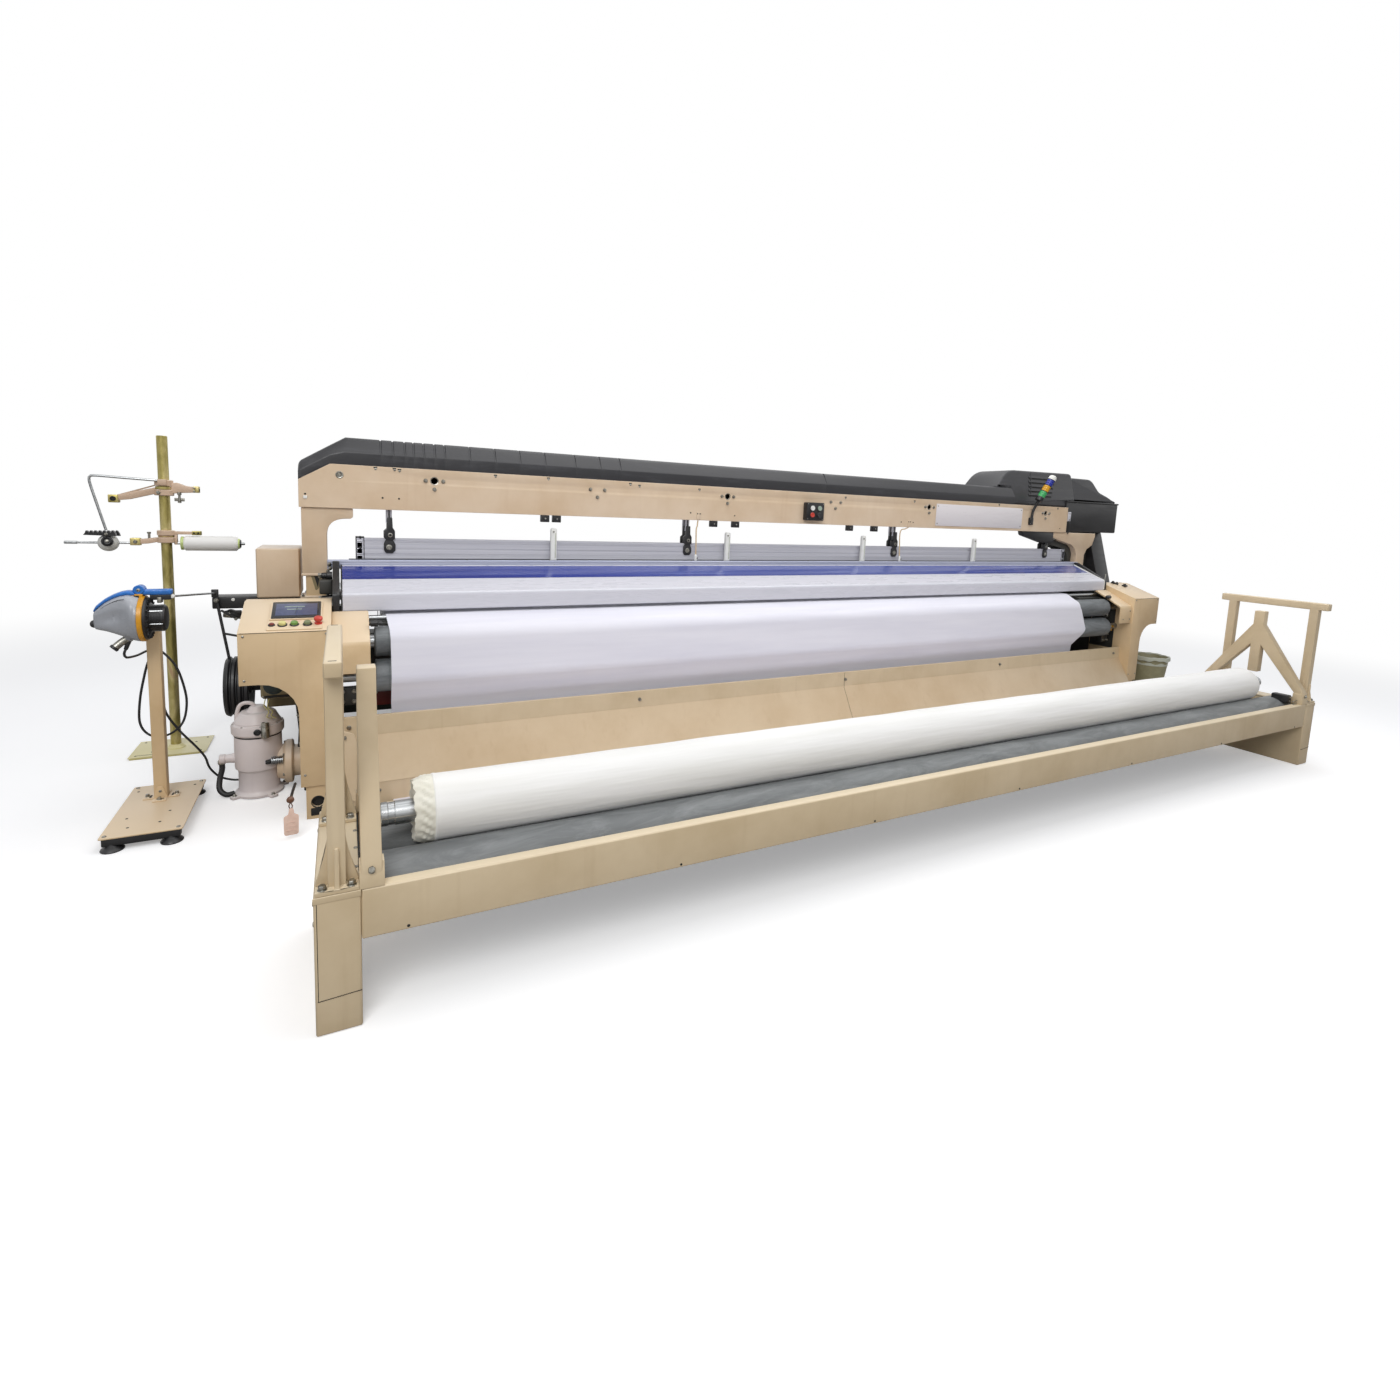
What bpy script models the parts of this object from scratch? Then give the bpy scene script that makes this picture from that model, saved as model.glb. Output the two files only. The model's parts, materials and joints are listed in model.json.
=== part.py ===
"""Wide water jet loom with a surface winding unit, a weft feeder and a yarn stand.

Metres, +Z up, +Y away from the weaver, +X along the machine's width.
Every size below is measured from the loom's own middle plane (X = 0) and from the floor.
The datum empty then carries the whole model, so that the origin lies under its middle.
"""
import bpy
import bmesh
from math import acos, atan2, ceil, cos, degrees, pi, radians, sin, sqrt
from mathutils import Matrix, Vector

# Gaps
SEAT = 0.0003                # between pieces that touch
RUNNING = 0.0005             # between a turning piece and what carries it
CLEAR = 0.006                # between moving pieces and their neighbours

# Loom width
REED_WIDTH = 5.60            # the loom's nominal weaving width
SIDE_SPACE = 0.25            # from the reed's end to the cabinet's inner face
CABINET_INNER = REED_WIDTH / 2 + SIDE_SPACE

# Side frames
FRAME_INSET = 0.020          # from the cabinet's inner face to the side frame's
FRAME_INNER = CABINET_INNER + FRAME_INSET
FRAME_THICK = 0.120
FRAME_OUTER = FRAME_INNER + FRAME_THICK
FRAME_FRONT = -0.560
FRAME_REAR = 1.120
FRAME_TOP = 0.9445
FRAME_WAIST = 0.740          # top edge between the healds and the back rest
FRAME_HORN = 0.920           # top edge at the back rest
FRAME_ARCH = 0.060           # height of the opening over the floor
FRAME_FOOT = 0.300
WINDOW_LOW = 0.240
WINDOW_HIGH = 0.640
WINDOW_FRONT = 0.000
WINDOW_WIDTH = 0.250
WINDOW_RIB = 0.100

# Front cabinets
CABINET_WIDTH = 0.355
CABINET_OUTER = CABINET_INNER + CABINET_WIDTH
CABINET_FRONT = -0.920
CABINET_BACK = FRAME_FRONT - SEAT
CABINET_LIP = 0.877          # top edge at the front
CABINET_TOP = 0.976          # top edge where the slope ends
CABINET_SLOPE_END = -0.637
OVERHANG = 0.647             # underside of the part beside the leg
LEG_WIDTH = 0.133
LEG_OUTER = CABINET_INNER + LEG_WIDTH
LEG_BOTTOM = 0.159
ARCH_RADIUS = 0.150
FOOT_WIDTH = 0.085
FOOT_THICK = 0.016
FOOT_HOLE = 0.026

# Posts and top beam
POST_INNER = FRAME_INNER + 0.001
POST_OUTER = FRAME_OUTER - 0.006
POST_FOOT = 0.012            # how far the post's foot stands out each side
POST_FRONT = -0.3447
POST_BACK = -0.200
BEAM_FRONT = -0.357
BEAM_WALL = 0.012
BEAM_DEPTH = 0.300
BEAM_LOW = 1.413
BEAM_HIGH = 1.638
BEAM_OVERSHOOT = 0.009       # past the left post
BEAM_SHORT = 0.206           # from the right post's inner face
BEAM_LEFT = -POST_OUTER - BEAM_OVERSHOOT
BEAM_RIGHT = POST_INNER - BEAM_SHORT
BEAM_SLOPE = 0.144           # width of the chamfered upper left corner
BEAM_SLOPE_DROP = 0.086
BOLT_HOLE = 0.008
PORT_HOLE = 0.018
HOLE_SHARES = (0.1066, 0.4114, 0.7161, 0.9492)   # of the beam's length, from its left end
BOLT_SHARES = (0.2606, 0.5616)
BOLT_CIRCLE = 0.045
BOLT_HEIGHT = 1.577
BRACKET_DROP = 0.053
BRACKET_REACH = 0.124
RIGHT_BRACKET_IN = 0.370
RIGHT_BRACKET_OUT = 0.136

# Beam cover and dobby
COVER_RISE = 0.142           # above the beam
COVER_TOP = BEAM_HIGH + COVER_RISE
COVER_CREASE = 0.062         # height of the upright part of its front
COVER_LEAN = 0.045
COVER_SHORT = 0.725          # from the beam's right end
COVER_END = BEAM_RIGHT - COVER_SHORT
RIB_SHARES = (0.0715, 0.0826, 0.0936, 0.1018, 0.1114, 0.1219, 0.1316, 0.1564, 0.1821, 0.2085,
              0.2359, 0.2701, 0.2995, 0.3239, 0.6208)   # of the cover's length, from its left end
RIB_WIDTH = 0.007
RIB_DEPTH = 0.004
DOBBY_LEFT = COVER_END + SEAT
DOBBY_RIGHT = POST_OUTER + 0.456
DOBBY_DROP = 0.009           # its floor above the beam's underside
DOBBY_LOW = BEAM_LOW + DOBBY_DROP
DOBBY_FRONT = BEAM_FRONT + 0.025
DOBBY_BACK = 0.080
DOBBY_LIP = 0.062            # of the lower box, above the beam
DOME_RISE = 0.170            # above the cover
DOME_PEAK = COVER_TOP + DOME_RISE
DOME_LEAN = 0.060
DOME_SLOPE = 0.150           # width of the dome's sloping left end
DOME_OVERLAP = 0.170         # how far the dome sits on the cover
SHOULDER_STEP = 0.035
SHOULDER_WIDTH = 0.260
LOUVRES = 5
LOUVRE_PITCH = 0.038
LOUVRE_HEIGHT = 0.010
LOUVRE_DEPTH = 0.007
GUARD_THICK = 0.190
GUARD_INNER = DOBBY_RIGHT - GUARD_THICK

# Control pieces
STATION_LEFT = -0.076
STATION_RIGHT = 0.075
STATION_LOW = 1.439
STATION_HIGH = 1.566
STATION_THICK = 0.045
LAMP_X = COVER_END + 0.227
LAMP_LENGTH = 0.250
LAMP_RADIUS = 0.032
PANEL_LEFT = -CABINET_OUTER + 0.105
PANEL_RIGHT = -CABINET_INNER - 0.035
PANEL_THICK = 0.014

# Skirt, take-up and breast
SKIRT_FRONT = -0.835
SKIRT_TOP = 0.440
SKIRT_STRIP = 0.345
SKIRT_TOE = -0.950
SKIRT_BOTTOM = 0.150
SKIRT_WALL = 0.006
ROLLER_END_GAP = 0.180       # from the roller's end to the cabinet
ROLLER_HALF = CABINET_INNER - ROLLER_END_GAP
TAKEUP_UPPER_Y = -0.757
TAKEUP_UPPER_Z = 0.785
TAKEUP_UPPER_R = 0.073
TAKEUP_LOWER_Y = -0.773
TAKEUP_LOWER_Z = 0.620
TAKEUP_LOWER_R = 0.079
JOURNAL_R = 0.025
BREAST_Y = -0.660
BREAST_Z = 0.884
BREAST_R = 0.014
SHIELD_WIDTH = 0.157
SHIELD_INNER = CABINET_INNER - SHIELD_WIDTH
SHIELD_THICK = 0.014

# Splash cover and its rail
RAIL_FRONT = -0.365
RAIL_BACK = -0.323
RAIL_LOW = 1.100
RAIL_HIGH = 1.146
HINGE_R = 0.008
HINGE_Y = RAIL_FRONT - HINGE_R - RUNNING
HINGE_Z = 1.112
COVER_SIDE_GAP = 0.040
COVER_HALF = CABINET_INNER - COVER_SIDE_GAP
COVER_NOSE_Y = -0.658
COVER_NOSE_Z = 0.996
COVER_LIP = 0.921
COVER_WALL = 0.008
GUIDE_PLATES = tuple(CABINET_INNER * share for share in (-0.615, -0.222, 0.167, 0.560))
GUIDE_WIDTH = 0.036
GUIDE_TOP = 1.338

# Heald frames
HEALD_SPACE = 0.137          # between the heald frame's end and the side frame
HEALD_HALF = FRAME_INNER - HEALD_SPACE
HEALD_FRONT = -0.315
HEALD_THICK = 0.022
HEALD_PITCH = 0.040
HEALD_TOP = 1.259
HEALD_RAIL = 0.113
HEALD_FOOT = 0.560
STILE_WIDTH = 0.030
HOOKS = tuple(HEALD_HALF * share for share in (-0.9454, -0.3307, 0.2874, 0.9042))
HOOK_WIDTH = 0.050
HOOK_ROD = 0.020
HOOK_TOP = 1.500
GROOVE = 0.0008              # running room in the heald guides

# Cloth and warp
CLOTH_LEFT = -CABINET_INNER + 0.245
CLOTH_RIGHT = CABINET_INNER - 0.550
CLOTH_THICK = 0.0012
CLOTH_NARROW = -1.100        # past here the cloth has the roll's width
WARP_SPACE = 0.330           # between the warp's edge and the side frame
WARP_HALF = FRAME_INNER - WARP_SPACE
WARP_THICK = 0.003
REST_Y = 0.840
REST_Z = 0.833
REST_R = 0.060
WARP_BEAM_Y = 1.000
WARP_BEAM_Z = 0.400
WARP_R = 0.250
FLANGE_R = 0.330
FLANGE_THICK = 0.018
BEAM_SHAFT_R = 0.060

# Winding unit
WINDER_LEFT = -CABINET_INNER - 0.033
WINDER_RIGHT = CABINET_INNER - 0.471
WINDER_WALL = 0.116
WINDER_FRONT = -2.356
WINDER_BACK = -1.780
WINDER_TOP = 0.404
WINDER_BEAM_LOW = 0.257
WINDER_BEAM_THICK = 0.045
ROLL_Y = -2.095
ROLL_Z = 0.495
ROLL_R = 0.1063
ROLL_LEFT = WINDER_LEFT + 0.268
ROLL_RIGHT = WINDER_RIGHT - 0.337
SHAFT_R = 0.0368
DRUM_R = 0.095
DRUM_SPREAD = 0.115
GUIDE_THICK = 0.054
GUIDE_PEAK = 0.964
GUIDE_BAR = 0.056            # width of the middle bar
GUIDE_LEG = 0.041
GUIDE_CROTCH = 0.224         # from the peak down to where the legs meet the bar
GUIDE_FORK = GUIDE_PEAK - GUIDE_CROTCH
RAIL_SIZE = 0.045
RAIL_TOP = 1.050
RAIL_NEAR = -2.382
RAIL_FAR = -1.800
POST_NEAR = -2.312
POST_FAR = -1.871

# Drive side at the left
WHEEL_X = -CABINET_OUTER - 0.083
WHEEL_Y = -0.200
WHEEL_Z = 0.475
WHEEL_R = 0.155
WHEEL_HALF = 0.055
WHEEL_GROOVES = 3
MOTOR_X = -CABINET_OUTER + 0.020
MOTOR_Y = -0.480
BOX_WIDTH = 0.206            # of the box behind the left post
BOX_HEIGHT = 0.255

# Weft feeder on its stand
FEEDER_X = -CABINET_OUTER - 0.359
FEEDER_Y = -0.541
FEEDER_LINE = -0.680         # Y of the feeder's axis
FEEDER_HEIGHT = 0.918
STAND_BASE = 0.060
STAND_TOP = FEEDER_HEIGHT + 0.032
STAND_POST = 0.050
FEEDER_HALF = 0.052
FEEDER_LEFT = FEEDER_X - 0.167
FEEDER_BODY_END = FEEDER_X - 0.011
FEEDER_NOSE = FEEDER_X + 0.080
FEEDER_RING = 0.100
FEEDER_DRUM = 0.058

# Yarn stand
POLE_X = -CABINET_OUTER - 0.463
POLE_Y = 0.341
POLE_R = 0.025
POLE_TOP = 1.763
PACKAGE_Z = 1.180
PACKAGE_LEFT = POLE_X + 0.067
PACKAGE_RIGHT = POLE_X + 0.348
PACKAGE_R = 0.042
SPINDLE_R = 0.008

# Waste bucket
BUCKET_X = CABINET_OUTER + 0.195
BUCKET_Y = -0.790
BUCKET_TOP = 0.325

TURNED_FACETS = 48


# Scene set-up

def clear_scene():
    """Remove the objects that the opened file holds."""
    for obj in list(bpy.data.objects):
        bpy.data.objects.remove(obj, do_unlink=True)


clear_scene()
parts = bpy.data.collections.new("water_jet_loom")
bpy.context.scene.collection.children.link(parts)
datum = bpy.data.objects.new("loom_datum", None)
bpy.context.scene.collection.objects.link(datum)


def linear(code):
    """Turn a screen colour such as d9c6a0 into Blender's linear values."""
    values = [int(code[i:i + 2], 16) / 255 for i in (0, 2, 4)]
    return [v / 12.92 if v <= 0.04045 else ((v + 0.055) / 1.055) ** 2.4 for v in values]


def finish(name, code, roughness, metallic=0.0):
    """Make a Principled material from a screen colour."""
    material = bpy.data.materials.new(name)
    material.use_nodes = True
    shader = material.node_tree.nodes["Principled BSDF"]
    shader.inputs["Base Color"].default_value = (*linear(code), 1.0)
    shader.inputs["Roughness"].default_value = roughness
    shader.inputs["Metallic"].default_value = metallic
    material.diffuse_color = (*linear(code), 1.0)
    return material


BEIGE = finish("beige_paint", "d8c29c", 0.45)
CAST = finish("dark_cast_iron", "3a423c", 0.6, 0.3)
BLACK = finish("black_plastic", "202024", 0.5)
RUBBER = finish("grey_roller_rubber", "5d6062", 0.6)
STEEL = finish("ground_steel", "b4b6b8", 0.3, 1.0)
ALUMINIUM = finish("aluminium_profile", "c9c9cd", 0.4, 0.8)
CLOTH = finish("white_cloth", "ecebf2", 0.8)
YARN = finish("white_yarn", "f2f1ee", 0.8)
BLUE_SHEET = finish("blue_clear_sheet", "8fa3e0", 0.2)
MOTOR_PAINT = finish("lilac_grey_paint", "cfc4c6", 0.5)
ZINC = finish("yellow_zinc", "a3925a", 0.4, 0.8)
OLIVE = finish("olive_plastic", "7c7a5c", 0.6)
FEEDER_GREY = finish("feeder_grey", "b9bcc4", 0.45)
LAMP = finish("lamp_yellow", "d9a51e", 0.3)


# Shape helpers

AXES = {
    "X": Matrix(((0, 0, 1, 0), (1, 0, 0, 0), (0, 1, 0, 0), (0, 0, 0, 1))),
    "Y": Matrix(((1, 0, 0, 0), (0, 0, -1, 0), (0, 1, 0, 0), (0, 0, 0, 1))),
    "Z": Matrix.Identity(4),
}


def link_mesh(mesh):
    """Put a mesh into the scene as a loose working solid."""
    solid = bpy.data.objects.new("solid", mesh)
    bpy.context.scene.collection.objects.link(solid)
    return solid


def mesh_from(bm):
    """Close a bmesh into a mesh whose faces point out."""
    bmesh.ops.recalc_face_normals(bm, faces=bm.faces)
    mesh = bpy.data.meshes.new("solid")
    bm.to_mesh(mesh)
    bm.free()
    return mesh


def baked(obj, matrix=Matrix.Identity(4)):
    """Replace an object by a welded mesh of what its curve or modifiers make."""
    bpy.context.view_layer.update()
    graph = bpy.context.evaluated_depsgraph_get()
    mesh = bpy.data.meshes.new_from_object(obj.evaluated_get(graph))
    mesh.transform(matrix @ obj.matrix_world)
    bpy.data.objects.remove(obj, do_unlink=True)
    bm = bmesh.new()
    bm.from_mesh(mesh)
    bmesh.ops.remove_doubles(bm, verts=bm.verts, dist=0.00001)
    bmesh.ops.dissolve_degenerate(bm, edges=bm.edges, dist=0.00001)
    return link_mesh(mesh_from(bm))


def block(low, high, bevel=0.0, segments=1):
    """Box between two corners, with rounded edges where bevel is given."""
    bm = bmesh.new()
    bmesh.ops.create_cube(bm, size=1.0)
    size = [b - a for a, b in zip(low, high)]
    middle = [(a + b) / 2 for a, b in zip(low, high)]
    bmesh.ops.scale(bm, vec=size, verts=bm.verts)
    bmesh.ops.translate(bm, vec=middle, verts=bm.verts)
    if bevel:
        bmesh.ops.bevel(bm, geom=bm.edges, offset=bevel, segments=segments, affect="EDGES")
    return link_mesh(mesh_from(bm))


def plate(outline, start, end, across, holes=()):
    """Extrude a flat outline from one station to another.

    Across X the outline is (y, z), across Y it is (x, z), across Z it is (x, y).
    """
    curve = bpy.data.curves.new("outline", "CURVE")
    curve.dimensions = "2D"
    curve.fill_mode = "BOTH"
    curve.extrude = abs(end - start) / 2
    for loop in (outline, *holes):
        spline = curve.splines.new("POLY")
        spline.points.add(len(loop) - 1)
        for point, (u, v) in zip(spline.points, loop):
            point.co = (u, v, 0.0, 1.0)
        spline.use_cyclic_u = True
    obj = bpy.data.objects.new("outline", curve)
    bpy.context.scene.collection.objects.link(obj)
    shift = Vector([(start + end) / 2 if axis == across else 0.0 for axis in "XYZ"])
    return baked(obj, Matrix.Translation(shift) @ AXES[across])


def turned(profile, axis, centre, facets=TURNED_FACETS):
    """Spin a profile of (radius, station) points about an axis through centre."""
    mesh = bpy.data.meshes.new("profile")
    edges = [(i, i + 1) for i in range(len(profile) - 1)]
    mesh.from_pydata([(r, 0.0, s) for r, s in profile], edges, [])
    obj = link_mesh(mesh)
    screw = obj.modifiers.new("turn", "SCREW")
    screw.steps = facets
    screw.render_steps = facets
    screw.use_merge_vertices = True
    screw.merge_threshold = 0.00001
    turn = AXES[axis] if axis != "Y" else AXES["Y"] @ Matrix.Diagonal((1, 1, -1, 1))
    return baked(obj, Matrix.Translation(Vector(centre)) @ turn)


def bar(axis, start, end, centre, radius, facets=TURNED_FACETS):
    """Round bar from one station to another; centre gives the two other places."""
    profile = ((0.0, start), (radius, start), (radius, end), (0.0, end))
    place = {"X": (0, *centre), "Y": (centre[0], 0, centre[1]), "Z": (*centre, 0)}[axis]
    return turned(profile, axis, place, facets)


def tube(points, radius, rounding=2):
    """Round rod through points, closed at both ends."""
    curve = bpy.data.curves.new("rod", "CURVE")
    curve.dimensions = "3D"
    curve.bevel_depth = radius
    curve.bevel_resolution = rounding
    curve.use_fill_caps = True
    spline = curve.splines.new("POLY")
    spline.points.add(len(points) - 1)
    for point, place in zip(spline.points, points):
        point.co = (*place, 1.0)
    obj = bpy.data.objects.new("rod", curve)
    bpy.context.scene.collection.objects.link(obj)
    return baked(obj)


def boolean(base, others, operation):
    """Join other solids to the base or cut them out of it."""
    for other in others:
        step = base.modifiers.new("step", "BOOLEAN")
        step.operation = operation
        step.solver = "EXACT"
        step.object = other
    result = baked(base)
    for other in others:
        bpy.data.objects.remove(other, do_unlink=True)
    return result


def fused(base, *others):
    """One body from several that run into each other."""
    return boolean(base, others, "UNION")


def carved(base, *cutters):
    """The base with the cutters taken out."""
    return boolean(base, cutters, "DIFFERENCE")


def piece(name, solid, material, pivot=(0.0, 0.0, 0.0), smooth=True):
    """Turn a working solid into a named part whose origin is its pivot."""
    solid.name = name
    solid.data.name = name
    solid.data.transform(Matrix.Translation(-Vector(pivot)))
    solid.location = pivot
    solid.data.materials.clear()
    solid.data.materials.append(material)
    if smooth:
        solid.data.shade_smooth()
        solid.data.set_sharp_from_angle(angle=radians(30))
    bpy.context.scene.collection.objects.unlink(solid)
    parts.objects.link(solid)
    solid.parent = datum
    return solid


def arc(centre, radius, start, end, steps):
    """Points on an arc, in degrees, from start to end."""
    angles = [radians(start + (end - start) * i / steps) for i in range(steps + 1)]
    return [(centre[0] + radius * cos(a), centre[1] + radius * sin(a)) for a in angles]


def circle(centre, radius, steps=12):
    """A closed round outline."""
    return arc(centre, radius, 0, 360, steps)[:-1]


def mirrored(outline, side):
    """The outline on the loom's left (-1) or right (+1)."""
    return [(side * u, v) for u, v in outline]


def rounded_box(low, high, radius, steps=3):
    """Rectangle outline with round corners."""
    (u0, v0), (u1, v1) = low, high
    corners = (((u1 - radius, v1 - radius), 0), ((u0 + radius, v1 - radius), 90),
               ((u0 + radius, v0 + radius), 180), ((u1 - radius, v0 + radius), 270))
    return [p for centre, turn in corners for p in arc(centre, radius, turn, turn + 90, steps)]


def smooth_route(points, spacing):
    """Points about one spacing apart on a smooth curve through the given ones."""
    route = [Vector(p) for p in points]
    route = [2 * route[0] - route[1], *route, 2 * route[-1] - route[-2]]
    samples = []
    for a, b, c, d in zip(route, route[1:], route[2:], route[3:]):
        count = max(1, ceil((c - b).length / spacing))
        for i in range(count):
            t = i / count
            samples.append(0.5 * (2 * b + (c - a) * t + (2 * a - 5 * b + 4 * c - d) * t * t
                                  + (3 * b - a - 3 * c + d) * t * t * t))
    samples.append(route[-2])
    return samples


def offset_strip(path, thickness):
    """Outline of a sheet of one thickness laid along an open path, to its left."""
    normals = []
    for i in range(len(path)):
        before = Vector(path[max(i - 1, 0)])
        after = Vector(path[min(i + 1, len(path) - 1)])
        along = (after - before).normalized()
        normals.append(Vector((-along.y, along.x)))
    other = [tuple(Vector(p) + n * thickness) for p, n in zip(path, normals)]
    return [*path, *reversed(other)]


# Side frames and cross beams

def side_frame(name, side):
    """Casting with two windows, a low waist behind the healds and feet at both ends."""
    arch, foot, bend = FRAME_ARCH, FRAME_FOOT, FRAME_TOP - FRAME_WAIST
    fillet = bend / 2
    outline = [
        (FRAME_FRONT, 0.0), *arc((FRAME_FRONT + foot + arch, 0.0), arch, 180, 90, 3),
        *arc((FRAME_REAR - foot - arch, 0.0), arch, 90, 0, 3),
        (FRAME_REAR, 0.0), (FRAME_REAR, 0.12), (FRAME_REAR - 0.05, 0.40), (FRAME_REAR - 0.10, FRAME_HORN),
        (FRAME_REAR - 0.42, FRAME_HORN), (FRAME_REAR - 0.48, FRAME_WAIST),
        *arc((0.02 + fillet, FRAME_WAIST + fillet), fillet, 270, 180, 3),
        (0.02, FRAME_TOP), (FRAME_FRONT, FRAME_TOP),
    ]
    windows = []
    for i in range(2):
        near = WINDOW_FRONT + i * (WINDOW_WIDTH + WINDOW_RIB)
        windows.append(rounded_box((near, WINDOW_LOW), (near + WINDOW_WIDTH, WINDOW_HIGH), 0.06))
    start = side * FRAME_INNER
    solid = plate(outline, start, start + side * FRAME_THICK, "X", windows)
    piece(name, solid, CAST)


def cross_beams():
    end = FRAME_INNER - SEAT
    front = plate(rounded_box((-0.52, 0.60), (-0.36, 0.78), 0.02), -end, end, "X")
    piece("front_cross_beam", front, CAST)
    rear = plate(rounded_box((0.40, 0.10), (0.54, 0.22), 0.02), -end, end, "X")
    piece("rear_cross_beam", rear, CAST)


# Front cabinets

def cabinet(name, side):
    turn = OVERHANG - ARCH_RADIUS
    outline = [
        (CABINET_INNER, LEG_BOTTOM), (LEG_OUTER, LEG_BOTTOM), (LEG_OUTER, turn),
        *arc((LEG_OUTER + ARCH_RADIUS, turn), ARCH_RADIUS, 180, 90, 6)[1:],
        (CABINET_OUTER, OVERHANG), (CABINET_OUTER, CABINET_TOP), (CABINET_INNER, CABINET_TOP),
    ]
    body = plate(mirrored(outline, side), CABINET_FRONT, CABINET_BACK, "Y")
    over = 0.02
    slope = (CABINET_TOP - CABINET_LIP) / (CABINET_SLOPE_END - CABINET_FRONT)
    wedge = [
        (CABINET_FRONT - over, CABINET_LIP - slope * over), (CABINET_SLOPE_END, CABINET_TOP),
        (CABINET_SLOPE_END, CABINET_TOP + over), (CABINET_FRONT - over, CABINET_TOP + over),
    ]
    ends = sorted((side * (CABINET_INNER - over), side * (CABINET_OUTER + over)))
    body = carved(body, plate(wedge, ends[0], ends[1], "X"))
    middle = (CABINET_INNER + LEG_OUTER) / 2
    tab = rounded_box((middle - FOOT_WIDTH / 2, 0.0), (middle + FOOT_WIDTH / 2, LEG_BOTTOM + 0.04), 0.008)
    hole = circle((middle, LEG_BOTTOM / 2), FOOT_HOLE)
    foot = plate(mirrored(tab, side), CABINET_FRONT + 0.01, CABINET_FRONT + 0.01 + FOOT_THICK, "Y",
                 (mirrored(hole, side),))
    inner, outer = sorted((side * (middle - FOOT_WIDTH / 2), side * (middle + FOOT_WIDTH / 2)))
    toe = block((inner, CABINET_FRONT + 0.015, 0.0), (outer, CABINET_FRONT + 0.12, 0.014))
    piece(name, fused(body, foot, toe), BEIGE)


def control_panel():
    slope = atan2(CABINET_TOP - CABINET_LIP, CABINET_SLOPE_END - CABINET_FRONT)
    length = (CABINET_SLOPE_END - CABINET_FRONT) / cos(slope) - 0.03
    bezel = block((PANEL_LEFT, 0.075, SEAT), (PANEL_RIGHT, length, PANEL_THICK), 0.003)
    strip = block((PANEL_LEFT, 0.012, SEAT), (PANEL_RIGHT, 0.085, PANEL_THICK / 2))
    solid = fused(bezel, strip)
    turn = Matrix.Rotation(slope, 4, "X")
    solid.data.transform(Matrix.Translation((0, CABINET_FRONT, CABINET_LIP)) @ turn)
    piece("control_panel", solid, BLACK)


# Posts, beam, cover and dobby

def left_post():
    inner, outer = -POST_INNER, -POST_OUTER
    reach = inner + BRACKET_REACH
    top = BEAM_LOW - SEAT
    fillet = BRACKET_REACH - 0.03
    foot = FRAME_TOP + SEAT
    outline = [
        (inner + POST_FOOT, foot), (inner + POST_FOOT, foot + 0.03), (inner, foot + 0.045),
        (inner, top - BRACKET_DROP - fillet),
        *arc((inner + fillet, top - BRACKET_DROP - fillet), fillet, 180, 90, 6)[1:],
        (reach, top - BRACKET_DROP), (reach, top), (BEAM_LEFT, top), (BEAM_LEFT, top - 0.12),
        (outer, top - 0.16), (outer, foot + 0.045), (outer - POST_FOOT, foot + 0.03),
        (outer - POST_FOOT, foot),
    ]
    piece("left_post", plate(outline, POST_FRONT, POST_BACK, "Y"), BEIGE)


def right_post():
    inner, outer = POST_INNER, POST_OUTER
    top = BEAM_LOW - SEAT
    foot = FRAME_TOP + SEAT
    left = inner - RIGHT_BRACKET_IN
    right = outer + RIGHT_BRACKET_OUT
    radius = 0.14
    outline = [
        (inner - POST_FOOT, foot), (outer + POST_FOOT, foot), (outer + POST_FOOT, foot + 0.03),
        (outer, foot + 0.045), (outer, top - 0.20), (outer + 0.03, top - 0.15), (right - 0.03, top - 0.11),
        (right - 0.01, top - 0.04), (right, top - 0.035), (right, top), (left, top),
        (left + 0.01, top - 0.05),
        *arc((inner - radius, top - 0.10 - radius), radius, 90, 0, 6),
        (inner, foot + 0.045), (inner - POST_FOOT, foot + 0.03),
    ]
    piece("right_post", plate(outline, POST_FRONT, POST_BACK, "Y"), BEIGE)


def beam_outline():
    return [
        (BEAM_LEFT, BEAM_LOW), (BEAM_RIGHT, BEAM_LOW), (BEAM_RIGHT, BEAM_HIGH),
        (BEAM_LEFT + BEAM_SLOPE, BEAM_HIGH), (BEAM_LEFT, BEAM_HIGH - BEAM_SLOPE_DROP),
    ]


def stations(shares, start, end):
    """Places along a length at shares of it."""
    return [start + share * (end - start) for share in shares]


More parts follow.
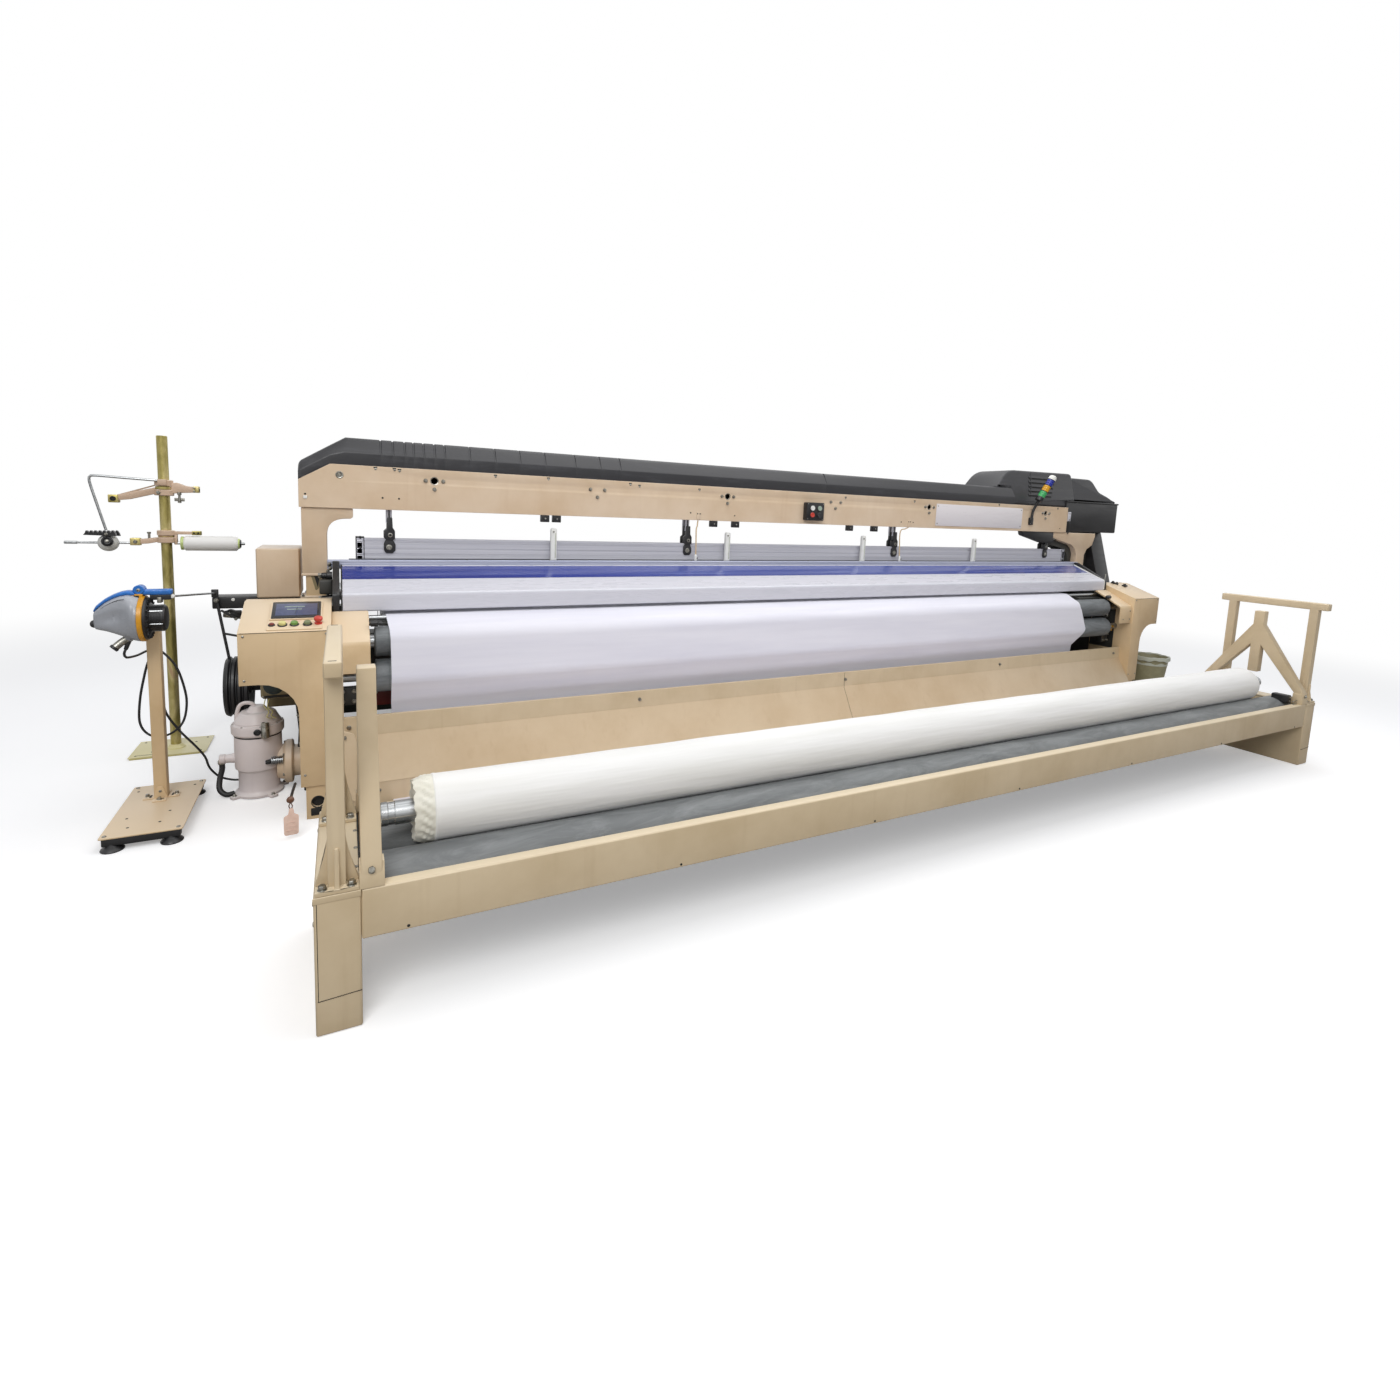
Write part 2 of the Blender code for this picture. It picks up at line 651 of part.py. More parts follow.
def beam_plates():
    ports = stations(HOLE_SHARES, BEAM_LEFT, BEAM_RIGHT)
    holes = [circle((station, BOLT_HEIGHT), PORT_HOLE) for station in ports]
    for station in (*ports, *stations(BOLT_SHARES, BEAM_LEFT, BEAM_RIGHT)):
        for turn in (0, 180, 270):
            centre = arc((station, BOLT_HEIGHT), BOLT_CIRCLE, turn, turn, 1)[0]
            holes.append(circle(centre, BOLT_HOLE, 8))
    front = plate(beam_outline(), BEAM_FRONT, BEAM_FRONT + BEAM_WALL, "Y", holes)
    piece("beam_front_plate", front, BEIGE)
    back = BEAM_FRONT + BEAM_DEPTH
    low = BEAM_HIGH - 0.16
    rear_outline = [
        (BEAM_LEFT, low), (BEAM_RIGHT, low), (BEAM_RIGHT, BEAM_HIGH),
        (BEAM_LEFT + BEAM_SLOPE, BEAM_HIGH), (BEAM_LEFT, BEAM_HIGH - BEAM_SLOPE_DROP),
    ]
    rear = plate(rear_outline, back - BEAM_WALL, back, "Y")
    webs = [block((station, BEAM_FRONT + BEAM_WALL + SEAT, BEAM_LOW),
                  (station + 0.04, back - BEAM_WALL / 2, BEAM_HIGH - BEAM_SLOPE_DROP - 0.01))
            for station in (BEAM_LEFT + 0.01, BEAM_RIGHT - 0.05)]
    piece("beam_rear_plate", fused(rear, *webs), BEIGE)


def beam_cover():
    """Moulded hood whose leaning front and flat top are ribbed near the left end."""
    base = BEAM_HIGH + SEAT
    crease = base + COVER_CREASE
    outline = [
        (BEAM_LEFT, BEAM_HIGH - BEAM_SLOPE_DROP + SEAT), (BEAM_LEFT + BEAM_SLOPE, base), (COVER_END, base),
        (COVER_END, COVER_TOP), (BEAM_LEFT + 0.216, COVER_TOP), (BEAM_LEFT, BEAM_HIGH + 0.004),
    ]
    back = BEAM_FRONT + BEAM_DEPTH
    solid = plate(outline, BEAM_FRONT, back, "Y")
    over = 0.01
    lean = [
        (BEAM_FRONT - over, crease), (BEAM_FRONT, crease), (BEAM_FRONT + COVER_LEAN, COVER_TOP),
        (BEAM_FRONT + COVER_LEAN, COVER_TOP + over), (BEAM_FRONT - over, COVER_TOP + over),
    ]
    solid = carved(solid, plate(lean, BEAM_LEFT - over, COVER_END + over, "X"))
    rear = back - 0.06
    low = COVER_TOP - RIB_DEPTH
    sunk = [
        (BEAM_FRONT - over, crease), (BEAM_FRONT, crease), (BEAM_FRONT + COVER_LEAN + RIB_DEPTH / 2, low),
        (rear, low), (rear, COVER_TOP + over), (BEAM_FRONT - over, COVER_TOP + over),
    ]
    for middle in stations(RIB_SHARES, BEAM_LEFT, COVER_END):
        solid = carved(solid, plate(sunk, middle - RIB_WIDTH / 2, middle + RIB_WIDTH / 2, "X"))
    piece("beam_cover", solid, BLACK)


def dobby_housing():
    """Moulded housing: a lipped box beside the beam and a louvred dome that overlaps the cover."""
    base = BEAM_HIGH + SEAT
    side = BEAM_RIGHT + SEAT
    lip = BEAM_HIGH + DOBBY_LIP
    rest = COVER_TOP + SEAT
    dome_left = DOBBY_LEFT - DOME_OVERLAP
    dome_right = BEAM_RIGHT + 0.135
    shoulder = DOME_PEAK - SHOULDER_STEP
    shoulder_right = dome_right + 0.02 + SHOULDER_WIDTH
    outline = [
        (DOBBY_LEFT, base), (side, base), (side, DOBBY_LOW), (DOBBY_RIGHT, DOBBY_LOW), (DOBBY_RIGHT, lip),
        (shoulder_right + 0.10, rest + 0.02), (shoulder_right, shoulder), (dome_right + 0.02, shoulder),
        (dome_right, DOME_PEAK), (dome_left + DOME_SLOPE, DOME_PEAK - 0.02), (dome_left, rest),
        (DOBBY_LEFT, rest),
    ]
    body = plate(outline, DOBBY_FRONT, DOBBY_BACK, "Y")
    over = 0.01
    rise = DOME_PEAK - lip
    lean = [
        (DOBBY_FRONT - over, lip), (DOBBY_FRONT, lip), (DOBBY_FRONT + DOME_LEAN, DOME_PEAK),
        (DOBBY_FRONT + DOME_LEAN, DOME_PEAK + over), (DOBBY_FRONT - over, DOME_PEAK + over),
    ]
    body = carved(body, plate(lean, dome_left - over, DOBBY_RIGHT + over, "X"))
    for i in range(LOUVRES):
        low = lip + 0.030 + i * LOUVRE_PITCH
        depth = DOBBY_FRONT + DOME_LEAN * (low - lip) / rise + LOUVRE_DEPTH
        body = carved(body, block((DOBBY_LEFT + 0.215, DOBBY_FRONT - over, low),
                                  (dome_right - 0.10, depth, low + LOUVRE_HEIGHT)))
    rim = block((side, DOBBY_FRONT - 0.010, lip - 0.014), (DOBBY_RIGHT, DOBBY_FRONT + 0.02, lip), 0.003)
    piece("dobby_housing", fused(body, rim), BLACK)


def chain_guard():
    outline = [
        (-0.20, DOBBY_LOW - SEAT), (-0.36, 0.875), (-0.42, 0.62), *arc((-0.22, 0.58), 0.20, 180, 300, 6),
        (0.06, 0.875), (0.06, DOBBY_LOW - SEAT),
    ]
    piece("chain_guard", plate(outline, GUARD_INNER, DOBBY_RIGHT, "X"), BLACK)


# Small control pieces

def button_station():
    face = BEAM_FRONT - SEAT
    solid = block((STATION_LEFT, face - STATION_THICK, STATION_LOW),
                  (STATION_RIGHT, face, STATION_HIGH), 0.006)
    piece("button_station", solid, BLACK)


def signal_lamp():
    """Lamp column that leans out from a bent arm on the beam's face."""
    face = BEAM_FRONT - SEAT
    base = BEAM_LOW + 0.057
    route = [(LAMP_X - 0.04, face - 0.012, base + 0.03), (LAMP_X - 0.03, face - 0.014, base + 0.13),
             (LAMP_X, face - 0.03, base + 0.19), (LAMP_X + 0.02, face - 0.05, base + 0.22)]
    arm = tube(smooth_route(route, 0.03), 0.011)
    foot = block((LAMP_X - 0.055, face - 0.018, base), (LAMP_X - 0.025, face, base + 0.06))
    axis = Vector((0.45, -0.25, 1.0)).normalized()
    low = Vector((LAMP_X + 0.015, face - 0.045, base + 0.21))
    column = tube([low, low + axis * LAMP_LENGTH], LAMP_RADIUS, 4)
    piece("signal_lamp", fused(arm, foot, column), LAMP)


# Skirt, take-up rollers, breast bar and shields

def front_skirt():
    path = [
        (SKIRT_FRONT + 0.018, SKIRT_TOP), (SKIRT_FRONT, SKIRT_TOP), (SKIRT_FRONT - 0.004, SKIRT_STRIP),
        (SKIRT_TOE, SKIRT_BOTTOM), (SKIRT_TOE + 0.03, SKIRT_BOTTOM),
    ]
    end = CABINET_INNER - SEAT
    piece("front_skirt", plate(offset_strip(path, SKIRT_WALL), -end, end, "X"), BEIGE)


def stepped_roller(name, y, z, radius, reach):
    """Roller between bearings, turned about its own axis."""
    half = ROLLER_HALF
    profile = ((0.0, -reach), (JOURNAL_R, -reach), (JOURNAL_R, -half), (radius, -half),
               (radius, half), (JOURNAL_R, half), (JOURNAL_R, reach), (0.0, reach))
    piece(name, turned(profile, "X", (0, y, z)), RUBBER, (0, y, z))


def takeup_rollers():
    reach = CABINET_INNER - RUNNING
    stepped_roller("takeup_roller_upper", TAKEUP_UPPER_Y, TAKEUP_UPPER_Z, TAKEUP_UPPER_R, reach)
    stepped_roller("takeup_roller_lower", TAKEUP_LOWER_Y, TAKEUP_LOWER_Z, TAKEUP_LOWER_R, reach)


def breast_bar():
    end = CABINET_INNER - SEAT
    piece("breast_bar", bar("X", -end, end, (BREAST_Y, BREAST_Z), BREAST_R, 24), STEEL)


def roller_shield(name, side):
    path = [(-0.672, 0.924), (-0.895, 0.812), (-0.905, 0.790), (-0.905, 0.665)]
    inner, outer = SHIELD_INNER, CABINET_INNER - SEAT
    ends = sorted((side * inner, side * outer))
    piece(name, plate(offset_strip(path, SHIELD_THICK), ends[0], ends[1], "X"), BEIGE)


# Splash cover and guide rail

def guide_rail():
    end = POST_INNER - SEAT
    rail = block((-end, RAIL_FRONT, RAIL_LOW), (end, RAIL_BACK, RAIL_HIGH))
    plates = [block((x - GUIDE_WIDTH / 2, RAIL_FRONT + 0.012, RAIL_LOW + 0.02),
                    (x + GUIDE_WIDTH / 2, RAIL_BACK - 0.002, GUIDE_TOP)) for x in GUIDE_PLATES]
    piece("guide_rail", fused(rail, *plates), ALUMINIUM)


def splash_cover():
    path = [(HINGE_Y, HINGE_Z - COVER_WALL / 2), (COVER_NOSE_Y, COVER_NOSE_Z), (COVER_NOSE_Y, COVER_LIP)]
    sheet = plate(offset_strip(path, COVER_WALL), -COVER_HALF, COVER_HALF, "X")
    barrel = bar("X", -COVER_HALF, COVER_HALF, (HINGE_Y, HINGE_Z), HINGE_R, 16)
    piece("splash_cover", fused(sheet, barrel), BLUE_SHEET, (0, HINGE_Y, HINGE_Z))


# Heald frames

def heald_frame(name, front):
    """Rails and stiles round the healds, hung from castings on rods out of the top beam."""
    back = front + HEALD_THICK
    top = block((-HEALD_HALF, front, HEALD_TOP - HEALD_RAIL), (HEALD_HALF, back, HEALD_TOP))
    low = block((-HEALD_HALF, front, HEALD_FOOT), (HEALD_HALF, back, HEALD_FOOT + 0.08))
    stiles = [block((x, front, HEALD_FOOT + 0.01), (x + STILE_WIDTH, back, HEALD_TOP - 0.01))
              for x in (-HEALD_HALF, HEALD_HALF - STILE_WIDTH)]
    castings = [block((x - HOOK_WIDTH / 2, front + 0.004, HEALD_TOP - 0.08),
                      (x + HOOK_WIDTH / 2, back - 0.004, HEALD_TOP + 0.055)) for x in HOOKS]
    rods = [block((x - HOOK_ROD / 2, front + 0.004, HEALD_TOP + 0.045),
                  (x + HOOK_ROD / 2, back - 0.004, HOOK_TOP)) for x in HOOKS]
    piece(name, fused(top, low, *stiles, *castings, *rods), ALUMINIUM)


def heald_guide(name, side):
    """Grooved block on the side frame in which both heald frames slide."""
    front = HEALD_FRONT - 0.0055
    back = HEALD_FRONT + HEALD_PITCH + HEALD_THICK + 0.010
    ends = sorted((side * (HEALD_HALF - 0.028), side * (FRAME_INNER - SEAT)))
    low, high = HEALD_FOOT + 0.10, HEALD_FOOT + 0.34
    solid = block((ends[0], front, low), (ends[1], back, high))
    grooves = []
    for start in (HEALD_FRONT, HEALD_FRONT + HEALD_PITCH):
        run = sorted((side * (HEALD_HALF - 0.05), side * (HEALD_HALF + GROOVE)))
        grooves.append(block((run[0], start - GROOVE, low - 0.06),
                             (run[1], start + HEALD_THICK + GROOVE, high + 0.06)))
    piece(name, carved(solid, *grooves), CAST)


# Cloth, warp and their rollers

def cloth_web():
    """Cloth from the breast bar round the take-up rollers, under the skirt and up to the roll."""
    upper = TAKEUP_UPPER_R + RUNNING
    lower = TAKEUP_LOWER_R + RUNNING
    fall = (SKIRT_FRONT + TAKEUP_LOWER_Y) / 2
    path = [
        (-0.40, BREAST_Z + BREAST_R + 0.007),
        *arc((BREAST_Y, BREAST_Z), BREAST_R + SEAT, 80, 118, 3),
        *arc((TAKEUP_UPPER_Y, TAKEUP_UPPER_Z), upper, 100, 178, 8),
        *arc((TAKEUP_LOWER_Y, TAKEUP_LOWER_Z), lower, 174, 205, 3),
        (fall + 0.035, 0.427), (fall + 0.042, 0.340), (fall + 0.024, 0.110), (fall - 0.046, 0.055),
        (-1.20, 0.045), (-1.70, 0.060), (WINDER_BACK - 0.020, 0.120),
        (DRUM_REAR_Y + DRUM_R + 0.004, 0.250),
        *arc((DRUM_REAR_Y, DRUM_Z), DRUM_R + RUNNING, -12, 108, 16),
    ]
    solid = plate(offset_strip(list(reversed(path)), CLOTH_THICK), CLOTH_LEFT, CLOTH_RIGHT, "X")
    for vertex in solid.data.vertices:
        if vertex.co.y < CLOTH_NARROW:
            vertex.co.x = ROLL_LEFT if vertex.co.x < 0 else ROLL_RIGHT
    piece("cloth_web", solid, CLOTH)


def warp_sheet():
    """Threads from the healds over the back rest to the rear side of the warp beam."""
    rest = REST_R + RUNNING
    wound = WARP_R + RUNNING
    apart = Vector((WARP_BEAM_Y - REST_Y, WARP_BEAM_Z - REST_Z))
    heading = degrees(atan2(apart.y, apart.x))
    leave = heading + degrees(acos((rest - wound) / apart.length))
    path = [(HEALD_FRONT + HEALD_PITCH + HEALD_THICK + 0.02, REST_Z + rest),
            *arc((REST_Y, REST_Z), rest, 90, leave, 5),
            *arc((WARP_BEAM_Y, WARP_BEAM_Z), wound, leave, leave - 12, 2)]
    half = WARP_HALF - SEAT
    piece("warp_sheet", plate(offset_strip(path, WARP_THICK), -half, half, "X"), YARN)


def back_rest():
    end = FRAME_INNER - SEAT
    piece("back_rest_roller", bar("X", -end, end, (REST_Y, REST_Z), REST_R, 32), STEEL)


def warp_beam():
    flange = WARP_HALF + FLANGE_THICK
    end = FRAME_INNER - SEAT
    shaft = BEAM_SHAFT_R
    profile = [(0.0, -end), (shaft, -end), (shaft, -flange), (FLANGE_R, -flange), (FLANGE_R, -WARP_HALF),
               (WARP_R, -WARP_HALF), (WARP_R, WARP_HALF), (FLANGE_R, WARP_HALF), (FLANGE_R, flange),
               (shaft, flange), (shaft, end), (0.0, end)]
    piece("warp_beam", turned(profile, "X", (0, WARP_BEAM_Y, WARP_BEAM_Z)), ALUMINIUM)


# Winding unit

DRUM_DROP = sqrt((ROLL_R + DRUM_R + RUNNING) ** 2 - DRUM_SPREAD ** 2)
DRUM_Z = ROLL_Z - DRUM_DROP
DRUM_FRONT_Y = ROLL_Y - DRUM_SPREAD
DRUM_REAR_Y = ROLL_Y + DRUM_SPREAD
WINDER_INNER_LEFT = WINDER_LEFT + WINDER_WALL
WINDER_INNER_RIGHT = WINDER_RIGHT - WINDER_WALL


def winder_frame():
    for name, start in (("winder_left_end", WINDER_LEFT), ("winder_right_end", WINDER_INNER_RIGHT)):
        solid = block((start, WINDER_FRONT, 0), (start + WINDER_WALL, WINDER_BACK, WINDER_TOP), 0.004)
        piece(name, solid, BEIGE)
    rear = WINDER_BACK - WINDER_BEAM_THICK
    for name, front in (("winder_front_beam", WINDER_FRONT), ("winder_rear_beam", rear)):
        solid = block((WINDER_INNER_LEFT + SEAT, front, WINDER_BEAM_LOW),
                      (WINDER_INNER_RIGHT - SEAT, front + WINDER_BEAM_THICK, WINDER_TOP), 0.004)
        piece(name, solid, BEIGE)


def roll_guide(name, start):
    """Trestle with a middle bar that keeps the cloth roll's shaft in line."""
    foot = WINDER_TOP + SEAT
    near = WINDER_FRONT + 0.004
    far = WINDER_BACK - 0.004
    middle = (near + far) / 2
    half = GUIDE_BAR / 2
    knee = foot + 0.055
    tail = ROLL_Z + SHAFT_R + 0.028
    crown = GUIDE_FORK + 0.135
    outline = [
        (near, foot), (near + GUIDE_LEG, foot), (near + GUIDE_LEG, knee), (middle - half, GUIDE_FORK),
        (middle - half, tail), (middle + half, tail), (middle + half, GUIDE_FORK), (far - GUIDE_LEG, knee),
        (far - GUIDE_LEG, foot), (far, foot), (far, knee + 0.015), (middle + half, crown),
        (middle + half, GUIDE_PEAK), (middle - half, GUIDE_PEAK), (middle - half, crown),
        (near, knee + 0.015),
    ]
    piece(name, plate(outline, start, start + GUIDE_THICK, "X"), BEIGE)


def hand_guard(name, middle):
    """Rail on two posts over a side of the winding unit."""
    half = RAIL_SIZE / 2
    foot = WINDER_TOP + SEAT
    wide = WINDER_WALL / 2 - 0.004
    rail = block((middle - half, RAIL_NEAR, RAIL_TOP - RAIL_SIZE),
                 (middle + half, RAIL_FAR, RAIL_TOP), 0.004)
    others = []
    for station in (POST_NEAR, POST_FAR):
        others.append(block((middle - half, station - half, foot + 0.006),
                            (middle + half, station + half, RAIL_TOP - 0.01)))
        others.append(block((middle - wide, station - 0.042, foot),
                            (middle + wide, station + 0.042, foot + 0.012)))
        reach = min(0.075, station - WINDER_FRONT - 0.002)
        gusset = [(station - reach, foot + 0.004), (station + 0.075, foot + 0.004),
                  (station + 0.040, foot + 0.03), (station + half - 0.004, foot + 0.13),
                  (station - half + 0.004, foot + 0.13), (station - 0.040, foot + 0.03)]
        others.append(plate(gusset, middle - 0.006, middle + 0.006, "X"))
    piece(name, fused(rail, *others), BEIGE)


def winder_rollers():
    """Two driven drums that carry and turn the cloth roll."""
    left = WINDER_INNER_LEFT + RUNNING
    right = WINDER_INNER_RIGHT - RUNNING
    for name, y in (("winder_front_roller", DRUM_FRONT_Y), ("winder_rear_roller", DRUM_REAR_Y)):
        profile = ((0.0, left), (JOURNAL_R, left), (JOURNAL_R, left + CLEAR), (DRUM_R, left + CLEAR),
                   (DRUM_R, right - CLEAR), (JOURNAL_R, right - CLEAR), (JOURNAL_R, right), (0.0, right))
        piece(name, turned(profile, "X", (0, y, DRUM_Z)), RUBBER, (0, y, DRUM_Z))


def cloth_roll():
    start = WINDER_INNER_LEFT + SEAT + GUIDE_THICK + CLEAR
    end = WINDER_INNER_RIGHT - SEAT - GUIDE_THICK - CLEAR
    shaft = bar("X", start, end, (ROLL_Y, ROLL_Z), SHAFT_R)
    piece("roll_shaft", shaft, STEEL, (0, ROLL_Y, ROLL_Z))
    inner = SHAFT_R + SEAT
    profile = ((inner, ROLL_LEFT), (ROLL_R, ROLL_LEFT), (ROLL_R, ROLL_RIGHT), (inner, ROLL_RIGHT),
               (inner, ROLL_LEFT))
    piece("cloth_roll", turned(profile, "X", (0, ROLL_Y, ROLL_Z)), CLOTH, (0, ROLL_Y, ROLL_Z))


# Drive side at the left

def drive_side():
    box_low = FRAME_TOP + SEAT * 2
    box_right = -POST_OUTER - POST_FOOT - SEAT
    box = block((-POST_OUTER - BOX_WIDTH, POST_FRONT + 0.045, box_low),
                (box_right, -0.02, box_low + BOX_HEIGHT), 0.006)
    piece("left_rear_box", box, BEIGE)
    arm = block((WHEEL_X - 0.102, -0.22, FRAME_TOP - 0.060),
                (WHEEL_X + 0.128, -0.10, box_low - SEAT), 0.004)
    root = block((WHEEL_X + 0.088, -0.20, 0.80), (-FRAME_OUTER - SEAT, -0.12, FRAME_TOP - 0.015))
    piece("belt_guard_arm", fused(arm, root), BLACK)


def drive_wheel():
    """Grooved wheel on a shaft stub that runs in the side frame."""
    half = WHEEL_HALF
    reach = -FRAME_OUTER - RUNNING - WHEEL_X
    pitch = 2 * half / (WHEEL_GROOVES + 1)
    rim = [(WHEEL_R - 0.008, -half)]
    for i in range(WHEEL_GROOVES):
        groove = -half + pitch * (i + 1)
        rim += [(WHEEL_R, groove - pitch / 2), (WHEEL_R - 0.010, groove)]
    rim += [(WHEEL_R, half - pitch / 2), (WHEEL_R - 0.008, half)]
    profile = [(0.0, -half + 0.004), (0.04, -half + 0.004), *rim, (0.03, half), (0.03, reach), (0.0, reach)]
    centre = (WHEEL_X, WHEEL_Y, WHEEL_Z)
    piece("drive_wheel", turned(profile, "X", centre, 32), BLACK, centre)


def drive_motor():
    """Upright flanged motor on the floor beside the left frame, with a lifting loop on its lid."""
    profile = [(0.0, 0.0), (0.105, 0.0), (0.105, 0.015), (0.090, 0.025), (0.088, 0.130), (0.100, 0.135),
               (0.100, 0.300), (0.112, 0.320), (0.112, 0.355), (0.078, 0.410), (0.030, 0.440), (0.0, 0.445)]
    body = turned(profile, "Z", (MOTOR_X, MOTOR_Y, 0), 32)
    spout = bar("X", MOTOR_X - 0.165, MOTOR_X, (MOTOR_Y, 0.185), 0.024, 16)
    flange = bar("X", MOTOR_X, -FRAME_OUTER - SEAT, (MOTOR_Y, 0.165), 0.065, 24)
    loop = tube([(MOTOR_X - 0.085, MOTOR_Y, 0.385), (MOTOR_X - 0.074, MOTOR_Y, 0.442),
                 (MOTOR_X - 0.050, MOTOR_Y, 0.456), (MOTOR_X - 0.008, MOTOR_Y, 0.440)], 0.009)
    piece("drive_motor", fused(body, spout, flange, loop), MOTOR_PAINT)


def pump_box():
    solid = block((MOTOR_X + 0.020, MOTOR_Y - 0.065, 0.480),
                  (-FRAME_OUTER - SEAT, MOTOR_Y + 0.110, 0.600), 0.012)
    piece("pump_box", solid, OLIVE)


# Weft feeder

def feeder_stand():
    """Square post on a folded base plate with four feet."""
    half = STAND_POST / 2
    left, right = FEEDER_X - 0.136, FEEDER_X + 0.146
    near, far = FEEDER_Y - 0.395, FEEDER_Y + 0.156
    base = block((left, near, STAND_BASE - 0.012), (right, far, STAND_BASE), 0.002)
    post = block((FEEDER_X - half, FEEDER_Y - half, STAND_BASE - 0.004),
                 (FEEDER_X + half, FEEDER_Y + half, STAND_TOP), 0.003)
    bars = [block((left + 0.015, y, 0.028), (right - 0.015, y + 0.03, STAND_BASE - 0.006))
            for y in (near + 0.010, far - 0.040)]
    foot = [(0.0, 0.0), (0.030, 0.0), (0.026, 0.012), (0.012, 0.016), (0.012, 0.04), (0.0, 0.04)]
    feet = [turned(foot, "Z", (x, y, 0), 12) for x in (left + 0.030, right - 0.030)
            for y in (near + 0.025, far - 0.025)]
    piece("feeder_stand", fused(base, post, *bars, *feet), BEIGE)


def feeder():
    """Drum feeder that is clamped to the left side of its post."""
    left, right = FEEDER_LEFT, FEEDER_BODY_END
    front, back = FEEDER_LINE - FEEDER_HALF, FEEDER_LINE + FEEDER_HALF
    low, high = FEEDER_HEIGHT - 0.045, FEEDER_HEIGHT + 0.134
    crest = arc((right - 0.020, high - 0.190), 0.190, 90, 132, 4)
    outline = [(left, low + 0.006), (left, low + 0.094), *reversed(crest), (right, high), (right, low)]
    body = plate(outline, front, back, "Y")
    wide = FEEDER_RING - 0.003
    flare = turned([(0.0, right - 0.075), (FEEDER_DRUM, right - 0.075), (wide, right - 0.018),
                    (wide, right), (0.0, right)], "X", (0, FEEDER_LINE, FEEDER_HEIGHT), 32)
    knuckle = bar("Y", FEEDER_LINE - 0.024, FEEDER_LINE + 0.024, (right - 0.002, high - 0.010), 0.022, 16)
    arm = block((right - 0.020, FEEDER_LINE - 0.018, high - 0.026),
                (FEEDER_NOSE, FEEDER_LINE + 0.018, high - 0.006), 0.003)
    clamp = block((right - 0.055, back - 0.012, FEEDER_HEIGHT - 0.038),
                  (FEEDER_X - STAND_POST / 2 - SEAT, FEEDER_Y + STAND_POST / 2, STAND_TOP - 0.010), 0.003)
    socket = [(FEEDER_X - 0.036, FEEDER_LINE, FEEDER_HEIGHT - 0.028),
              (FEEDER_X - 0.071, FEEDER_LINE, FEEDER_HEIGHT - 0.133)]
    fitting = tube(socket, 0.017, 3)
    knob = bar("X", left - 0.018, left + 0.01, (FEEDER_LINE, FEEDER_HEIGHT - 0.018), 0.017, 16)
    piece("feeder_body", fused(body, flare, knuckle, arm, clamp, fitting, knob), FEEDER_GREY)
    end = right + SEAT
    ring, drum = FEEDER_RING, FEEDER_DRUM
    profile = [(0.0, end), (ring, end), (ring, end + 0.030), (drum, end + 0.034), (drum, FEEDER_NOSE),
               (0.0, FEEDER_NOSE)]
    piece("feeder_drum", turned(profile, "X", (0, FEEDER_LINE, FEEDER_HEIGHT), 32), BLACK)


# Free cables, chosen point by point along their lie

FEEDER_CABLE = (
    (-3.8351, -0.680, 0.7847), (-3.8410, -0.680, 0.767), (-3.838, -0.662, 0.746), (-3.820, -0.590, 0.738),
    (-3.806, -0.530, 0.740), (-3.798, -0.503, 0.742), (-3.778, -0.487, 0.744), (-3.752, -0.483, 0.732),
    (-3.705, -0.487, 0.670), (-3.678, -0.490, 0.590), (-3.664, -0.490, 0.485), (-3.684, -0.490, 0.385),
    (-3.742, -0.490, 0.334), (-3.806, -0.490, 0.340), (-3.842, -0.490, 0.400), (-3.838, -0.490, 0.510),
    (-3.818, -0.490, 0.620), (-3.802, -0.492, 0.682), (-3.786, -0.500, 0.712), (-3.769, -0.508, 0.718),
    (-3.757, -0.509, 0.694), (-3.753, -0.508, 0.620), (-3.752, -0.505, 0.520), (-3.742, -0.494, 0.438),
    (-3.696, -0.488, 0.348), (-3.640, -0.478, 0.264), (-3.606, -0.465, 0.200), (-3.592, -0.452, 0.140),
    (-3.556, -0.440, 0.086), (-3.5076, -0.4367, 0.0615), (-3.4697, -0.4501, 0.0605),
)
FEEDER_CABLE_R = 0.005
MOTOR_HOSE = (
    (-3.538, -0.480, 0.1606), (-3.538, -0.480, 0.134), (-3.548, -0.488, 0.086), (-3.547, -0.504, 0.042),
    (-3.5208, -0.5142, 0.0165), (-3.4878, -0.5059, 0.0165),
)
MOTOR_HOSE_R = 0.0125


def cables():
    piece("feeder_cable", tube(smooth_route(FEEDER_CABLE, 0.034), FEEDER_CABLE_R), BLACK)
    piece("motor_hose", tube(smooth_route(MOTOR_HOSE, 0.030), MOTOR_HOSE_R, 3), BLACK)


# Yarn stand

def yarn_stand():
    base = block((POLE_X - 0.195, POLE_Y - 0.131, 0.0), (POLE_X + 0.160, POLE_Y + 0.159, 0.012), 0.002)
    pole = bar("Z", 0.006, POLE_TOP, (POLE_X, POLE_Y), POLE_R, 24)
    collar = bar("Z", 0.008, 0.030, (POLE_X, POLE_Y), POLE_R + 0.020, 24)
    piece("yarn_stand", fused(base, pole, collar), ZINC)


def pole_clamp(low, high):
    """Split sleeve that grips the pole between two heights."""
    inner = POLE_R + SEAT
    sleeve = [(inner, low), (inner + 0.02, low), (inner + 0.02, high), (inner, high), (inner, low)]
    return turned(sleeve, "Z", (POLE_X, POLE_Y, 0), 24)


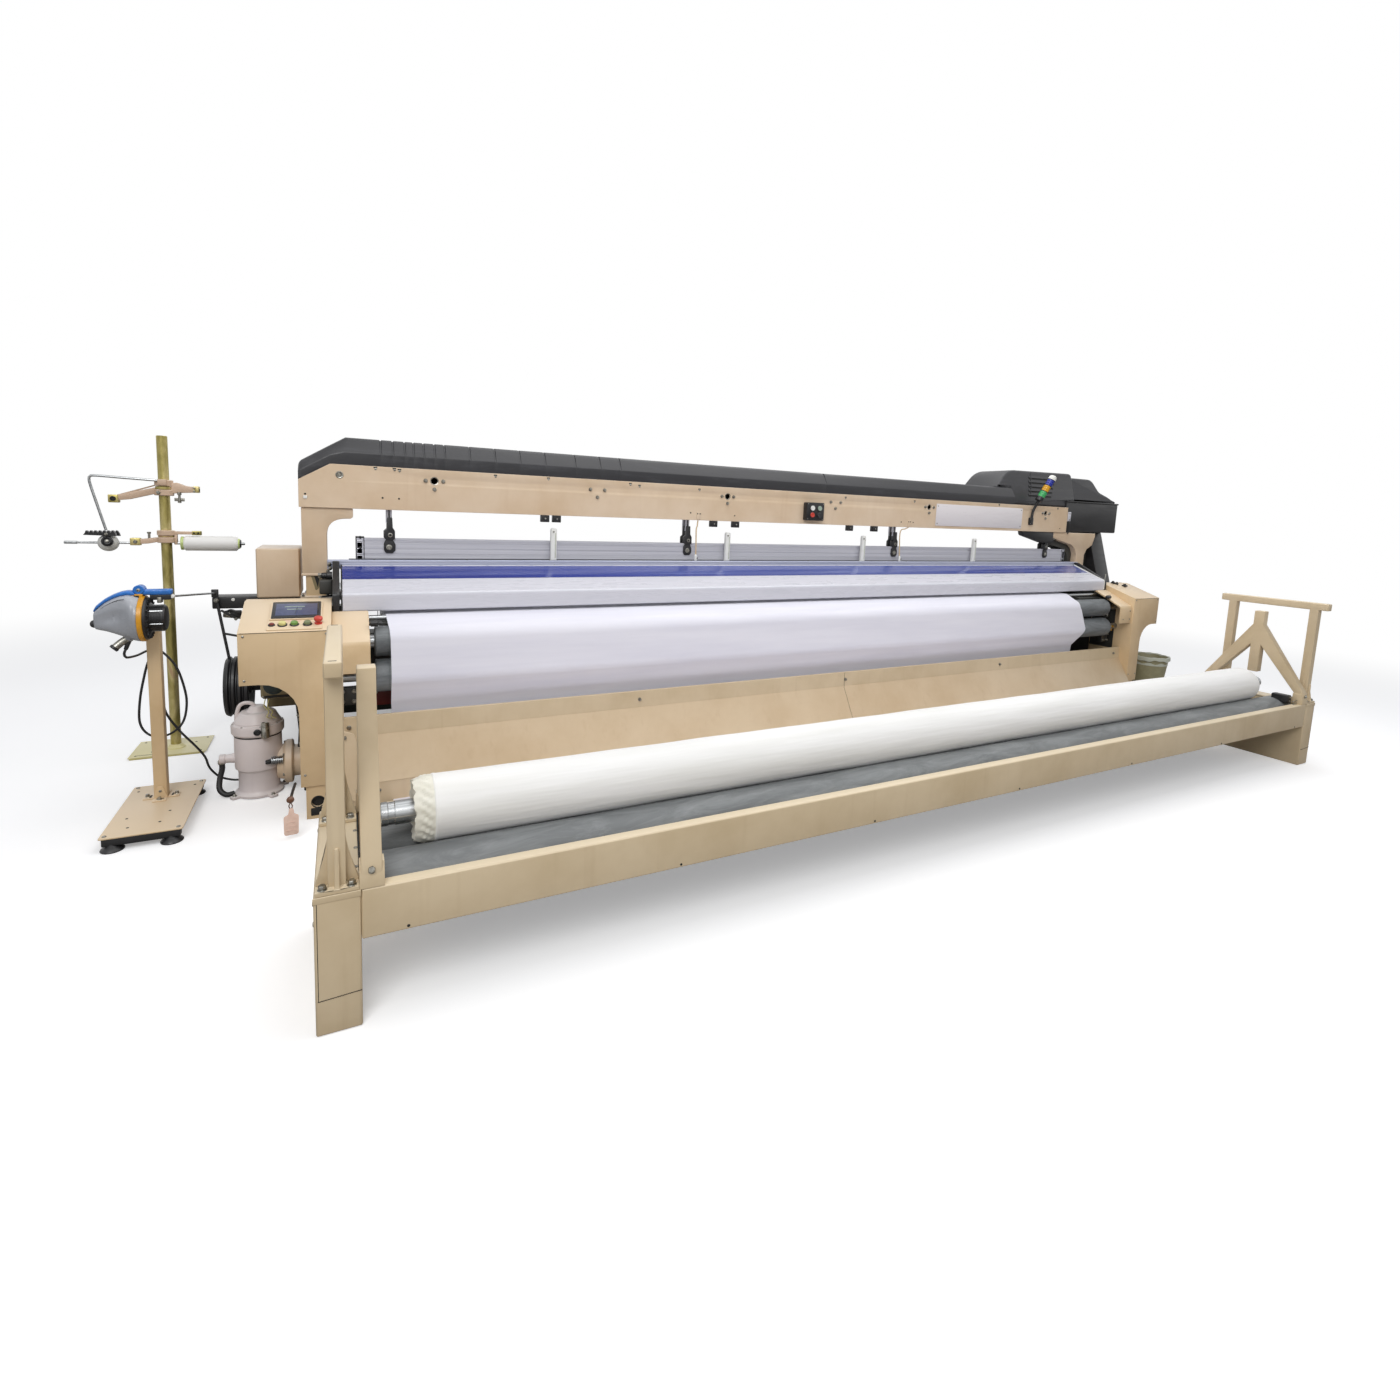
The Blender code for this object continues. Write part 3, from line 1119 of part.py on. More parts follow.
def guide_arm():
    """Upper arm with a bent rod that reaches down to the yarn's tension device."""
    reach = POLE_R + SEAT + 0.008
    left = plate([(POLE_X - 0.238, 1.398), (POLE_X - reach, 1.450), (POLE_X - reach, 1.482),
                  (POLE_X - 0.238, 1.434)], POLE_Y - 0.018, POLE_Y + 0.018, "Y")
    right = plate([(POLE_X + reach, 1.452), (POLE_X + 0.160, 1.462), (POLE_X + 0.160, 1.490),
                   (POLE_X + 0.060, 1.512), (POLE_X + reach, 1.506)], POLE_Y - 0.018, POLE_Y + 0.018, "Y")
    rod = tube([(POLE_X - 0.010, POLE_Y - 0.040, 1.520), (POLE_X - 0.290, POLE_Y - 0.040, 1.531),
                (POLE_X - 0.307, POLE_Y - 0.040, 1.520), (POLE_X - 0.249, POLE_Y - 0.040, 1.246)], 0.0065)
    lug = block((POLE_X - 0.022, POLE_Y - 0.050, 1.490), (POLE_X + 0.022, POLE_Y - POLE_R - 0.004, 1.530))
    piece("guide_arm", fused(pole_clamp(1.440, 1.525), left, right, lug, rod), BEIGE)


def package_arm():
    """Lower arm that carries the tension device on its left and the yarn package on its right."""
    reach = POLE_R + SEAT + 0.008
    left = block((POLE_X - 0.158, POLE_Y - 0.014, 1.168), (POLE_X - reach, POLE_Y + 0.014, 1.205), 0.003)
    right = block((POLE_X + reach, POLE_Y - 0.014, 1.228), (POLE_X + 0.161, POLE_Y + 0.014, 1.246), 0.003)
    rod = bar("X", POLE_X - 0.434, POLE_X - 0.142, (POLE_Y, 1.178), 0.006, 12)
    ball_r = 0.046
    swell = [(ball_r * sin(pi * i / 8), -ball_r * cos(pi * i / 8)) for i in range(1, 8)]
    ball = turned([(0.0, -ball_r), *swell, (0.0, ball_r)], "X", (POLE_X - 0.252, POLE_Y, 1.178), 16)
    spindle = bar("X", POLE_X + 0.035, PACKAGE_RIGHT + 0.020, (POLE_Y, PACKAGE_Z), SPINDLE_R, 24)
    post = block((POLE_X + 0.036, POLE_Y - 0.012, PACKAGE_Z - 0.010),
                 (POLE_X + 0.053, POLE_Y + 0.012, 1.240))
    piece("package_arm", fused(pole_clamp(1.180, 1.250), left, right, rod, ball, spindle, post), BEIGE)


def yarn_package():
    bore = SPINDLE_R + SEAT
    left, right = PACKAGE_LEFT, PACKAGE_RIGHT
    profile = [(bore, left), (PACKAGE_R - 0.006, left), (PACKAGE_R, left + 0.011),
               (PACKAGE_R, right - 0.010), (PACKAGE_R - 0.006, right), (bore, right), (bore, left)]
    piece("yarn_package", turned(profile, "X", (0, POLE_Y, PACKAGE_Z), 24), YARN)


# Waste bucket at the right

def waste_bucket():
    lip = BUCKET_TOP - 0.010
    outer = [(0.0, 0.0), (0.115, 0.0), (0.150, lip), (0.160, lip), (0.160, BUCKET_TOP)]
    inner = [(0.145, BUCKET_TOP), (0.110, 0.008), (0.0, 0.008)]
    piece("waste_bucket", turned([*outer, *inner], "Z", (BUCKET_X, BUCKET_Y, 0), 32), OLIVE)


# Build everything

for side_name, side in (("left", -1), ("right", 1)):
    side_frame(side_name + "_side_frame", side)
    cabinet(side_name + "_cabinet", side)
    roller_shield(side_name + "_roller_shield", side)
cross_beams()
control_panel()
left_post()
right_post()
beam_plates()
beam_cover()
dobby_housing()
chain_guard()
button_station()
signal_lamp()
front_skirt()
takeup_rollers()
breast_bar()
guide_rail()
splash_cover()
heald_frame("heald_frame_front", HEALD_FRONT)
heald_frame("heald_frame_rear", HEALD_FRONT + HEALD_PITCH)
heald_guide("left_heald_guide", -1)
heald_guide("right_heald_guide", 1)
cloth_web()
warp_sheet()
back_rest()
warp_beam()
winder_frame()
roll_guide("left_roll_guide", WINDER_INNER_LEFT + SEAT)
roll_guide("right_roll_guide", WINDER_INNER_RIGHT - SEAT - GUIDE_THICK)
hand_guard("left_hand_guard", WINDER_LEFT + WINDER_WALL / 2)
hand_guard("right_hand_guard", WINDER_RIGHT - WINDER_WALL / 2)
winder_rollers()
cloth_roll()
drive_side()
drive_wheel()
drive_motor()
pump_box()
feeder_stand()
feeder()
yarn_stand()
guide_arm()
package_arm()
yarn_package()
cables()
waste_bucket()


def centre_datum():
    """Move the datum so that the origin lies under the middle of the machine."""
    bpy.context.view_layer.update()
    corners = [obj.matrix_world @ v.co for obj in parts.objects for v in obj.data.vertices]
    middle_x = (min(c.x for c in corners) + max(c.x for c in corners)) / 2
    middle_y = (min(c.y for c in corners) + max(c.y for c in corners)) / 2
    datum.location = (-middle_x, -middle_y, 0.0)


centre_datum()
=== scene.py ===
"""Looks of a wide water jet loom with its winding unit, weft feeder and yarn stand.

Every new surface is worked out with numpy in the loom's own measure, in metres: X to the weaver's
right from the middle between the cabinets, Y away from the weaver, Z up from the floor. DATUM is
where that middle lies in the frame. Outlines inside mm() are written in millimetres.

A shape is its points, its quads and its caps. The function of a piece yields its shapes with their
finishes, and dressed() or piece() makes the object from them.
"""
import json
from math import cos, pi, radians, sin, sqrt

import bmesh
import bpy
import numpy as np
from mathutils import Matrix, Vector


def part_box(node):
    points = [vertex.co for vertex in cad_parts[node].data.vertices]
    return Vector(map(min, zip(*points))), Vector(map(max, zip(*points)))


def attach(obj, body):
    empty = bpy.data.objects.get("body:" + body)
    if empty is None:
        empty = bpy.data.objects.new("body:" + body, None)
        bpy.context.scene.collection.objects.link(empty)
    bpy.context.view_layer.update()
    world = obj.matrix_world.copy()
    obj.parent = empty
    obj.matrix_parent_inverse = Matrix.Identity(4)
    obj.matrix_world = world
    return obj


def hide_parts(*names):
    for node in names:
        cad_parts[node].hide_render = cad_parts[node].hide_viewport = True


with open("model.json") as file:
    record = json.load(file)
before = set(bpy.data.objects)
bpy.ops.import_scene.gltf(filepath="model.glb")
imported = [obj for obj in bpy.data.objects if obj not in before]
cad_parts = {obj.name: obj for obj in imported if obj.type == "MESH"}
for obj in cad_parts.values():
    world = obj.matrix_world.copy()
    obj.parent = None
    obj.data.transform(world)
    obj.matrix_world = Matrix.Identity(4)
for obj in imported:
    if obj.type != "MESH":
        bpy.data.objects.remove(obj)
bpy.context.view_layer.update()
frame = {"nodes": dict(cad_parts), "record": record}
NODES = frame["nodes"]

BEAM_FACE = -0.357
MIDDLE = (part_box("left_cabinet")[0].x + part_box("right_cabinet")[1].x) / 2
DATUM = np.array([MIDDLE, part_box("beam_front_plate")[0].y - BEAM_FACE, 0.0])


def corners(node):
    """Lowest and highest corner of a CAD node in the loom's own measure."""
    low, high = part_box(node)
    return np.array(low) - DATUM, np.array(high) - DATUM


# Camera

CAMERA_PLACE = (-2.995, -4.294, 1.469)
CAMERA_YAW, CAMERA_PITCH, CAMERA_ROLL = 0.472, -0.114, 0.04
PHOTO_SIDE = 1400
FOCAL_PIXELS = 675.18
CENTRE_PIXEL = (686.05, 588.57)
SENSOR = 36.0


def make_camera():
    """Camera at the photograph's place: forward from yaw and pitch, then turned about it by the roll."""
    forward = Vector((
        sin(CAMERA_YAW) * cos(CAMERA_PITCH), cos(CAMERA_YAW) * cos(CAMERA_PITCH), sin(CAMERA_PITCH)))
    level = Vector((cos(CAMERA_YAW), -sin(CAMERA_YAW), 0.0))
    upright = level.cross(forward)
    right = level * cos(CAMERA_ROLL) + upright * sin(CAMERA_ROLL)
    up = upright * cos(CAMERA_ROLL) - level * sin(CAMERA_ROLL)
    data = bpy.data.cameras.new("camera")
    data.sensor_width = SENSOR
    data.lens = FOCAL_PIXELS / PHOTO_SIDE * SENSOR
    data.shift_x = (PHOTO_SIDE / 2 - CENTRE_PIXEL[0]) / PHOTO_SIDE
    data.shift_y = (CENTRE_PIXEL[1] - PHOTO_SIDE / 2) / PHOTO_SIDE
    data.clip_start, data.clip_end = 0.05, 200.0
    camera = bpy.data.objects.new("camera", data)
    turn = Matrix((right, up, -forward)).transposed().to_4x4()
    camera.matrix_world = Matrix.Translation(Vector(CAMERA_PLACE) + Vector(DATUM)) @ turn
    bpy.context.scene.collection.objects.link(camera)
    bpy.context.scene.camera = camera


make_camera()


# Materials

def rgb(code):
    """An sRGB hex value such as d9c6a0 as linear red, green, blue and alpha."""
    values = np.array([int(code[i:i + 2], 16) for i in (0, 2, 4)]) / 255
    linear = np.where(values <= 0.04045, values / 12.92, ((values + 0.055) / 1.055) ** 2.4)
    return (*linear, 1.0)


def add(tree, kind, inputs=None, **settings):
    """Adds a shader node with its settings. inputs gives each socket its value, or the socket or node
    that feeds it; a node feeds it from its first open output."""
    made = tree.nodes.new("ShaderNode" + kind)
    for key, value in settings.items():
        setattr(made, key, value)
    for key, value in (inputs or {}).items():
        if isinstance(value, bpy.types.Node):
            value = next(socket for socket in value.outputs if socket.enabled)
        if isinstance(value, bpy.types.NodeSocket):
            tree.links.new(value, made.inputs[key])
        else:
            made.inputs[key].default_value = value
    return made


def start(name, rough, metallic=0.0, **sockets):
    """A new material, its tree, its Principled shader and the place on the object."""
    made = bpy.data.materials.new(name)
    made.use_nodes = True
    tree = made.node_tree
    shader = tree.nodes["Principled BSDF"]
    shader.inputs["Roughness"].default_value = rough
    shader.inputs["Metallic"].default_value = metallic
    for key, value in sockets.items():
        shader.inputs[key.replace("_", " ")].default_value = value
    place = add(tree, "TexCoord").outputs["Object"]
    return made, tree, shader, place


def two_tones(tree, shader, factor, first, second, low=0.35, high=0.65):
    """Base colour that goes from one hex colour to another as factor passes from low to high."""
    spread = add(tree, "MapRange", {"Value": factor, "From Min": low, "From Max": high})
    mix = add(tree, "Mix", {"Factor": spread, "A": rgb(first), "B": rgb(second)}, data_type="RGBA")
    tree.links.new(mix.outputs["Result"], shader.inputs["Base Color"])
    return mix


def worn_skin(tree, shader, cloud, smooth, rough, grain, strength, height):
    """Roughness that follows cloud from smooth to rough, and grain raised by up to height."""
    spread = add(tree, "MapRange",
                 {"Value": cloud, "From Min": 0.3, "From Max": 0.7, "To Min": smooth, "To Max": rough})
    tree.links.new(spread.outputs["Result"], shader.inputs["Roughness"])
    raised = add(tree, "Bump", {"Height": grain, "Strength": strength, "Distance": height})
    tree.links.new(raised.outputs["Normal"], shader.inputs["Normal"])


def enamel(name, clean, tired, dust_and_top_light, rough=0.42):
    """Sprayed machine enamel: clouds of a slightly darker tone half a metre wide, a paler tone on what
    faces up that is partly dusty film and partly painted light from above, faint runs 40 mm apart
    down the sides, rubbed specks and orange peel of 5 mm."""
    made, tree, shader, place = start(name, rough)
    clouds = add(tree, "TexNoise", {"Vector": place, "Scale": 2.2, "Detail": 5.0, "Roughness": 0.6})
    tone = two_tones(tree, shader, clouds, clean, tired, 0.4, 0.72)
    down = add(tree, "Mapping", {"Vector": place, "Scale": (26.0, 26.0, 1.6)})
    runs = add(tree, "TexNoise", {"Vector": down, "Scale": 1.0, "Detail": 4.0})
    faint = add(tree, "MapRange", {"Value": runs, "From Min": 0.58, "From Max": 0.75, "To Max": 0.1})
    run = add(tree, "Mix", {"Factor": faint, "A": tone, "B": rgb(tired)}, data_type="RGBA",
              blend_type="MULTIPLY")
    # Faces that point up get a paler tone: partly dusty film, partly painted light from above.
    facing = add(tree, "SeparateXYZ", {"Vector": add(tree, "NewGeometry").outputs["Normal"]})
    dust_and_top_light_share = add(tree, "MapRange",
                  {"Value": facing.outputs["Z"], "From Min": 0.3, "From Max": 0.95, "To Max": 0.75})
    dust_and_top_lit = add(tree, "Mix", {"Factor": dust_and_top_light_share, "A": run, "B": rgb(dust_and_top_light)}, data_type="RGBA")
    specks = add(tree, "TexNoise", {"Vector": place, "Scale": 38.0, "Detail": 6.0, "Roughness": 0.75})
    rubbed = add(tree, "MapRange", {"Value": specks, "From Min": 0.66, "From Max": 0.74, "To Max": 0.14})
    marked = add(tree, "Mix", {"Factor": rubbed, "A": dust_and_top_lit, "B": rgb(tired)}, data_type="RGBA",
                 blend_type="MULTIPLY")
    tree.links.new(marked.outputs["Result"], shader.inputs["Base Color"])
    peel = add(tree, "TexNoise", {"Vector": place, "Scale": 200.0, "Detail": 2.0})
    worn_skin(tree, shader, clouds, rough - 0.08, rough + 0.1, peel, 0.12, 0.0006)
    return made


def cast_iron(name, clean, tired):
    """Sand cast and painted: a coarse skin with 4 mm grains, oily and uneven in gloss."""
    made, tree, shader, place = start(name, 0.55)
    clouds = add(tree, "TexNoise", {"Vector": place, "Scale": 5.0, "Detail": 6.0})
    two_tones(tree, shader, clouds, clean, tired)
    grains = add(tree, "TexNoise", {"Vector": place, "Scale": 240.0, "Detail": 3.0})
    worn_skin(tree, shader, clouds, 0.35, 0.65, grains, 0.35, 0.0012)
    return made


def moulded(name, clean, tired, rough=0.45, grain=320.0, **sockets):
    """Injection moulded plastic: one colour right through, a fine leathered grain, faint pale rubbing."""
    made, tree, shader, place = start(name, rough, **sockets)
    along = add(tree, "Mapping", {"Vector": place, "Scale": (1.2, 9.0, 9.0)})
    rubbing = add(tree, "TexNoise", {"Vector": along, "Scale": 3.0, "Detail": 8.0, "Roughness": 0.7})
    two_tones(tree, shader, rubbing, clean, tired, 0.5, 0.85)
    leather = add(tree, "TexNoise", {"Vector": place, "Scale": grain, "Detail": 2.0})
    worn_skin(tree, shader, rubbing, rough - 0.05, rough + 0.15, leather, 0.15, 0.0005)
    return made


def drawn_metal(name, clean, tired, rough, scale, metallic=1.0):
    """Metal worked in one direction, so that fine lines run along it; scale is per axis."""
    made, tree, shader, place = start(name, rough, metallic)
    along = add(tree, "Mapping", {"Vector": place, "Scale": scale})
    lines = add(tree, "TexNoise", {"Vector": along, "Scale": 1.0, "Detail": 4.0})
    two_tones(tree, shader, lines, clean, tired)
    worn_skin(tree, shader, lines, rough - 0.06, rough + 0.1, lines, 0.1, 0.0004)
    return made


def roller_rubber(name, clean, scuffed):
    """Nitrile rubber sleeve: matt, with pale scuffs that run round it and drift along it."""
    made, tree, shader, place = start(name, 0.6)
    along = add(tree, "Mapping", {"Vector": place, "Scale": (1.1, 5.0, 5.0)})
    scuffs = add(tree, "TexNoise",
                 {"Vector": along, "Scale": 3.0, "Detail": 9.0, "Roughness": 0.72, "Distortion": 0.8})
    two_tones(tree, shader, scuffs, clean, scuffed, 0.42, 0.75)
    round_it = add(tree, "Mapping", {"Vector": place, "Scale": (260.0, 12.0, 12.0)})
    rings = add(tree, "TexNoise", {"Vector": round_it, "Scale": 1.0, "Detail": 2.0})
    worn_skin(tree, shader, scuffs, 0.42, 0.65, rings, 0.2, 0.0006)
    return made


def woven(name, clean, shade, thread=0.004, rough=0.85, fold=0.15):
    """Filament cloth: warp and weft as two crossed waves. The real pitch of 0.3 mm is far below a
    pixel, so it is drawn at 2 to 5 mm and kept faint. Soft tension lines run from end to end."""
    made, tree, shader, place = start(name, rough, Sheen_Weight=0.2)
    turns = 2 * pi / thread / 20
    warp = add(tree, "TexWave", {"Vector": place, "Scale": turns}, bands_direction="X")
    weft = add(tree, "TexWave", {"Vector": place, "Scale": turns}, bands_direction="Z")
    both = add(tree, "Math", {0: warp.outputs["Fac"], 1: weft.outputs["Fac"]}, operation="ADD")
    along = add(tree, "Mapping", {"Vector": place, "Scale": (0.6, 7.0, 7.0)})
    drift = add(tree, "TexNoise", {"Vector": along, "Scale": 2.0, "Detail": 3.0})
    two_tones(tree, shader, drift, clean, shade, 0.35, 0.75)
    worn_skin(tree, shader, drift, rough - 0.05, rough + 0.05, both, 0.08, 0.0004)
    slack = add(tree, "Bump", {"Height": drift, "Strength": fold, "Distance": 0.02})
    fine = shader.inputs["Normal"].links[0].from_node
    tree.links.new(slack.outputs["Normal"], fine.inputs["Normal"])
    return made


def passivated(name):
    """Zinc with a yellow chromate film, whose colour drifts from straw to olive and a little rose."""
    made, tree, shader, place = start(name, 0.34, 0.75)
    along = add(tree, "Mapping", {"Vector": place, "Scale": (6.0, 6.0, 2.0)})
    film = add(tree, "TexNoise", {"Vector": along, "Scale": 2.5, "Detail": 6.0, "Distortion": 0.6})
    ramp = add(tree, "ValToRGB", {"Fac": film})
    for position, code in ((0.45, "a89b5c"), (0.58, "cdbf86"), (0.72, "b8957a")):
        ramp.color_ramp.elements.new(position).color = rgb(code)
    ramp.color_ramp.elements[0].position = 0.3
    ramp.color_ramp.elements[0].color = rgb("7f7a45")
    ramp.color_ramp.elements[-1].color = rgb("a58a66")
    tree.links.new(ramp.outputs["Color"], shader.inputs["Base Color"])
    worn_skin(tree, shader, film, 0.28, 0.5, film, 0.05, 0.0005)
    return made


def plain_gloss(name, code, tired, rough, **sockets):
    """Small glossy parts: one colour that clouds a little over 20 mm."""
    made, tree, shader, place = start(name, rough, **sockets)
    clouds = add(tree, "TexNoise", {"Vector": place, "Scale": 50.0, "Detail": 3.0})
    two_tones(tree, shader, clouds, code, tired, 0.4, 0.8)
    worn_skin(tree, shader, clouds, rough - 0.04, rough + 0.1, clouds, 0.05, 0.0003)
    return made


def clear_blue_sheet(name):
    """Blue clear plastic, deep blue at the machine's left and paler to the right: the pale tone there is
    painted reflection of the light it mirrors. Water marks and bends show as streaks that run along it."""
    made, tree, shader, place = start(name, 0.12, Transmission_Weight=0.25, Coat_Weight=0.4)
    across = add(tree, "SeparateXYZ", {"Vector": place})
    along = add(tree, "Mapping", {"Vector": place, "Scale": (0.7, 30.0, 30.0)})
    streaks = add(tree, "TexNoise", {"Vector": along, "Scale": 1.0, "Detail": 5.0, "Distortion": 0.4})
    shift = add(tree, "Math", {0: streaks, 1: 4.2, 2: -2.1}, operation="MULTIPLY_ADD")
    where = add(tree, "Math", {0: across.outputs["X"], 1: shift}, operation="ADD")
    share = add(tree, "MapRange", {"Value": where, "From Min": -3.2, "From Max": 3.6})
    # The ramp's deep stops are the sheet's blue; its pale stops are painted reflection.
    ramp = add(tree, "ValToRGB", {"Fac": share})
    for position, code in ((0.25, "4c5aae"), (0.55, "7784c4"), (0.78, "4f5db0")):
        ramp.color_ramp.elements.new(position).color = rgb(code)
    ramp.color_ramp.elements[0].color = rgb("3a459a")
    ramp.color_ramp.elements[-1].color = rgb("8e97cc")
    tree.links.new(ramp.outputs["Color"], shader.inputs["Base Color"])
    worn_skin(tree, shader, streaks, 0.08, 0.3, streaks, 0.25, 0.004)
    return made


BEIGE = enamel("beige_machine_enamel", "dabf97", "c9ab80", "e7d3b6")
SAND = enamel("sand_machine_enamel", "d2bf9f", "c0ab88", "decfb3")
WALL = enamel("beige_box_enamel", "dfc9ae", "d0b594", "e6dacb")
PANEL = enamel("beige_skirt_enamel", "d6c1a1", "c9b18e", "dac8aa")
PALE_ZINC = enamel("pale_yellow_plate", "dcd193", "c6b978", "e6deb4")
CREAM_CAST = enamel("rose_beige_casting", "d8bea6", "c4a68b", "e3d0bd")
BALL_GREY = moulded("grey_white_ball", "d0d0cb", "bcbcb7", 0.35)
IRON = cast_iron("black_oiled_casting", "2a2b29", "3b3a35")
IRON_GREEN = cast_iron("grey_green_casting", "4a5049", "33372f")
ABS = moulded("black_moulded_cover", "29292c", "424246", 0.4)
ABS_DARK = moulded("black_satin_plastic", "1b1b1d", "333335", 0.36)
RUBBER = roller_rubber("dark_roller_rubber", "5a5e60", "84888a")
DRUM_RUBBER = roller_rubber("winding_drum_rubber", "66696a", "8f9292")
STEEL = drawn_metal("ground_steel", "b9bbbc", "8f9294", 0.28, (2.0, 160.0, 160.0))
ALUMINIUM = drawn_metal("anodised_aluminium", "cfcfd6", "bcbcc4", 0.42, (0.8, 130.0, 130.0), 0.4)
CLOTH = woven("white_filament_cloth", "e6e5ed", "dcdbe5", fold=0.1)
ROLLED = woven("wound_white_cloth", "efeeec", "e4e3de", 0.003, fold=0.35)
RAGGED = woven("frayed_cloth_ends", "eceade", "cfccbd", 0.002)
YARN = woven("white_warp_yarn", "f2f1ee", "e2e0da", 0.005, 0.8)
ZINC = passivated("yellow_passivated_zinc")
LILAC = enamel("lilac_grey_enamel", "e0d6d4", "cdc2c0", "eee8e6", 0.36)
OLIVE = moulded("olive_bucket_plastic", "8f8a6c", "a9a382", 0.5)
KHAKI = enamel("khaki_pump_enamel", "8d7f5f", "776a4c", "a59a7c", 0.5)
FEEDER_GREY = enamel("silver_grey_enamel", "9da0a6", "85888e", "c3c5ca", 0.3)
BLUE = plain_gloss("blue_moulded_cap", "2a74c8", "2363ad", 0.25)
YELLOW = plain_gloss("yellow_moulded_ring", "d99a1e", "c28714", 0.3)
SHEET_WHITE = moulded("pale_cover_sheet", "d6d6de", "c6c8d0", 0.25, 150.0)
SHEET_BLUE = clear_blue_sheet("blue_clear_cover_sheet")
LILAC_STRIP = drawn_metal("lilac_rail_strip", "c3c6d6", "a9aec4", 0.35, (0.7, 90.0, 90.0), 0.2)
BOLT = drawn_metal("zinc_plated_bolt", "a9a79f", "77756e", 0.35, (90.0, 90.0, 90.0))
# Near black for holes, seams and slots, and for strips of painted shade (louvre slats, the post's V).
SOCKET = plain_gloss("dark_holes_seams_and_painted_shade", "141313", "1e1d1b", 0.7)
WHITE = moulded("white_nylon", "e9e9e4", "dcdcd4", 0.4)
SIGN_WHITE = moulded("white_sign_plate", "e4dfe0", "d8d2d4", 0.3)
GLASS = plain_gloss("display_glass", "20232e", "272b38", 0.08)
SCREEN = plain_gloss("display_field", "4d5474", "3f4663", 0.15)
GREEN = plain_gloss("green_button", "6f9648", "5c8038", 0.3)
GREY_GREEN = plain_gloss("grey_green_button", "76805c", "68714f", 0.3)
# Grey white: the bucket liner's film tone, and painted shade on the guide plates.
CREAM_SHADE = plain_gloss("grey_white_and_painted_shade", "bfc2b4", "b2b5a7", 0.4)
CREAM = plain_gloss("cream_button", "dcd48c", "cdc47c", 0.3)
RED = plain_gloss("red_button", "cf4436", "b93a2d", 0.3)
DEEP_RED = plain_gloss("dark_red_button", "7b2e22", "69261c", 0.3)
PINK = plain_gloss("pink_tag_plastic", "eccdbc", "dfbba9", 0.4)
BROWN = plain_gloss("brown_knob_plastic", "6b4630", "573825", 0.35)
LENS_CLEAR = plain_gloss("clear_green_lens", "9fb0a0", "8b9c8c", 0.15)
LENS_GREEN = plain_gloss("green_lens", "3fae62", "349654", 0.15)
LENS_YELLOW = plain_gloss("yellow_lens", "d9a01a", "c48e12", 0.15)
LENS_BLUE = plain_gloss("blue_lens", "1f2f9c", "1a2784", 0.15)
LIME = plain_gloss("lime_tube_plastic", "c5d489", "b3c476", 0.4)
BRASS = drawn_metal("brass_fitting", "c9a55a", "a78544", 0.3, (90.0, 90.0, 90.0))
CABLE = moulded("black_cable_sheath", "1b1b1d", "2f2f31", 0.4, 500.0)
TEAL = plain_gloss("dark_teal_enamel", "1f3133", "182628", 0.4)
DARK_RED = enamel("dark_red_enamel", "7d2d28", "632420", "8f4a42", 0.5)


# Shapes

def mm(*values):
    """Values or points that are written in millimetres, in metres."""
    return np.array(values) / 1000


def ringed(rings, capped=True):
    """Points, quads and caps of a surface whose rows are rings: quads join each ring to the next."""
    rings = np.asarray(rings, float)
    count, around, _ = rings.shape
    i = np.arange(count - 1)[:, None]
    j = np.arange(around)[None, :]
    k = (j + 1) % around
    quads = np.stack([i * around + j, i * around + k, (i + 1) * around + k, (i + 1) * around + j], -1)
    caps = [np.arange(around)[::-1], (count - 1) * around + np.arange(around)] if capped else []
    return rings.reshape(-1, 3), quads.reshape(-1, 4), caps


def inset(outline, depth):
    """The outline moved inwards by depth: each corner goes along the sum of its two edge normals,
    divided by one plus their dot product."""
    points = np.asarray(outline, float)
    before = points - np.roll(points, 1, 0)
    before /= np.linalg.norm(before, axis=1)[:, None]
    after = np.roll(before, -1, 0)
    area = np.sum(points[:, 0] * np.roll(points[:, 1], -1) - np.roll(points[:, 0], -1) * points[:, 1])
    turn = np.array([[0, 1], [-1, 0]]) * np.sign(area)
    first, second = before @ turn, after @ turn
    share = np.maximum(1 + np.sum(first * second, 1), 0.35)[:, None]
    return points + (first + second) / share * depth


RIGHT, LEFT = (1.0, 0.0, 0.0), (-1.0, 0.0, 0.0)
BACK, FRONT = (0.0, 1.0, 0.0), (0.0, -1.0, 0.0)
UP, DOWN = (0.0, 0.0, 1.0), (0.0, 0.0, -1.0)
AXES = {"X": (1, 2, 0), "Y": (0, 2, 1), "Z": (0, 1, 2)}


def prism(outline, axis, low, high, edge=0.002, steps=2):
    """A flat outline carried along an axis. At both ends it draws in by edge * (1 - sin t) while the
    depth goes by edge * (1 - cos t), which rounds the edge."""
    t = np.linspace(0, pi / 2, steps + 1)
    rings = []
    for angle in t:
        flat = inset(outline, edge * (1 - sin(angle)))
        rings.append(np.column_stack([flat, np.full(len(flat), low + edge * (1 - cos(angle)))]))
    for angle in t[::-1]:
        flat = inset(outline, edge * (1 - sin(angle)))
        rings.append(np.column_stack([flat, np.full(len(flat), high - edge * (1 - cos(angle)))]))
    rings = np.array(rings)
    placed = np.empty_like(rings)
    placed[..., list(AXES[axis])] = rings
    return ringed(placed)


def rounded(low, high, radius, steps=3):
    """A rectangle between two corners with quarter circles at its corners."""
    t = np.linspace(0, pi / 2, steps + 1)
    quarter = np.column_stack([np.cos(t), np.sin(t)])
    points = []
    for turn, (x, y) in enumerate((
            (high[0], high[1]), (low[0], high[1]), (low[0], low[1]), (high[0], low[1]))):
        spin = np.array([
            [cos(turn * pi / 2), sin(turn * pi / 2)], [-sin(turn * pi / 2), cos(turn * pi / 2)]])
        arm = quarter @ spin
        centre = np.array([x, y]) - radius * np.sign(arm.mean(0))
        points.append(centre + radius * arm)
    return np.vstack(points)


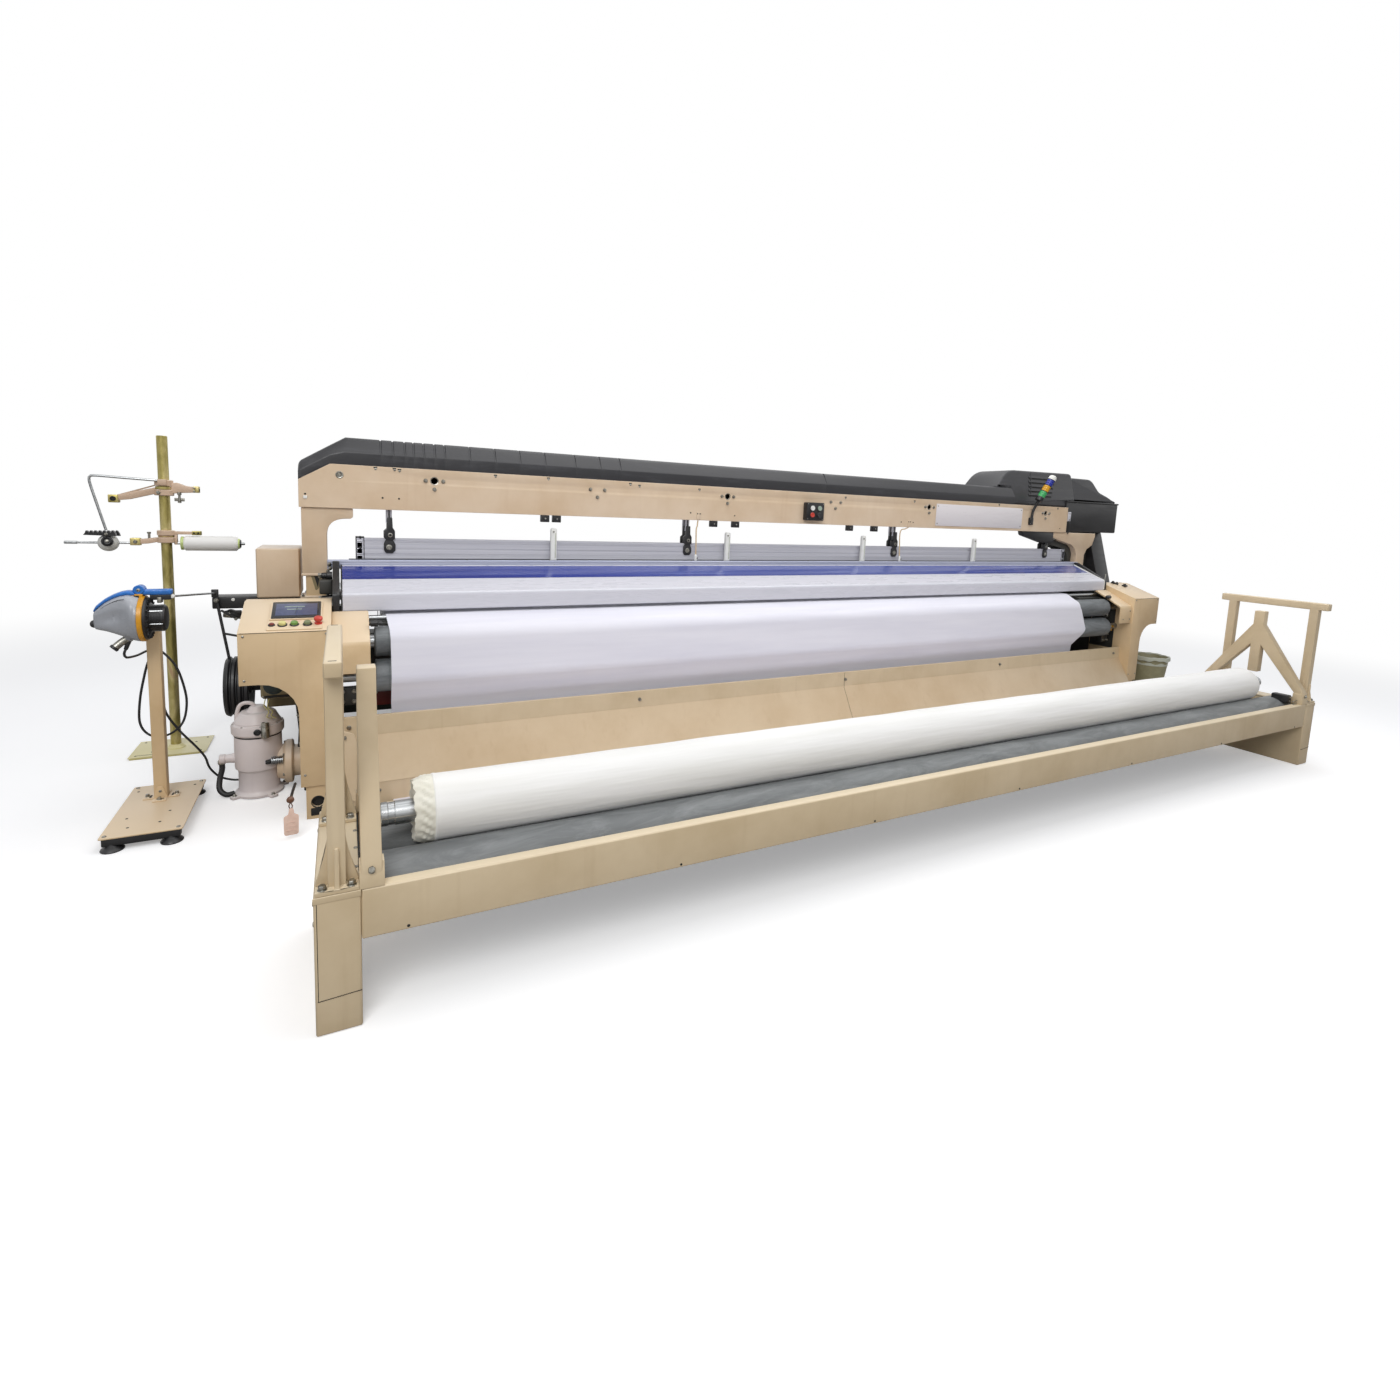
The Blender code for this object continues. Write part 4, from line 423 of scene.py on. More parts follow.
def slab(low, high, radius=0.003, axis="Z", edge=None):
    """A box with rounded corners and edges."""
    u, v, w = AXES[axis]
    outline = rounded((low[u], low[v]), (high[u], high[v]), radius)
    return prism(outline, axis, low[w], high[w], radius * 0.9 if edge is None else edge)


def frame_of(direction):
    """Three unit vectors square to each other, of which the last is the direction."""
    third = np.asarray(direction, float) / np.linalg.norm(direction)
    seed = np.array([0.0, 0.0, 1.0]) if abs(third[2]) < 0.9 else np.array([1.0, 0.0, 0.0])
    first = np.cross(seed, third)
    first /= np.linalg.norm(first)
    return first, np.cross(third, first), third


def lathe(profile, centre, direction, sides=40, phase=0.0):
    """A profile of (radius, height) turned round a line: radius * (cos a, sin a) at each height."""
    first, second, third = frame_of(direction)
    angle = np.linspace(0, 2 * pi, sides, endpoint=False) + phase
    radius = np.array([p[0] for p in profile])[:, None, None]
    height = np.array([p[1] for p in profile])[:, None, None]
    circle = np.cos(angle)[:, None] * first + np.sin(angle)[:, None] * second
    rings = np.asarray(centre) + radius * circle[None] + height * third
    return ringed(rings, capped=tuple(profile[0]) != tuple(profile[-1]))


def through(points, spacing):
    """Points about one spacing apart on the Catmull-Rom curve through the given ones."""
    route = np.asarray(points, float)
    route = np.vstack([2 * route[0] - route[1], route, 2 * route[-1] - route[-2]])
    pieces = []
    for a, b, c, d in zip(route, route[1:], route[2:], route[3:]):
        count = max(1, int(np.ceil(np.linalg.norm(c - b) / spacing)))
        t = (np.arange(count) / count)[:, None]
        pieces.append(0.5 * (2 * b + (c - a) * t + (2 * a - 5 * b + 4 * c - d) * t ** 2
                             + (3 * b - a - 3 * c + d) * t ** 3))
    pieces.append(route[-2][None])
    return np.vstack(pieces)


def tube(path, radius, sides=12):
    """A circle carried along a path, square to its tangent and level with the path's flattest side."""
    path = np.asarray(path, float)
    tangent = np.gradient(path, axis=0)
    tangent /= np.linalg.norm(tangent, axis=1)[:, None]
    flattest = np.linalg.svd(path - path.mean(0) + 1e-9)[2][2]
    side = np.cross(tangent, flattest)
    side /= np.linalg.norm(side, axis=1)[:, None]
    other = np.cross(tangent, side)
    angle = np.linspace(0, 2 * pi, sides, endpoint=False)
    size = np.broadcast_to(np.asarray(radius, float), len(path))[:, None, None]
    circle = np.cos(angle)[None, :, None] * side[:, None] + np.sin(angle)[None, :, None] * other[:, None]
    return ringed(path[:, None] + size * circle)


def moved(shape, origin, across=RIGHT, up=UP):
    """The shape with its X along across, its Z along up, and its zero at origin."""
    first = np.asarray(across, float) / np.linalg.norm(across)
    third = np.asarray(up, float) - np.dot(up, first) * first
    third /= np.linalg.norm(third)
    turn = np.array([first, np.cross(third, first), third])
    return shape[0] @ turn + np.asarray(origin, float), shape[1], shape[2]


def hex_bolt(place, direction, size, washer=True):
    """A hexagon head with a chamfered top on a washer; size is the width over the flats."""
    r = size / cos(pi / 6) / 2
    thick = size * 0.14 if washer else 0.0
    head = lathe([(0, thick), (r * 0.96, thick), (r, thick + size * 0.04), (r, thick + size * 0.5),
                  (r * 0.84, thick + size * 0.62), (0, thick + size * 0.64)], place, direction, 6, 0.3)
    if not washer:
        return [head]
    ring = lathe([(0, 0), (size * 0.66, 0), (size * 0.7, thick * 0.4), (size * 0.64, thick), (0, thick)],
                 place, direction, 18)
    return [ring, head]


def dome_screw(place, direction, radius):
    """A low domed head with a dimple."""
    profile = [(0, -0.001), (radius, 0), (radius * 0.96, radius * 0.3), (radius * 0.7, radius * 0.52),
               (radius * 0.36, radius * 0.58), (radius * 0.26, radius * 0.34), (0, radius * 0.3)]
    return lathe(profile, place, direction, 14)


def piece(name, body, parts, slot=None, crease=35):
    """One object from (shape, material) pairs, in place on its body. Shapes may come in lists."""
    vertices, faces, finishes, used = [], [], [], []
    total = 0
    for shapes, material in parts:
        if material not in used:
            used.append(material)
        for points, quads, caps in (shapes if isinstance(shapes, list) else [shapes]):
            vertices.append(points)
            faces += (quads + total).tolist() + [(cap + total).tolist() for cap in caps]
            finishes += [used.index(material)] * (len(quads) + len(caps))
            total += len(points)
    mesh = bpy.data.meshes.new(name)
    mesh.from_pydata((np.vstack(vertices) + DATUM).tolist(), [], faces)
    for material in used:
        mesh.materials.append(material)
    mesh.polygons.foreach_set("material_index", finishes)
    bm = bmesh.new()
    bm.from_mesh(mesh)
    bmesh.ops.remove_doubles(bm, verts=bm.verts, dist=1e-6)
    bmesh.ops.recalc_face_normals(bm, faces=bm.faces)
    bm.to_mesh(mesh)
    bm.free()
    return settled_piece(name, mesh, body, slot, crease)


def settled_piece(name, mesh, body, slot, crease):
    """The mesh as an object that is smooth except along edges sharper than crease, on its body."""
    mesh.shade_smooth()
    mesh.set_sharp_from_angle(angle=radians(crease))
    made = bpy.data.objects.new(name, mesh)
    bpy.context.scene.collection.objects.link(made)
    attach(made, body)
    return made


def body_of(node):
    """The record's body that a CAD node belongs to."""
    for body, members in frame["record"]["behaviour"]["bodies"].items():
        if node in members:
            return body


def slot_of(node):
    """The material slot that the record gives a CAD node."""
    for row in frame["record"]["subparts"]:
        if row["node"] == node:
            return row["material_slot"]


def dressed(name, node, parts, crease=35):
    """A piece in place of a CAD node, on the node's body."""
    made = piece(name, body_of(node), parts, slot_of(node), crease)
    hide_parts(node)
    return made


def softened(node, radius, material, steps=2):
    """A copy of a CAD node with its long sharp edges rounded, in place of the node."""
    bm = bmesh.new()
    bm.from_mesh(NODES[node].data)
    bmesh.ops.remove_doubles(bm, verts=bm.verts, dist=2e-5)
    bmesh.ops.dissolve_limit(bm, angle_limit=radians(1.0), verts=bm.verts, edges=bm.edges)
    sharp = [e for e in bm.edges if len(e.link_faces) == 2
             and e.calc_face_angle(0.0) > radians(38) and e.calc_length() > 3 * radius]
    bmesh.ops.bevel(
        bm, geom=sharp, offset=radius, segments=steps, profile=0.5, affect="EDGES", clamp_overlap=True)
    mesh = bpy.data.meshes.new(node + "_finished")
    bm.to_mesh(mesh)
    bm.free()
    mesh.materials.append(material)
    made = settled_piece(node + "_finished", mesh, body_of(node), slot_of(node), 30)
    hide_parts(node)
    return made


# Cables, along the same routes as their solids

FEEDER_CABLE = (
    (-3.8351, -0.68, 0.7847), (-3.841, -0.68, 0.767), (-3.838, -0.662, 0.746), (-3.82, -0.59, 0.738),
    (-3.806, -0.53, 0.74), (-3.798, -0.503, 0.742), (-3.778, -0.487, 0.744), (-3.752, -0.483, 0.732),
    (-3.705, -0.487, 0.67), (-3.678, -0.49, 0.59), (-3.664, -0.49, 0.485), (-3.684, -0.49, 0.385),
    (-3.742, -0.49, 0.334), (-3.806, -0.49, 0.34), (-3.842, -0.49, 0.4), (-3.838, -0.49, 0.51),
    (-3.818, -0.49, 0.62), (-3.802, -0.492, 0.682), (-3.786, -0.5, 0.712), (-3.769, -0.508, 0.718),
    (-3.757, -0.509, 0.694), (-3.753, -0.508, 0.62), (-3.752, -0.505, 0.52), (-3.742, -0.494, 0.438),
    (-3.696, -0.488, 0.348), (-3.64, -0.478, 0.264), (-3.606, -0.465, 0.2), (-3.592, -0.452, 0.14),
    (-3.556, -0.44, 0.086), (-3.5076, -0.4367, 0.0615), (-3.4697, -0.4501, 0.0605),)
MOTOR_HOSE = ((-3.538, -0.48, 0.1606), (-3.538, -0.48, 0.134), (-3.548, -0.488, 0.086),
              (-3.547, -0.504, 0.042), (-3.5208, -0.5142, 0.0165), (-3.4878, -0.5059, 0.0165),)


def cable(node, points, spacing, radius, sides):
    """A free cable whose tube follows its solid's route."""
    path = through(points, spacing)
    made = piece(node + "_sheath", "loom", [(tube(path, radius, sides), CABLE)], "black_plastic")
    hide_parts(node)


cable("feeder_cable", FEEDER_CABLE, 0.017, 0.005, 12)
cable("motor_hose", MOTOR_HOSE, 0.012, 0.0125, 16)


# Stage and light

FLOOR_HALF = 90.0
FADE_START, FADE_END = 4.8, 9.0
FLOOR_LIFT, WORLD_LIGHT = 0.3, 0.42
LIGHTS = (("key", (-4.5, -6.5, 6.0), (0, -0.8, 0.6), 300, 4.0),
          ("ceiling", (0.5, -1.0, 5.5), (0, -1.0, 0), 210, 6.0))


def make_stage():
    """White floor that keeps the machine's shadow and runs out into white, and soft light from above."""
    floor_finish = bpy.data.materials.new("white_studio_floor")
    floor_finish.use_nodes = True
    tree = floor_finish.node_tree
    tree.nodes.clear()
    place = add(tree, "TexCoord").outputs["Object"]
    rays = add(tree, "LightPath")
    clouds = add(tree, "TexNoise", {"Vector": place, "Scale": 0.5, "Detail": 2.0})
    tone = add(tree, "Mix", {"Factor": clouds, "A": rgb("f4f4f4"), "B": rgb("efefef")}, data_type="RGBA")
    lit = add(tree, "BsdfDiffuse", {"Color": tone})
    lift = add(tree, "Emission", {"Color": (1, 1, 1, 1), "Strength": FLOOR_LIFT})
    seen = add(tree, "AddShader", {0: lit, 1: lift})
    dim = add(tree, "BsdfDiffuse", {"Color": rgb("b8b5b0")})
    by_camera = add(tree, "MixShader", {0: rays.outputs["Is Camera Ray"], 1: dim, 2: seen})
    distance = add(tree, "VectorMath", {0: place}, operation="LENGTH")
    fade = add(tree, "MapRange", {"Value": distance, "From Min": FADE_START, "From Max": FADE_END},
               interpolation_type="SMOOTHSTEP")
    white = add(tree, "Emission", {"Color": (1, 1, 1, 1), "Strength": 1.0})
    far = add(tree, "Math", {0: fade, 1: rays.outputs["Is Camera Ray"]}, operation="MULTIPLY")
    whole = add(tree, "MixShader", {0: far, 1: by_camera, 2: white})
    add(tree, "OutputMaterial", {"Surface": whole})
    side = FLOOR_HALF
    mesh = bpy.data.meshes.new("floor")
    mesh.from_pydata(
        [(-side, -side, 0), (side, -side, 0), (side, side, 0), (-side, side, 0)], [], [(0, 1, 2, 3)])
    mesh.materials.append(floor_finish)
    floor = bpy.data.objects.new("floor", mesh)
    bpy.context.scene.collection.objects.link(floor)
    world = bpy.data.worlds.new("studio")
    bpy.context.scene.world = world
    world.use_nodes = True
    tree = world.node_tree
    tree.nodes.clear()
    rays = add(tree, "LightPath")
    seen = add(tree, "Math", {0: rays.outputs["Is Camera Ray"], 1: rays.outputs["Is Transmission Ray"]},
               operation="MAXIMUM")
    glossy = add(tree, "Math", {0: seen, 1: rays.outputs["Is Glossy Ray"]}, operation="MAXIMUM")
    soft = add(tree, "Background", {"Color": rgb("f2f4fa"), "Strength": WORLD_LIGHT})
    white = add(tree, "Background", {"Color": (1, 1, 1, 1), "Strength": 1.0})
    both = add(tree, "MixShader", {0: glossy, 1: soft, 2: white})
    add(tree, "OutputWorld", {"Surface": both})
    for name, place, target, power, size in LIGHTS:
        data = bpy.data.lights.new(name, "AREA")
        data.energy = power
        data.size = size
        lamp = bpy.data.objects.new(name, data)
        aim = Vector(target) - Vector(place)
        lamp.matrix_world = (Matrix.Translation(Vector(place) + Vector(DATUM))
                             @ aim.to_track_quat("-Z", "Y").to_matrix().to_4x4())
        bpy.context.scene.collection.objects.link(lamp)
    bpy.context.scene.view_settings.view_transform = "Standard"


make_stage()


# Beam cover, dobby housing and what the beam carries

(BEAM_LEFT, BEAM_END), (BEAM_LOW, BEAM_HIGH) = np.transpose(corners("beam_front_plate"))[[0, 2]]
COVER_END, COVER_BACK, COVER_TOP = corners("beam_cover")[1]
COVER_SLOPE = 0.216
BEAM_CHAMFER, BEAM_CHAMFER_DROP = 0.144, 0.086
COVER_LEAN, COVER_CREASE = 0.045, 0.062
RIB_SHARES = (0.0715, 0.0826, 0.0936, 0.1018, 0.1114, 0.1219, 0.1316, 0.1564, 0.1821, 0.2085, 0.2359,
              0.2701, 0.2995, 0.3239, 0.6208)
RIB_HALF, RIB_DEPTH = 0.0035, 0.004


def filleted(corners_2d, radii, steps=4):
    """A polygon whose corners are quadratic curves: each starts and ends radius from its corner."""
    points = np.asarray(corners_2d, float)
    rows = []
    for i, radius in enumerate(radii):
        here, before, after = points[i], points[i - 1], points[(i + 1) % len(points)]
        start = here + (before - here) / np.linalg.norm(before - here) * radius
        stop = here + (after - here) / np.linalg.norm(after - here) * radius
        t = np.linspace(0, 1, steps + 1)[:, None]
        rows.append((1 - t) ** 2 * start + 2 * t * (1 - t) * here + t ** 2 * stop)
    return np.vstack(rows)


def beam_hood():
    """The hood's section is a rounded polygon of (y, z) at each station along X. Its foot follows the
    beam's chamfer and its top the slope of the left end. At each cross rib it draws in by RIB_DEPTH,
    and d from its left end by end * (1 - sqrt(1 - (1 - d / end)^2)), a quarter circle."""
    span = COVER_END - BEAM_LEFT
    end = 0.018
    marks = [BEAM_LEFT + end * (1 - cos(a)) for a in np.linspace(0, pi / 2, 6)]
    marks += [BEAM_LEFT + COVER_SLOPE * s for s in (0.3, 0.5, 0.667, 0.85, 0.95, 1.0, 1.05, 1.15)]
    for share in RIB_SHARES:
        middle = BEAM_LEFT + share * span
        marks += [
            middle - RIB_HALF - 0.002, middle - RIB_HALF, middle + RIB_HALF, middle + RIB_HALF + 0.002]
    marks += [COVER_END - 0.004, COVER_END]
    stations = np.unique(np.concatenate([marks, np.linspace(BEAM_LEFT + 0.3, COVER_END, 30)]))
    rings = []
    for x in stations:
        run = x - BEAM_LEFT
        foot = BEAM_HIGH + 0.0006 - BEAM_CHAMFER_DROP * max(0.0, 1 - run / BEAM_CHAMFER)
        top = COVER_TOP - (COVER_TOP - BEAM_HIGH - 0.004) * max(0.0, 1 - run / COVER_SLOPE)
        share = (top - foot) / (COVER_TOP - BEAM_HIGH)
        sunk = any(abs(x - BEAM_LEFT - s * span) < RIB_HALF + 1e-6 for s in RIB_SHARES)
        draw = (RIB_DEPTH if sunk else 0.0) + end * (1 - sqrt(max(0.0, 1 - max(0.0, 1 - run / end) ** 2)))
        crease = foot + min(COVER_CREASE, (top - foot) * 0.45)
        front = BEAM_FACE + 0.0005
        lean = COVER_LEAN * min(1.0, share)
        section = [(front, foot), (front + draw * 0.3, crease), (front + lean + draw, top - draw),
                   (COVER_BACK - 0.03 - draw, top - draw), (COVER_BACK - draw * 0.5, foot)]
        radii = [0.002, 0.004, min(0.02, (top - crease) * 0.4), min(0.02, (top - crease) * 0.4), 0.002]
        flat = filleted(section, radii)
        rings.append(np.column_stack([np.full(len(flat), x), flat]))
    yield ringed(rings), ABS


dressed("beam_hood", "beam_cover", beam_hood(), 22)

DOME_LEFT, DOBBY_FRONT, DOBBY_LOW = corners("dobby_housing")[0]
DOBBY_RIGHT, DOBBY_REAR, DOME_TOP = corners("dobby_housing")[1]
DOBBY_FACE = DOBBY_FRONT + 0.01
BOX_LIP = BEAM_HIGH + 0.062
DOME_LEAN = 0.06


def leaning(shape, foot, rise, lean):
    """The shape sheared above foot: its front goes back by lean over rise, its rear stays."""
    points, quads, caps = shape
    height = np.clip((points[:, 2] - foot) / rise, 0, 1)
    front = np.clip((DOBBY_REAR - points[:, 1]) / (DOBBY_REAR - DOBBY_FACE), 0, 1)
    bent = points.copy()
    bent[:, 1] += lean * height * front
    return bent, quads, caps


def dobby_shell():
    """Two moulded shells: the lipped box beside the beam, and the dome, whose outlines are carried along
    Y with edges rounded by about 20 mm and then lean back. The louvres are slats of triangular section
    with thin dark strips of painted shade under them."""
    rise = DOME_TOP - BOX_LIP
    beam_side = BEAM_END + 0.0006
    dome_right = beam_side + 0.134
    box = prism(
        filleted([(beam_side, DOBBY_LOW), (DOBBY_RIGHT, DOBBY_LOW), (DOBBY_RIGHT, BOX_LIP - 0.003),
                  (beam_side, BOX_LIP - 0.003)], mm(6, 12, 12, 6)), "Y", DOBBY_FACE, DOBBY_REAR, 0.008, 3)
    lip = slab((beam_side - 0.002, DOBBY_FACE - 0.009, BOX_LIP - 0.012),
               (DOBBY_RIGHT, DOBBY_REAR, BOX_LIP + 0.002), 0.005, "Z")
    lid = filleted(
        [(beam_side, BOX_LIP), (DOBBY_RIGHT - 0.004, BOX_LIP), (3.555, 1.752), (3.395, 1.802),
         (3.3, DOME_TOP - 0.036), (dome_right - 0.02, DOME_TOP - 0.036)], mm(6, 20, 50, 30, 45, 10), 5)
    lid = leaning(
        prism(lid, "Y", DOBBY_FACE + 0.016, DOBBY_REAR - 0.006, 0.018, 4), BOX_LIP, rise, DOME_LEAN)
    base = BEAM_HIGH + 0.0006
    dome = filleted(
        [(COVER_END + 0.0006, base), (beam_side + 0.004, base), (dome_right + 0.012, BOX_LIP),
         (dome_right, DOME_TOP), (DOME_LEFT + 0.15, DOME_TOP - 0.014), (DOME_LEFT, COVER_TOP + 0.0006),
         (COVER_END + 0.0006, COVER_TOP + 0.0006)], mm(3, 3, 10, 34, 110, 12, 3), 6)
    dome = leaning(
        prism(dome, "Y", DOBBY_FACE, DOBBY_REAR - 0.012, 0.02, 4), base, DOME_TOP - base, DOME_LEAN + 0.01)
    slats, painted_slat_shade = [], []
    for i in range(5):
        low = BOX_LIP + 0.03 + 0.038 * i
        face = DOBBY_FACE + (DOME_LEAN + 0.01) * (low - base) / (DOME_TOP - base)
        run = 0.3 + 0.02 * i
        section = [(face + 0.004, low - 0.004), (face - 0.006, low), (face + 0.004, low + 0.018)]
        slats.append(prism(section, "X", 2.37 + 0.006 * i, 2.37 + run, 0.001, 1))
        # Thin dark strip under each slat: painted shade.
        painted_slat_shade.append(slab((2.368 + 0.006 * i, face - 0.003, low - 0.016),
                         (2.372 + run, face + 0.004, low - 0.0035), 0.001, "Y"))
    ridge = tube([(2.392, DOBBY_FACE + 0.016, 1.716), (2.412, DOBBY_FACE + 0.04, 1.83),
                  (2.425, DOBBY_FACE + 0.064, 1.925)], 0.004, 8)
    seam = slab((beam_side - 0.0015, DOBBY_FACE - 0.001, DOBBY_LOW + 0.01),
                (beam_side + 0.0015, DOBBY_FACE + 0.004, BOX_LIP), 0.0005, "Y")
    yield [dome, lid, ridge, *slats], ABS
    yield [box, lip], ABS_DARK
    yield [seam, *painted_slat_shade], SOCKET


dressed("dobby_shell", "dobby_housing", dobby_shell(), 28)

PORT_SHARES = (0.1066, 0.4114, 0.7161, 0.9492)
BOLT_SHARES = (0.2606, 0.5616)
BOLT_HEIGHT, BOLT_CIRCLE = 1.577, 0.045
PLUG = (-3.007, 1.584)


def beam_fasteners():
    """Screws in the plate's bolt circles, rims round its ports, the plug at the left, the small screws
    along both edges, and the bolts that join plate and post at the right."""
    screws, rims, dark = [], [], []
    span = BEAM_END - BEAM_LEFT
    for share in (*PORT_SHARES, *BOLT_SHARES):
        x = BEAM_LEFT + share * span
        for turn in (0, 180, 270):
            place = (x + BOLT_CIRCLE * cos(radians(turn)), BEAM_FACE,
                     BOLT_HEIGHT + BOLT_CIRCLE * sin(radians(turn)))
            screws += hex_bolt(place, FRONT, 0.016)
    for share in PORT_SHARES:
        rims.append(lathe(mm((18, 6), (18, 0), (21.5, -1.2), (22.5, 0), (22.5, 6)),
                          (BEAM_LEFT + share * span, BEAM_FACE, BOLT_HEIGHT), BACK, 24))
    rims.append(lathe(mm((0, 1), (12, -1), (16, -2.5), (18.5, -1), (19.5, 1), (0, 2)),
                      (PLUG[0], BEAM_FACE, PLUG[1]), BACK, 24))
    screws += hex_bolt((PLUG[0], BEAM_FACE - 0.001, PLUG[1]), FRONT, 0.014, False)
    for x, z in ((-2.838, 1.624), (-2.746, 1.624), (-2.722, 1.62), (-2.221, 1.62), (-1.917, 1.622),
                 (-1.4, 1.618), (-1.339, 1.61), (-0.915, 1.608), (0.3, 1.61), (0.985, 1.612),
                 (1.95, 1.622), (2.72, 1.62)):
        screws.append(dome_screw((x, BEAM_FACE, z), FRONT, 0.0062))
        dark.append(
            slab((x - 0.01, BEAM_FACE - 0.001, z + 0.004), (x + 0.008, BEAM_FACE, z + 0.011), 0.0008, "Y"))
    for x, z in ((-2.806, 1.475), (-2.726, 1.474), (-0.974, 1.46), (-3.163, 1.48), (-0.64, 1.452),
                 (2.772, 1.448), (0.86, 1.452), (0.985, 1.452)):
        dark.append(
            lathe(mm((0, 0), (5, 0), (4.8, -1.2), (3, -0.8), (0, -0.8)), (x, BEAM_FACE, z), BACK, 12))
    yield screws + rims, BOLT
    yield dark, SOCKET
    yield slab((-3.172, BEAM_FACE - 0.006, 1.456), (-3.154, BEAM_FACE, 1.472), 0.003, "Y"), WHITE


piece("beam_fasteners", "loom", beam_fasteners())


SIGN_LOW, SIGN_HIGH = (1.222, 1.434), (2.248, 1.608)


def sign_plate():
    """Bare white plate with turned edges, on four rivets."""
    low, high = SIGN_LOW, SIGN_HIGH
    plate = slab(
        (low[0], BEAM_FACE - 0.0035, low[1]), (high[0], BEAM_FACE - 0.0004, high[1]), 0.0015, "Y", 0.0012)
    rivets = [dome_screw((x, BEAM_FACE - 0.0035, z), FRONT, 0.0045)
              for x in (low[0] + 0.018, high[0] - 0.018) for z in (low[1] + 0.018, high[1] - 0.018)]
    yield plate, SIGN_WHITE
    yield rivets, BOLT


piece("sign_plate", "loom", sign_plate())


def push_button(place, direction, radius, height, cap):
    """A button in its collar: the cap's rim is rounded and its face slightly dished."""
    profile = [(0, 0), (radius * 1.25, 0), (radius * 1.25, height * 0.25), (radius * 1.08, height * 0.4),
               (0, height * 0.4)]
    yield lathe(profile, place, direction, 20), ABS_DARK
    profile = [(radius, height * 0.35), (radius, height * 0.85), (radius * 0.92, height),
               (radius * 0.5, height * 0.94), (0, height * 0.9)]
    yield lathe([(0, height * 0.3), *profile], place, direction, 20), cap


def station_box():
    """Small black control box with four buttons in two rows: white, clear, red and grey."""
    low, high = corners("button_station")
    face = low[1]
    yield slab(low, high, 0.007, "Y", 0.004), ABS_DARK
    for x, z, cap in (
            (-0.032, 1.526, WHITE), (0.03, 1.526, LENS_CLEAR), (-0.032, 1.478, RED), (0.03, 1.478, ABS)):
        yield from push_button((x, face, z), FRONT, 0.017, 0.012, cap)
    for x in (low[0] + 0.01, high[0] - 0.01):
        for z in (low[2] + 0.01, high[2] - 0.01):
            yield dome_screw((x, face, z), FRONT, 0.0035), BOLT


dressed("station_box", "button_station", station_box())


def lamp_column():
    """Signal lamp on a bent arm: coloured lenses with raised rings between them and a pale cap."""
    foot = np.array([COVER_END + 0.242, BEAM_FACE - 0.0453, 1.68])
    axis = np.array([0.45, -0.25, 1.0])
    axis /= np.linalg.norm(axis)
    r = 0.032
    yield lathe([(0, 0), (r * 0.9, 0), (r, 0.004), (r, 0.034), (r * 0.9, 0.038), (0, 0.038)], foot, axis,
                28), ABS_DARK
    low = 0.036
    for lens in (LENS_GREEN, LENS_YELLOW, LENS_BLUE):
        wave = [(r * (0.93 + 0.025 * sin(6 * pi * t)), low + 0.054 * t)
                for t in np.linspace(0.04, 0.96, 13)]
        yield lathe([(0, low), (r * 0.9, low), *wave, (r * 0.9, low + 0.054), (0, low + 0.054)], foot,
                    axis, 28), lens
        yield lathe([(r * 0.88, low + 0.051), (r, low + 0.052), (r, low + 0.056), (r * 0.88, low + 0.057)],
                    foot, axis, 28), ABS_DARK
        low += 0.056
    yield lathe([(0, low), (r, low), (r, low + 0.018), (r * 0.85, low + 0.032), (r * 0.4, low + 0.041),
                 (0, low + 0.043)], foot, axis, 28), WHITE
    arm = through([(2.368 - 0.01, BEAM_FACE - 0.014, 1.48), (2.37 - 0.008, BEAM_FACE - 0.016, 1.58),
                   (2.376, BEAM_FACE - 0.03, 1.64), foot], 0.012)
    yield tube(arm, 0.011, 12), ABS_DARK
    yield slab((2.335, BEAM_FACE - 0.016, 1.47), (2.384, BEAM_FACE - 0.0004, 1.532), 0.004, "Y"), ABS_DARK
    yield [dome_screw((2.345, BEAM_FACE - 0.016, z), FRONT, 0.004) for z in (1.48, 1.522)], BOLT


dressed("lamp_column", "signal_lamp", lamp_column())


def under_beam_blocks():
    """Pairs of black stops under the beam, each with a screw, and the dark bracket behind the right one."""
    for left, right in ((-1.93, -1.86), (-0.79, -0.62), (0.37, 0.61)):
        for x in (left, right):
            block = slab((x - 0.024, BEAM_FACE + 0.004, 1.372),
                         (x + 0.024, BEAM_FACE + 0.04, BEAM_LOW - 0.0006), 0.003, "Y")
            yield block, ABS_DARK
            yield dome_screw((x, BEAM_FACE + 0.004, 1.392), FRONT, 0.005), BOLT
    shoe = filleted([(2.29, BEAM_LOW - 0.0006), (2.3, 1.378), (2.51, 1.33), (2.56, 1.318), (2.69, 1.314),
                     (2.705, 1.345), (2.705, BEAM_LOW - 0.0006)], mm(4, 18, 20, 10, 12, 12, 4))
    yield prism(shoe, "Y", BEAM_FACE + 0.006, BEAM_FACE + 0.06, 0.004), ABS_DARK
    web = filleted([(2.69, 1.3), (2.93, 1.262), (3.0, 1.22), (3.02, 1.1), (3.066, 1.1), (3.066, 1.34),
                    (2.98, 1.345), (2.7, 1.345)], mm(4, 50, 40, 10, 6, 20, 10, 4))
    yield prism(web, "Y", -0.296, -0.225, 0.004), IRON


piece("under_beam_stops", "loom", under_beam_blocks())


# Heald frames, guide rail and splash cover

def repeated(shape, offsets):
    """The shape once at every offset, as one shape."""
    points, quads, caps = shape
    offsets = np.asarray(offsets, float)
    steps = np.arange(len(offsets)) * len(points)
    return ((points[None] + offsets[:, None]).reshape(-1, 3),
            (quads[None] + steps[:, None, None]).reshape(-1, quads.shape[1]),
            [cap + step for step in steps for cap in caps])


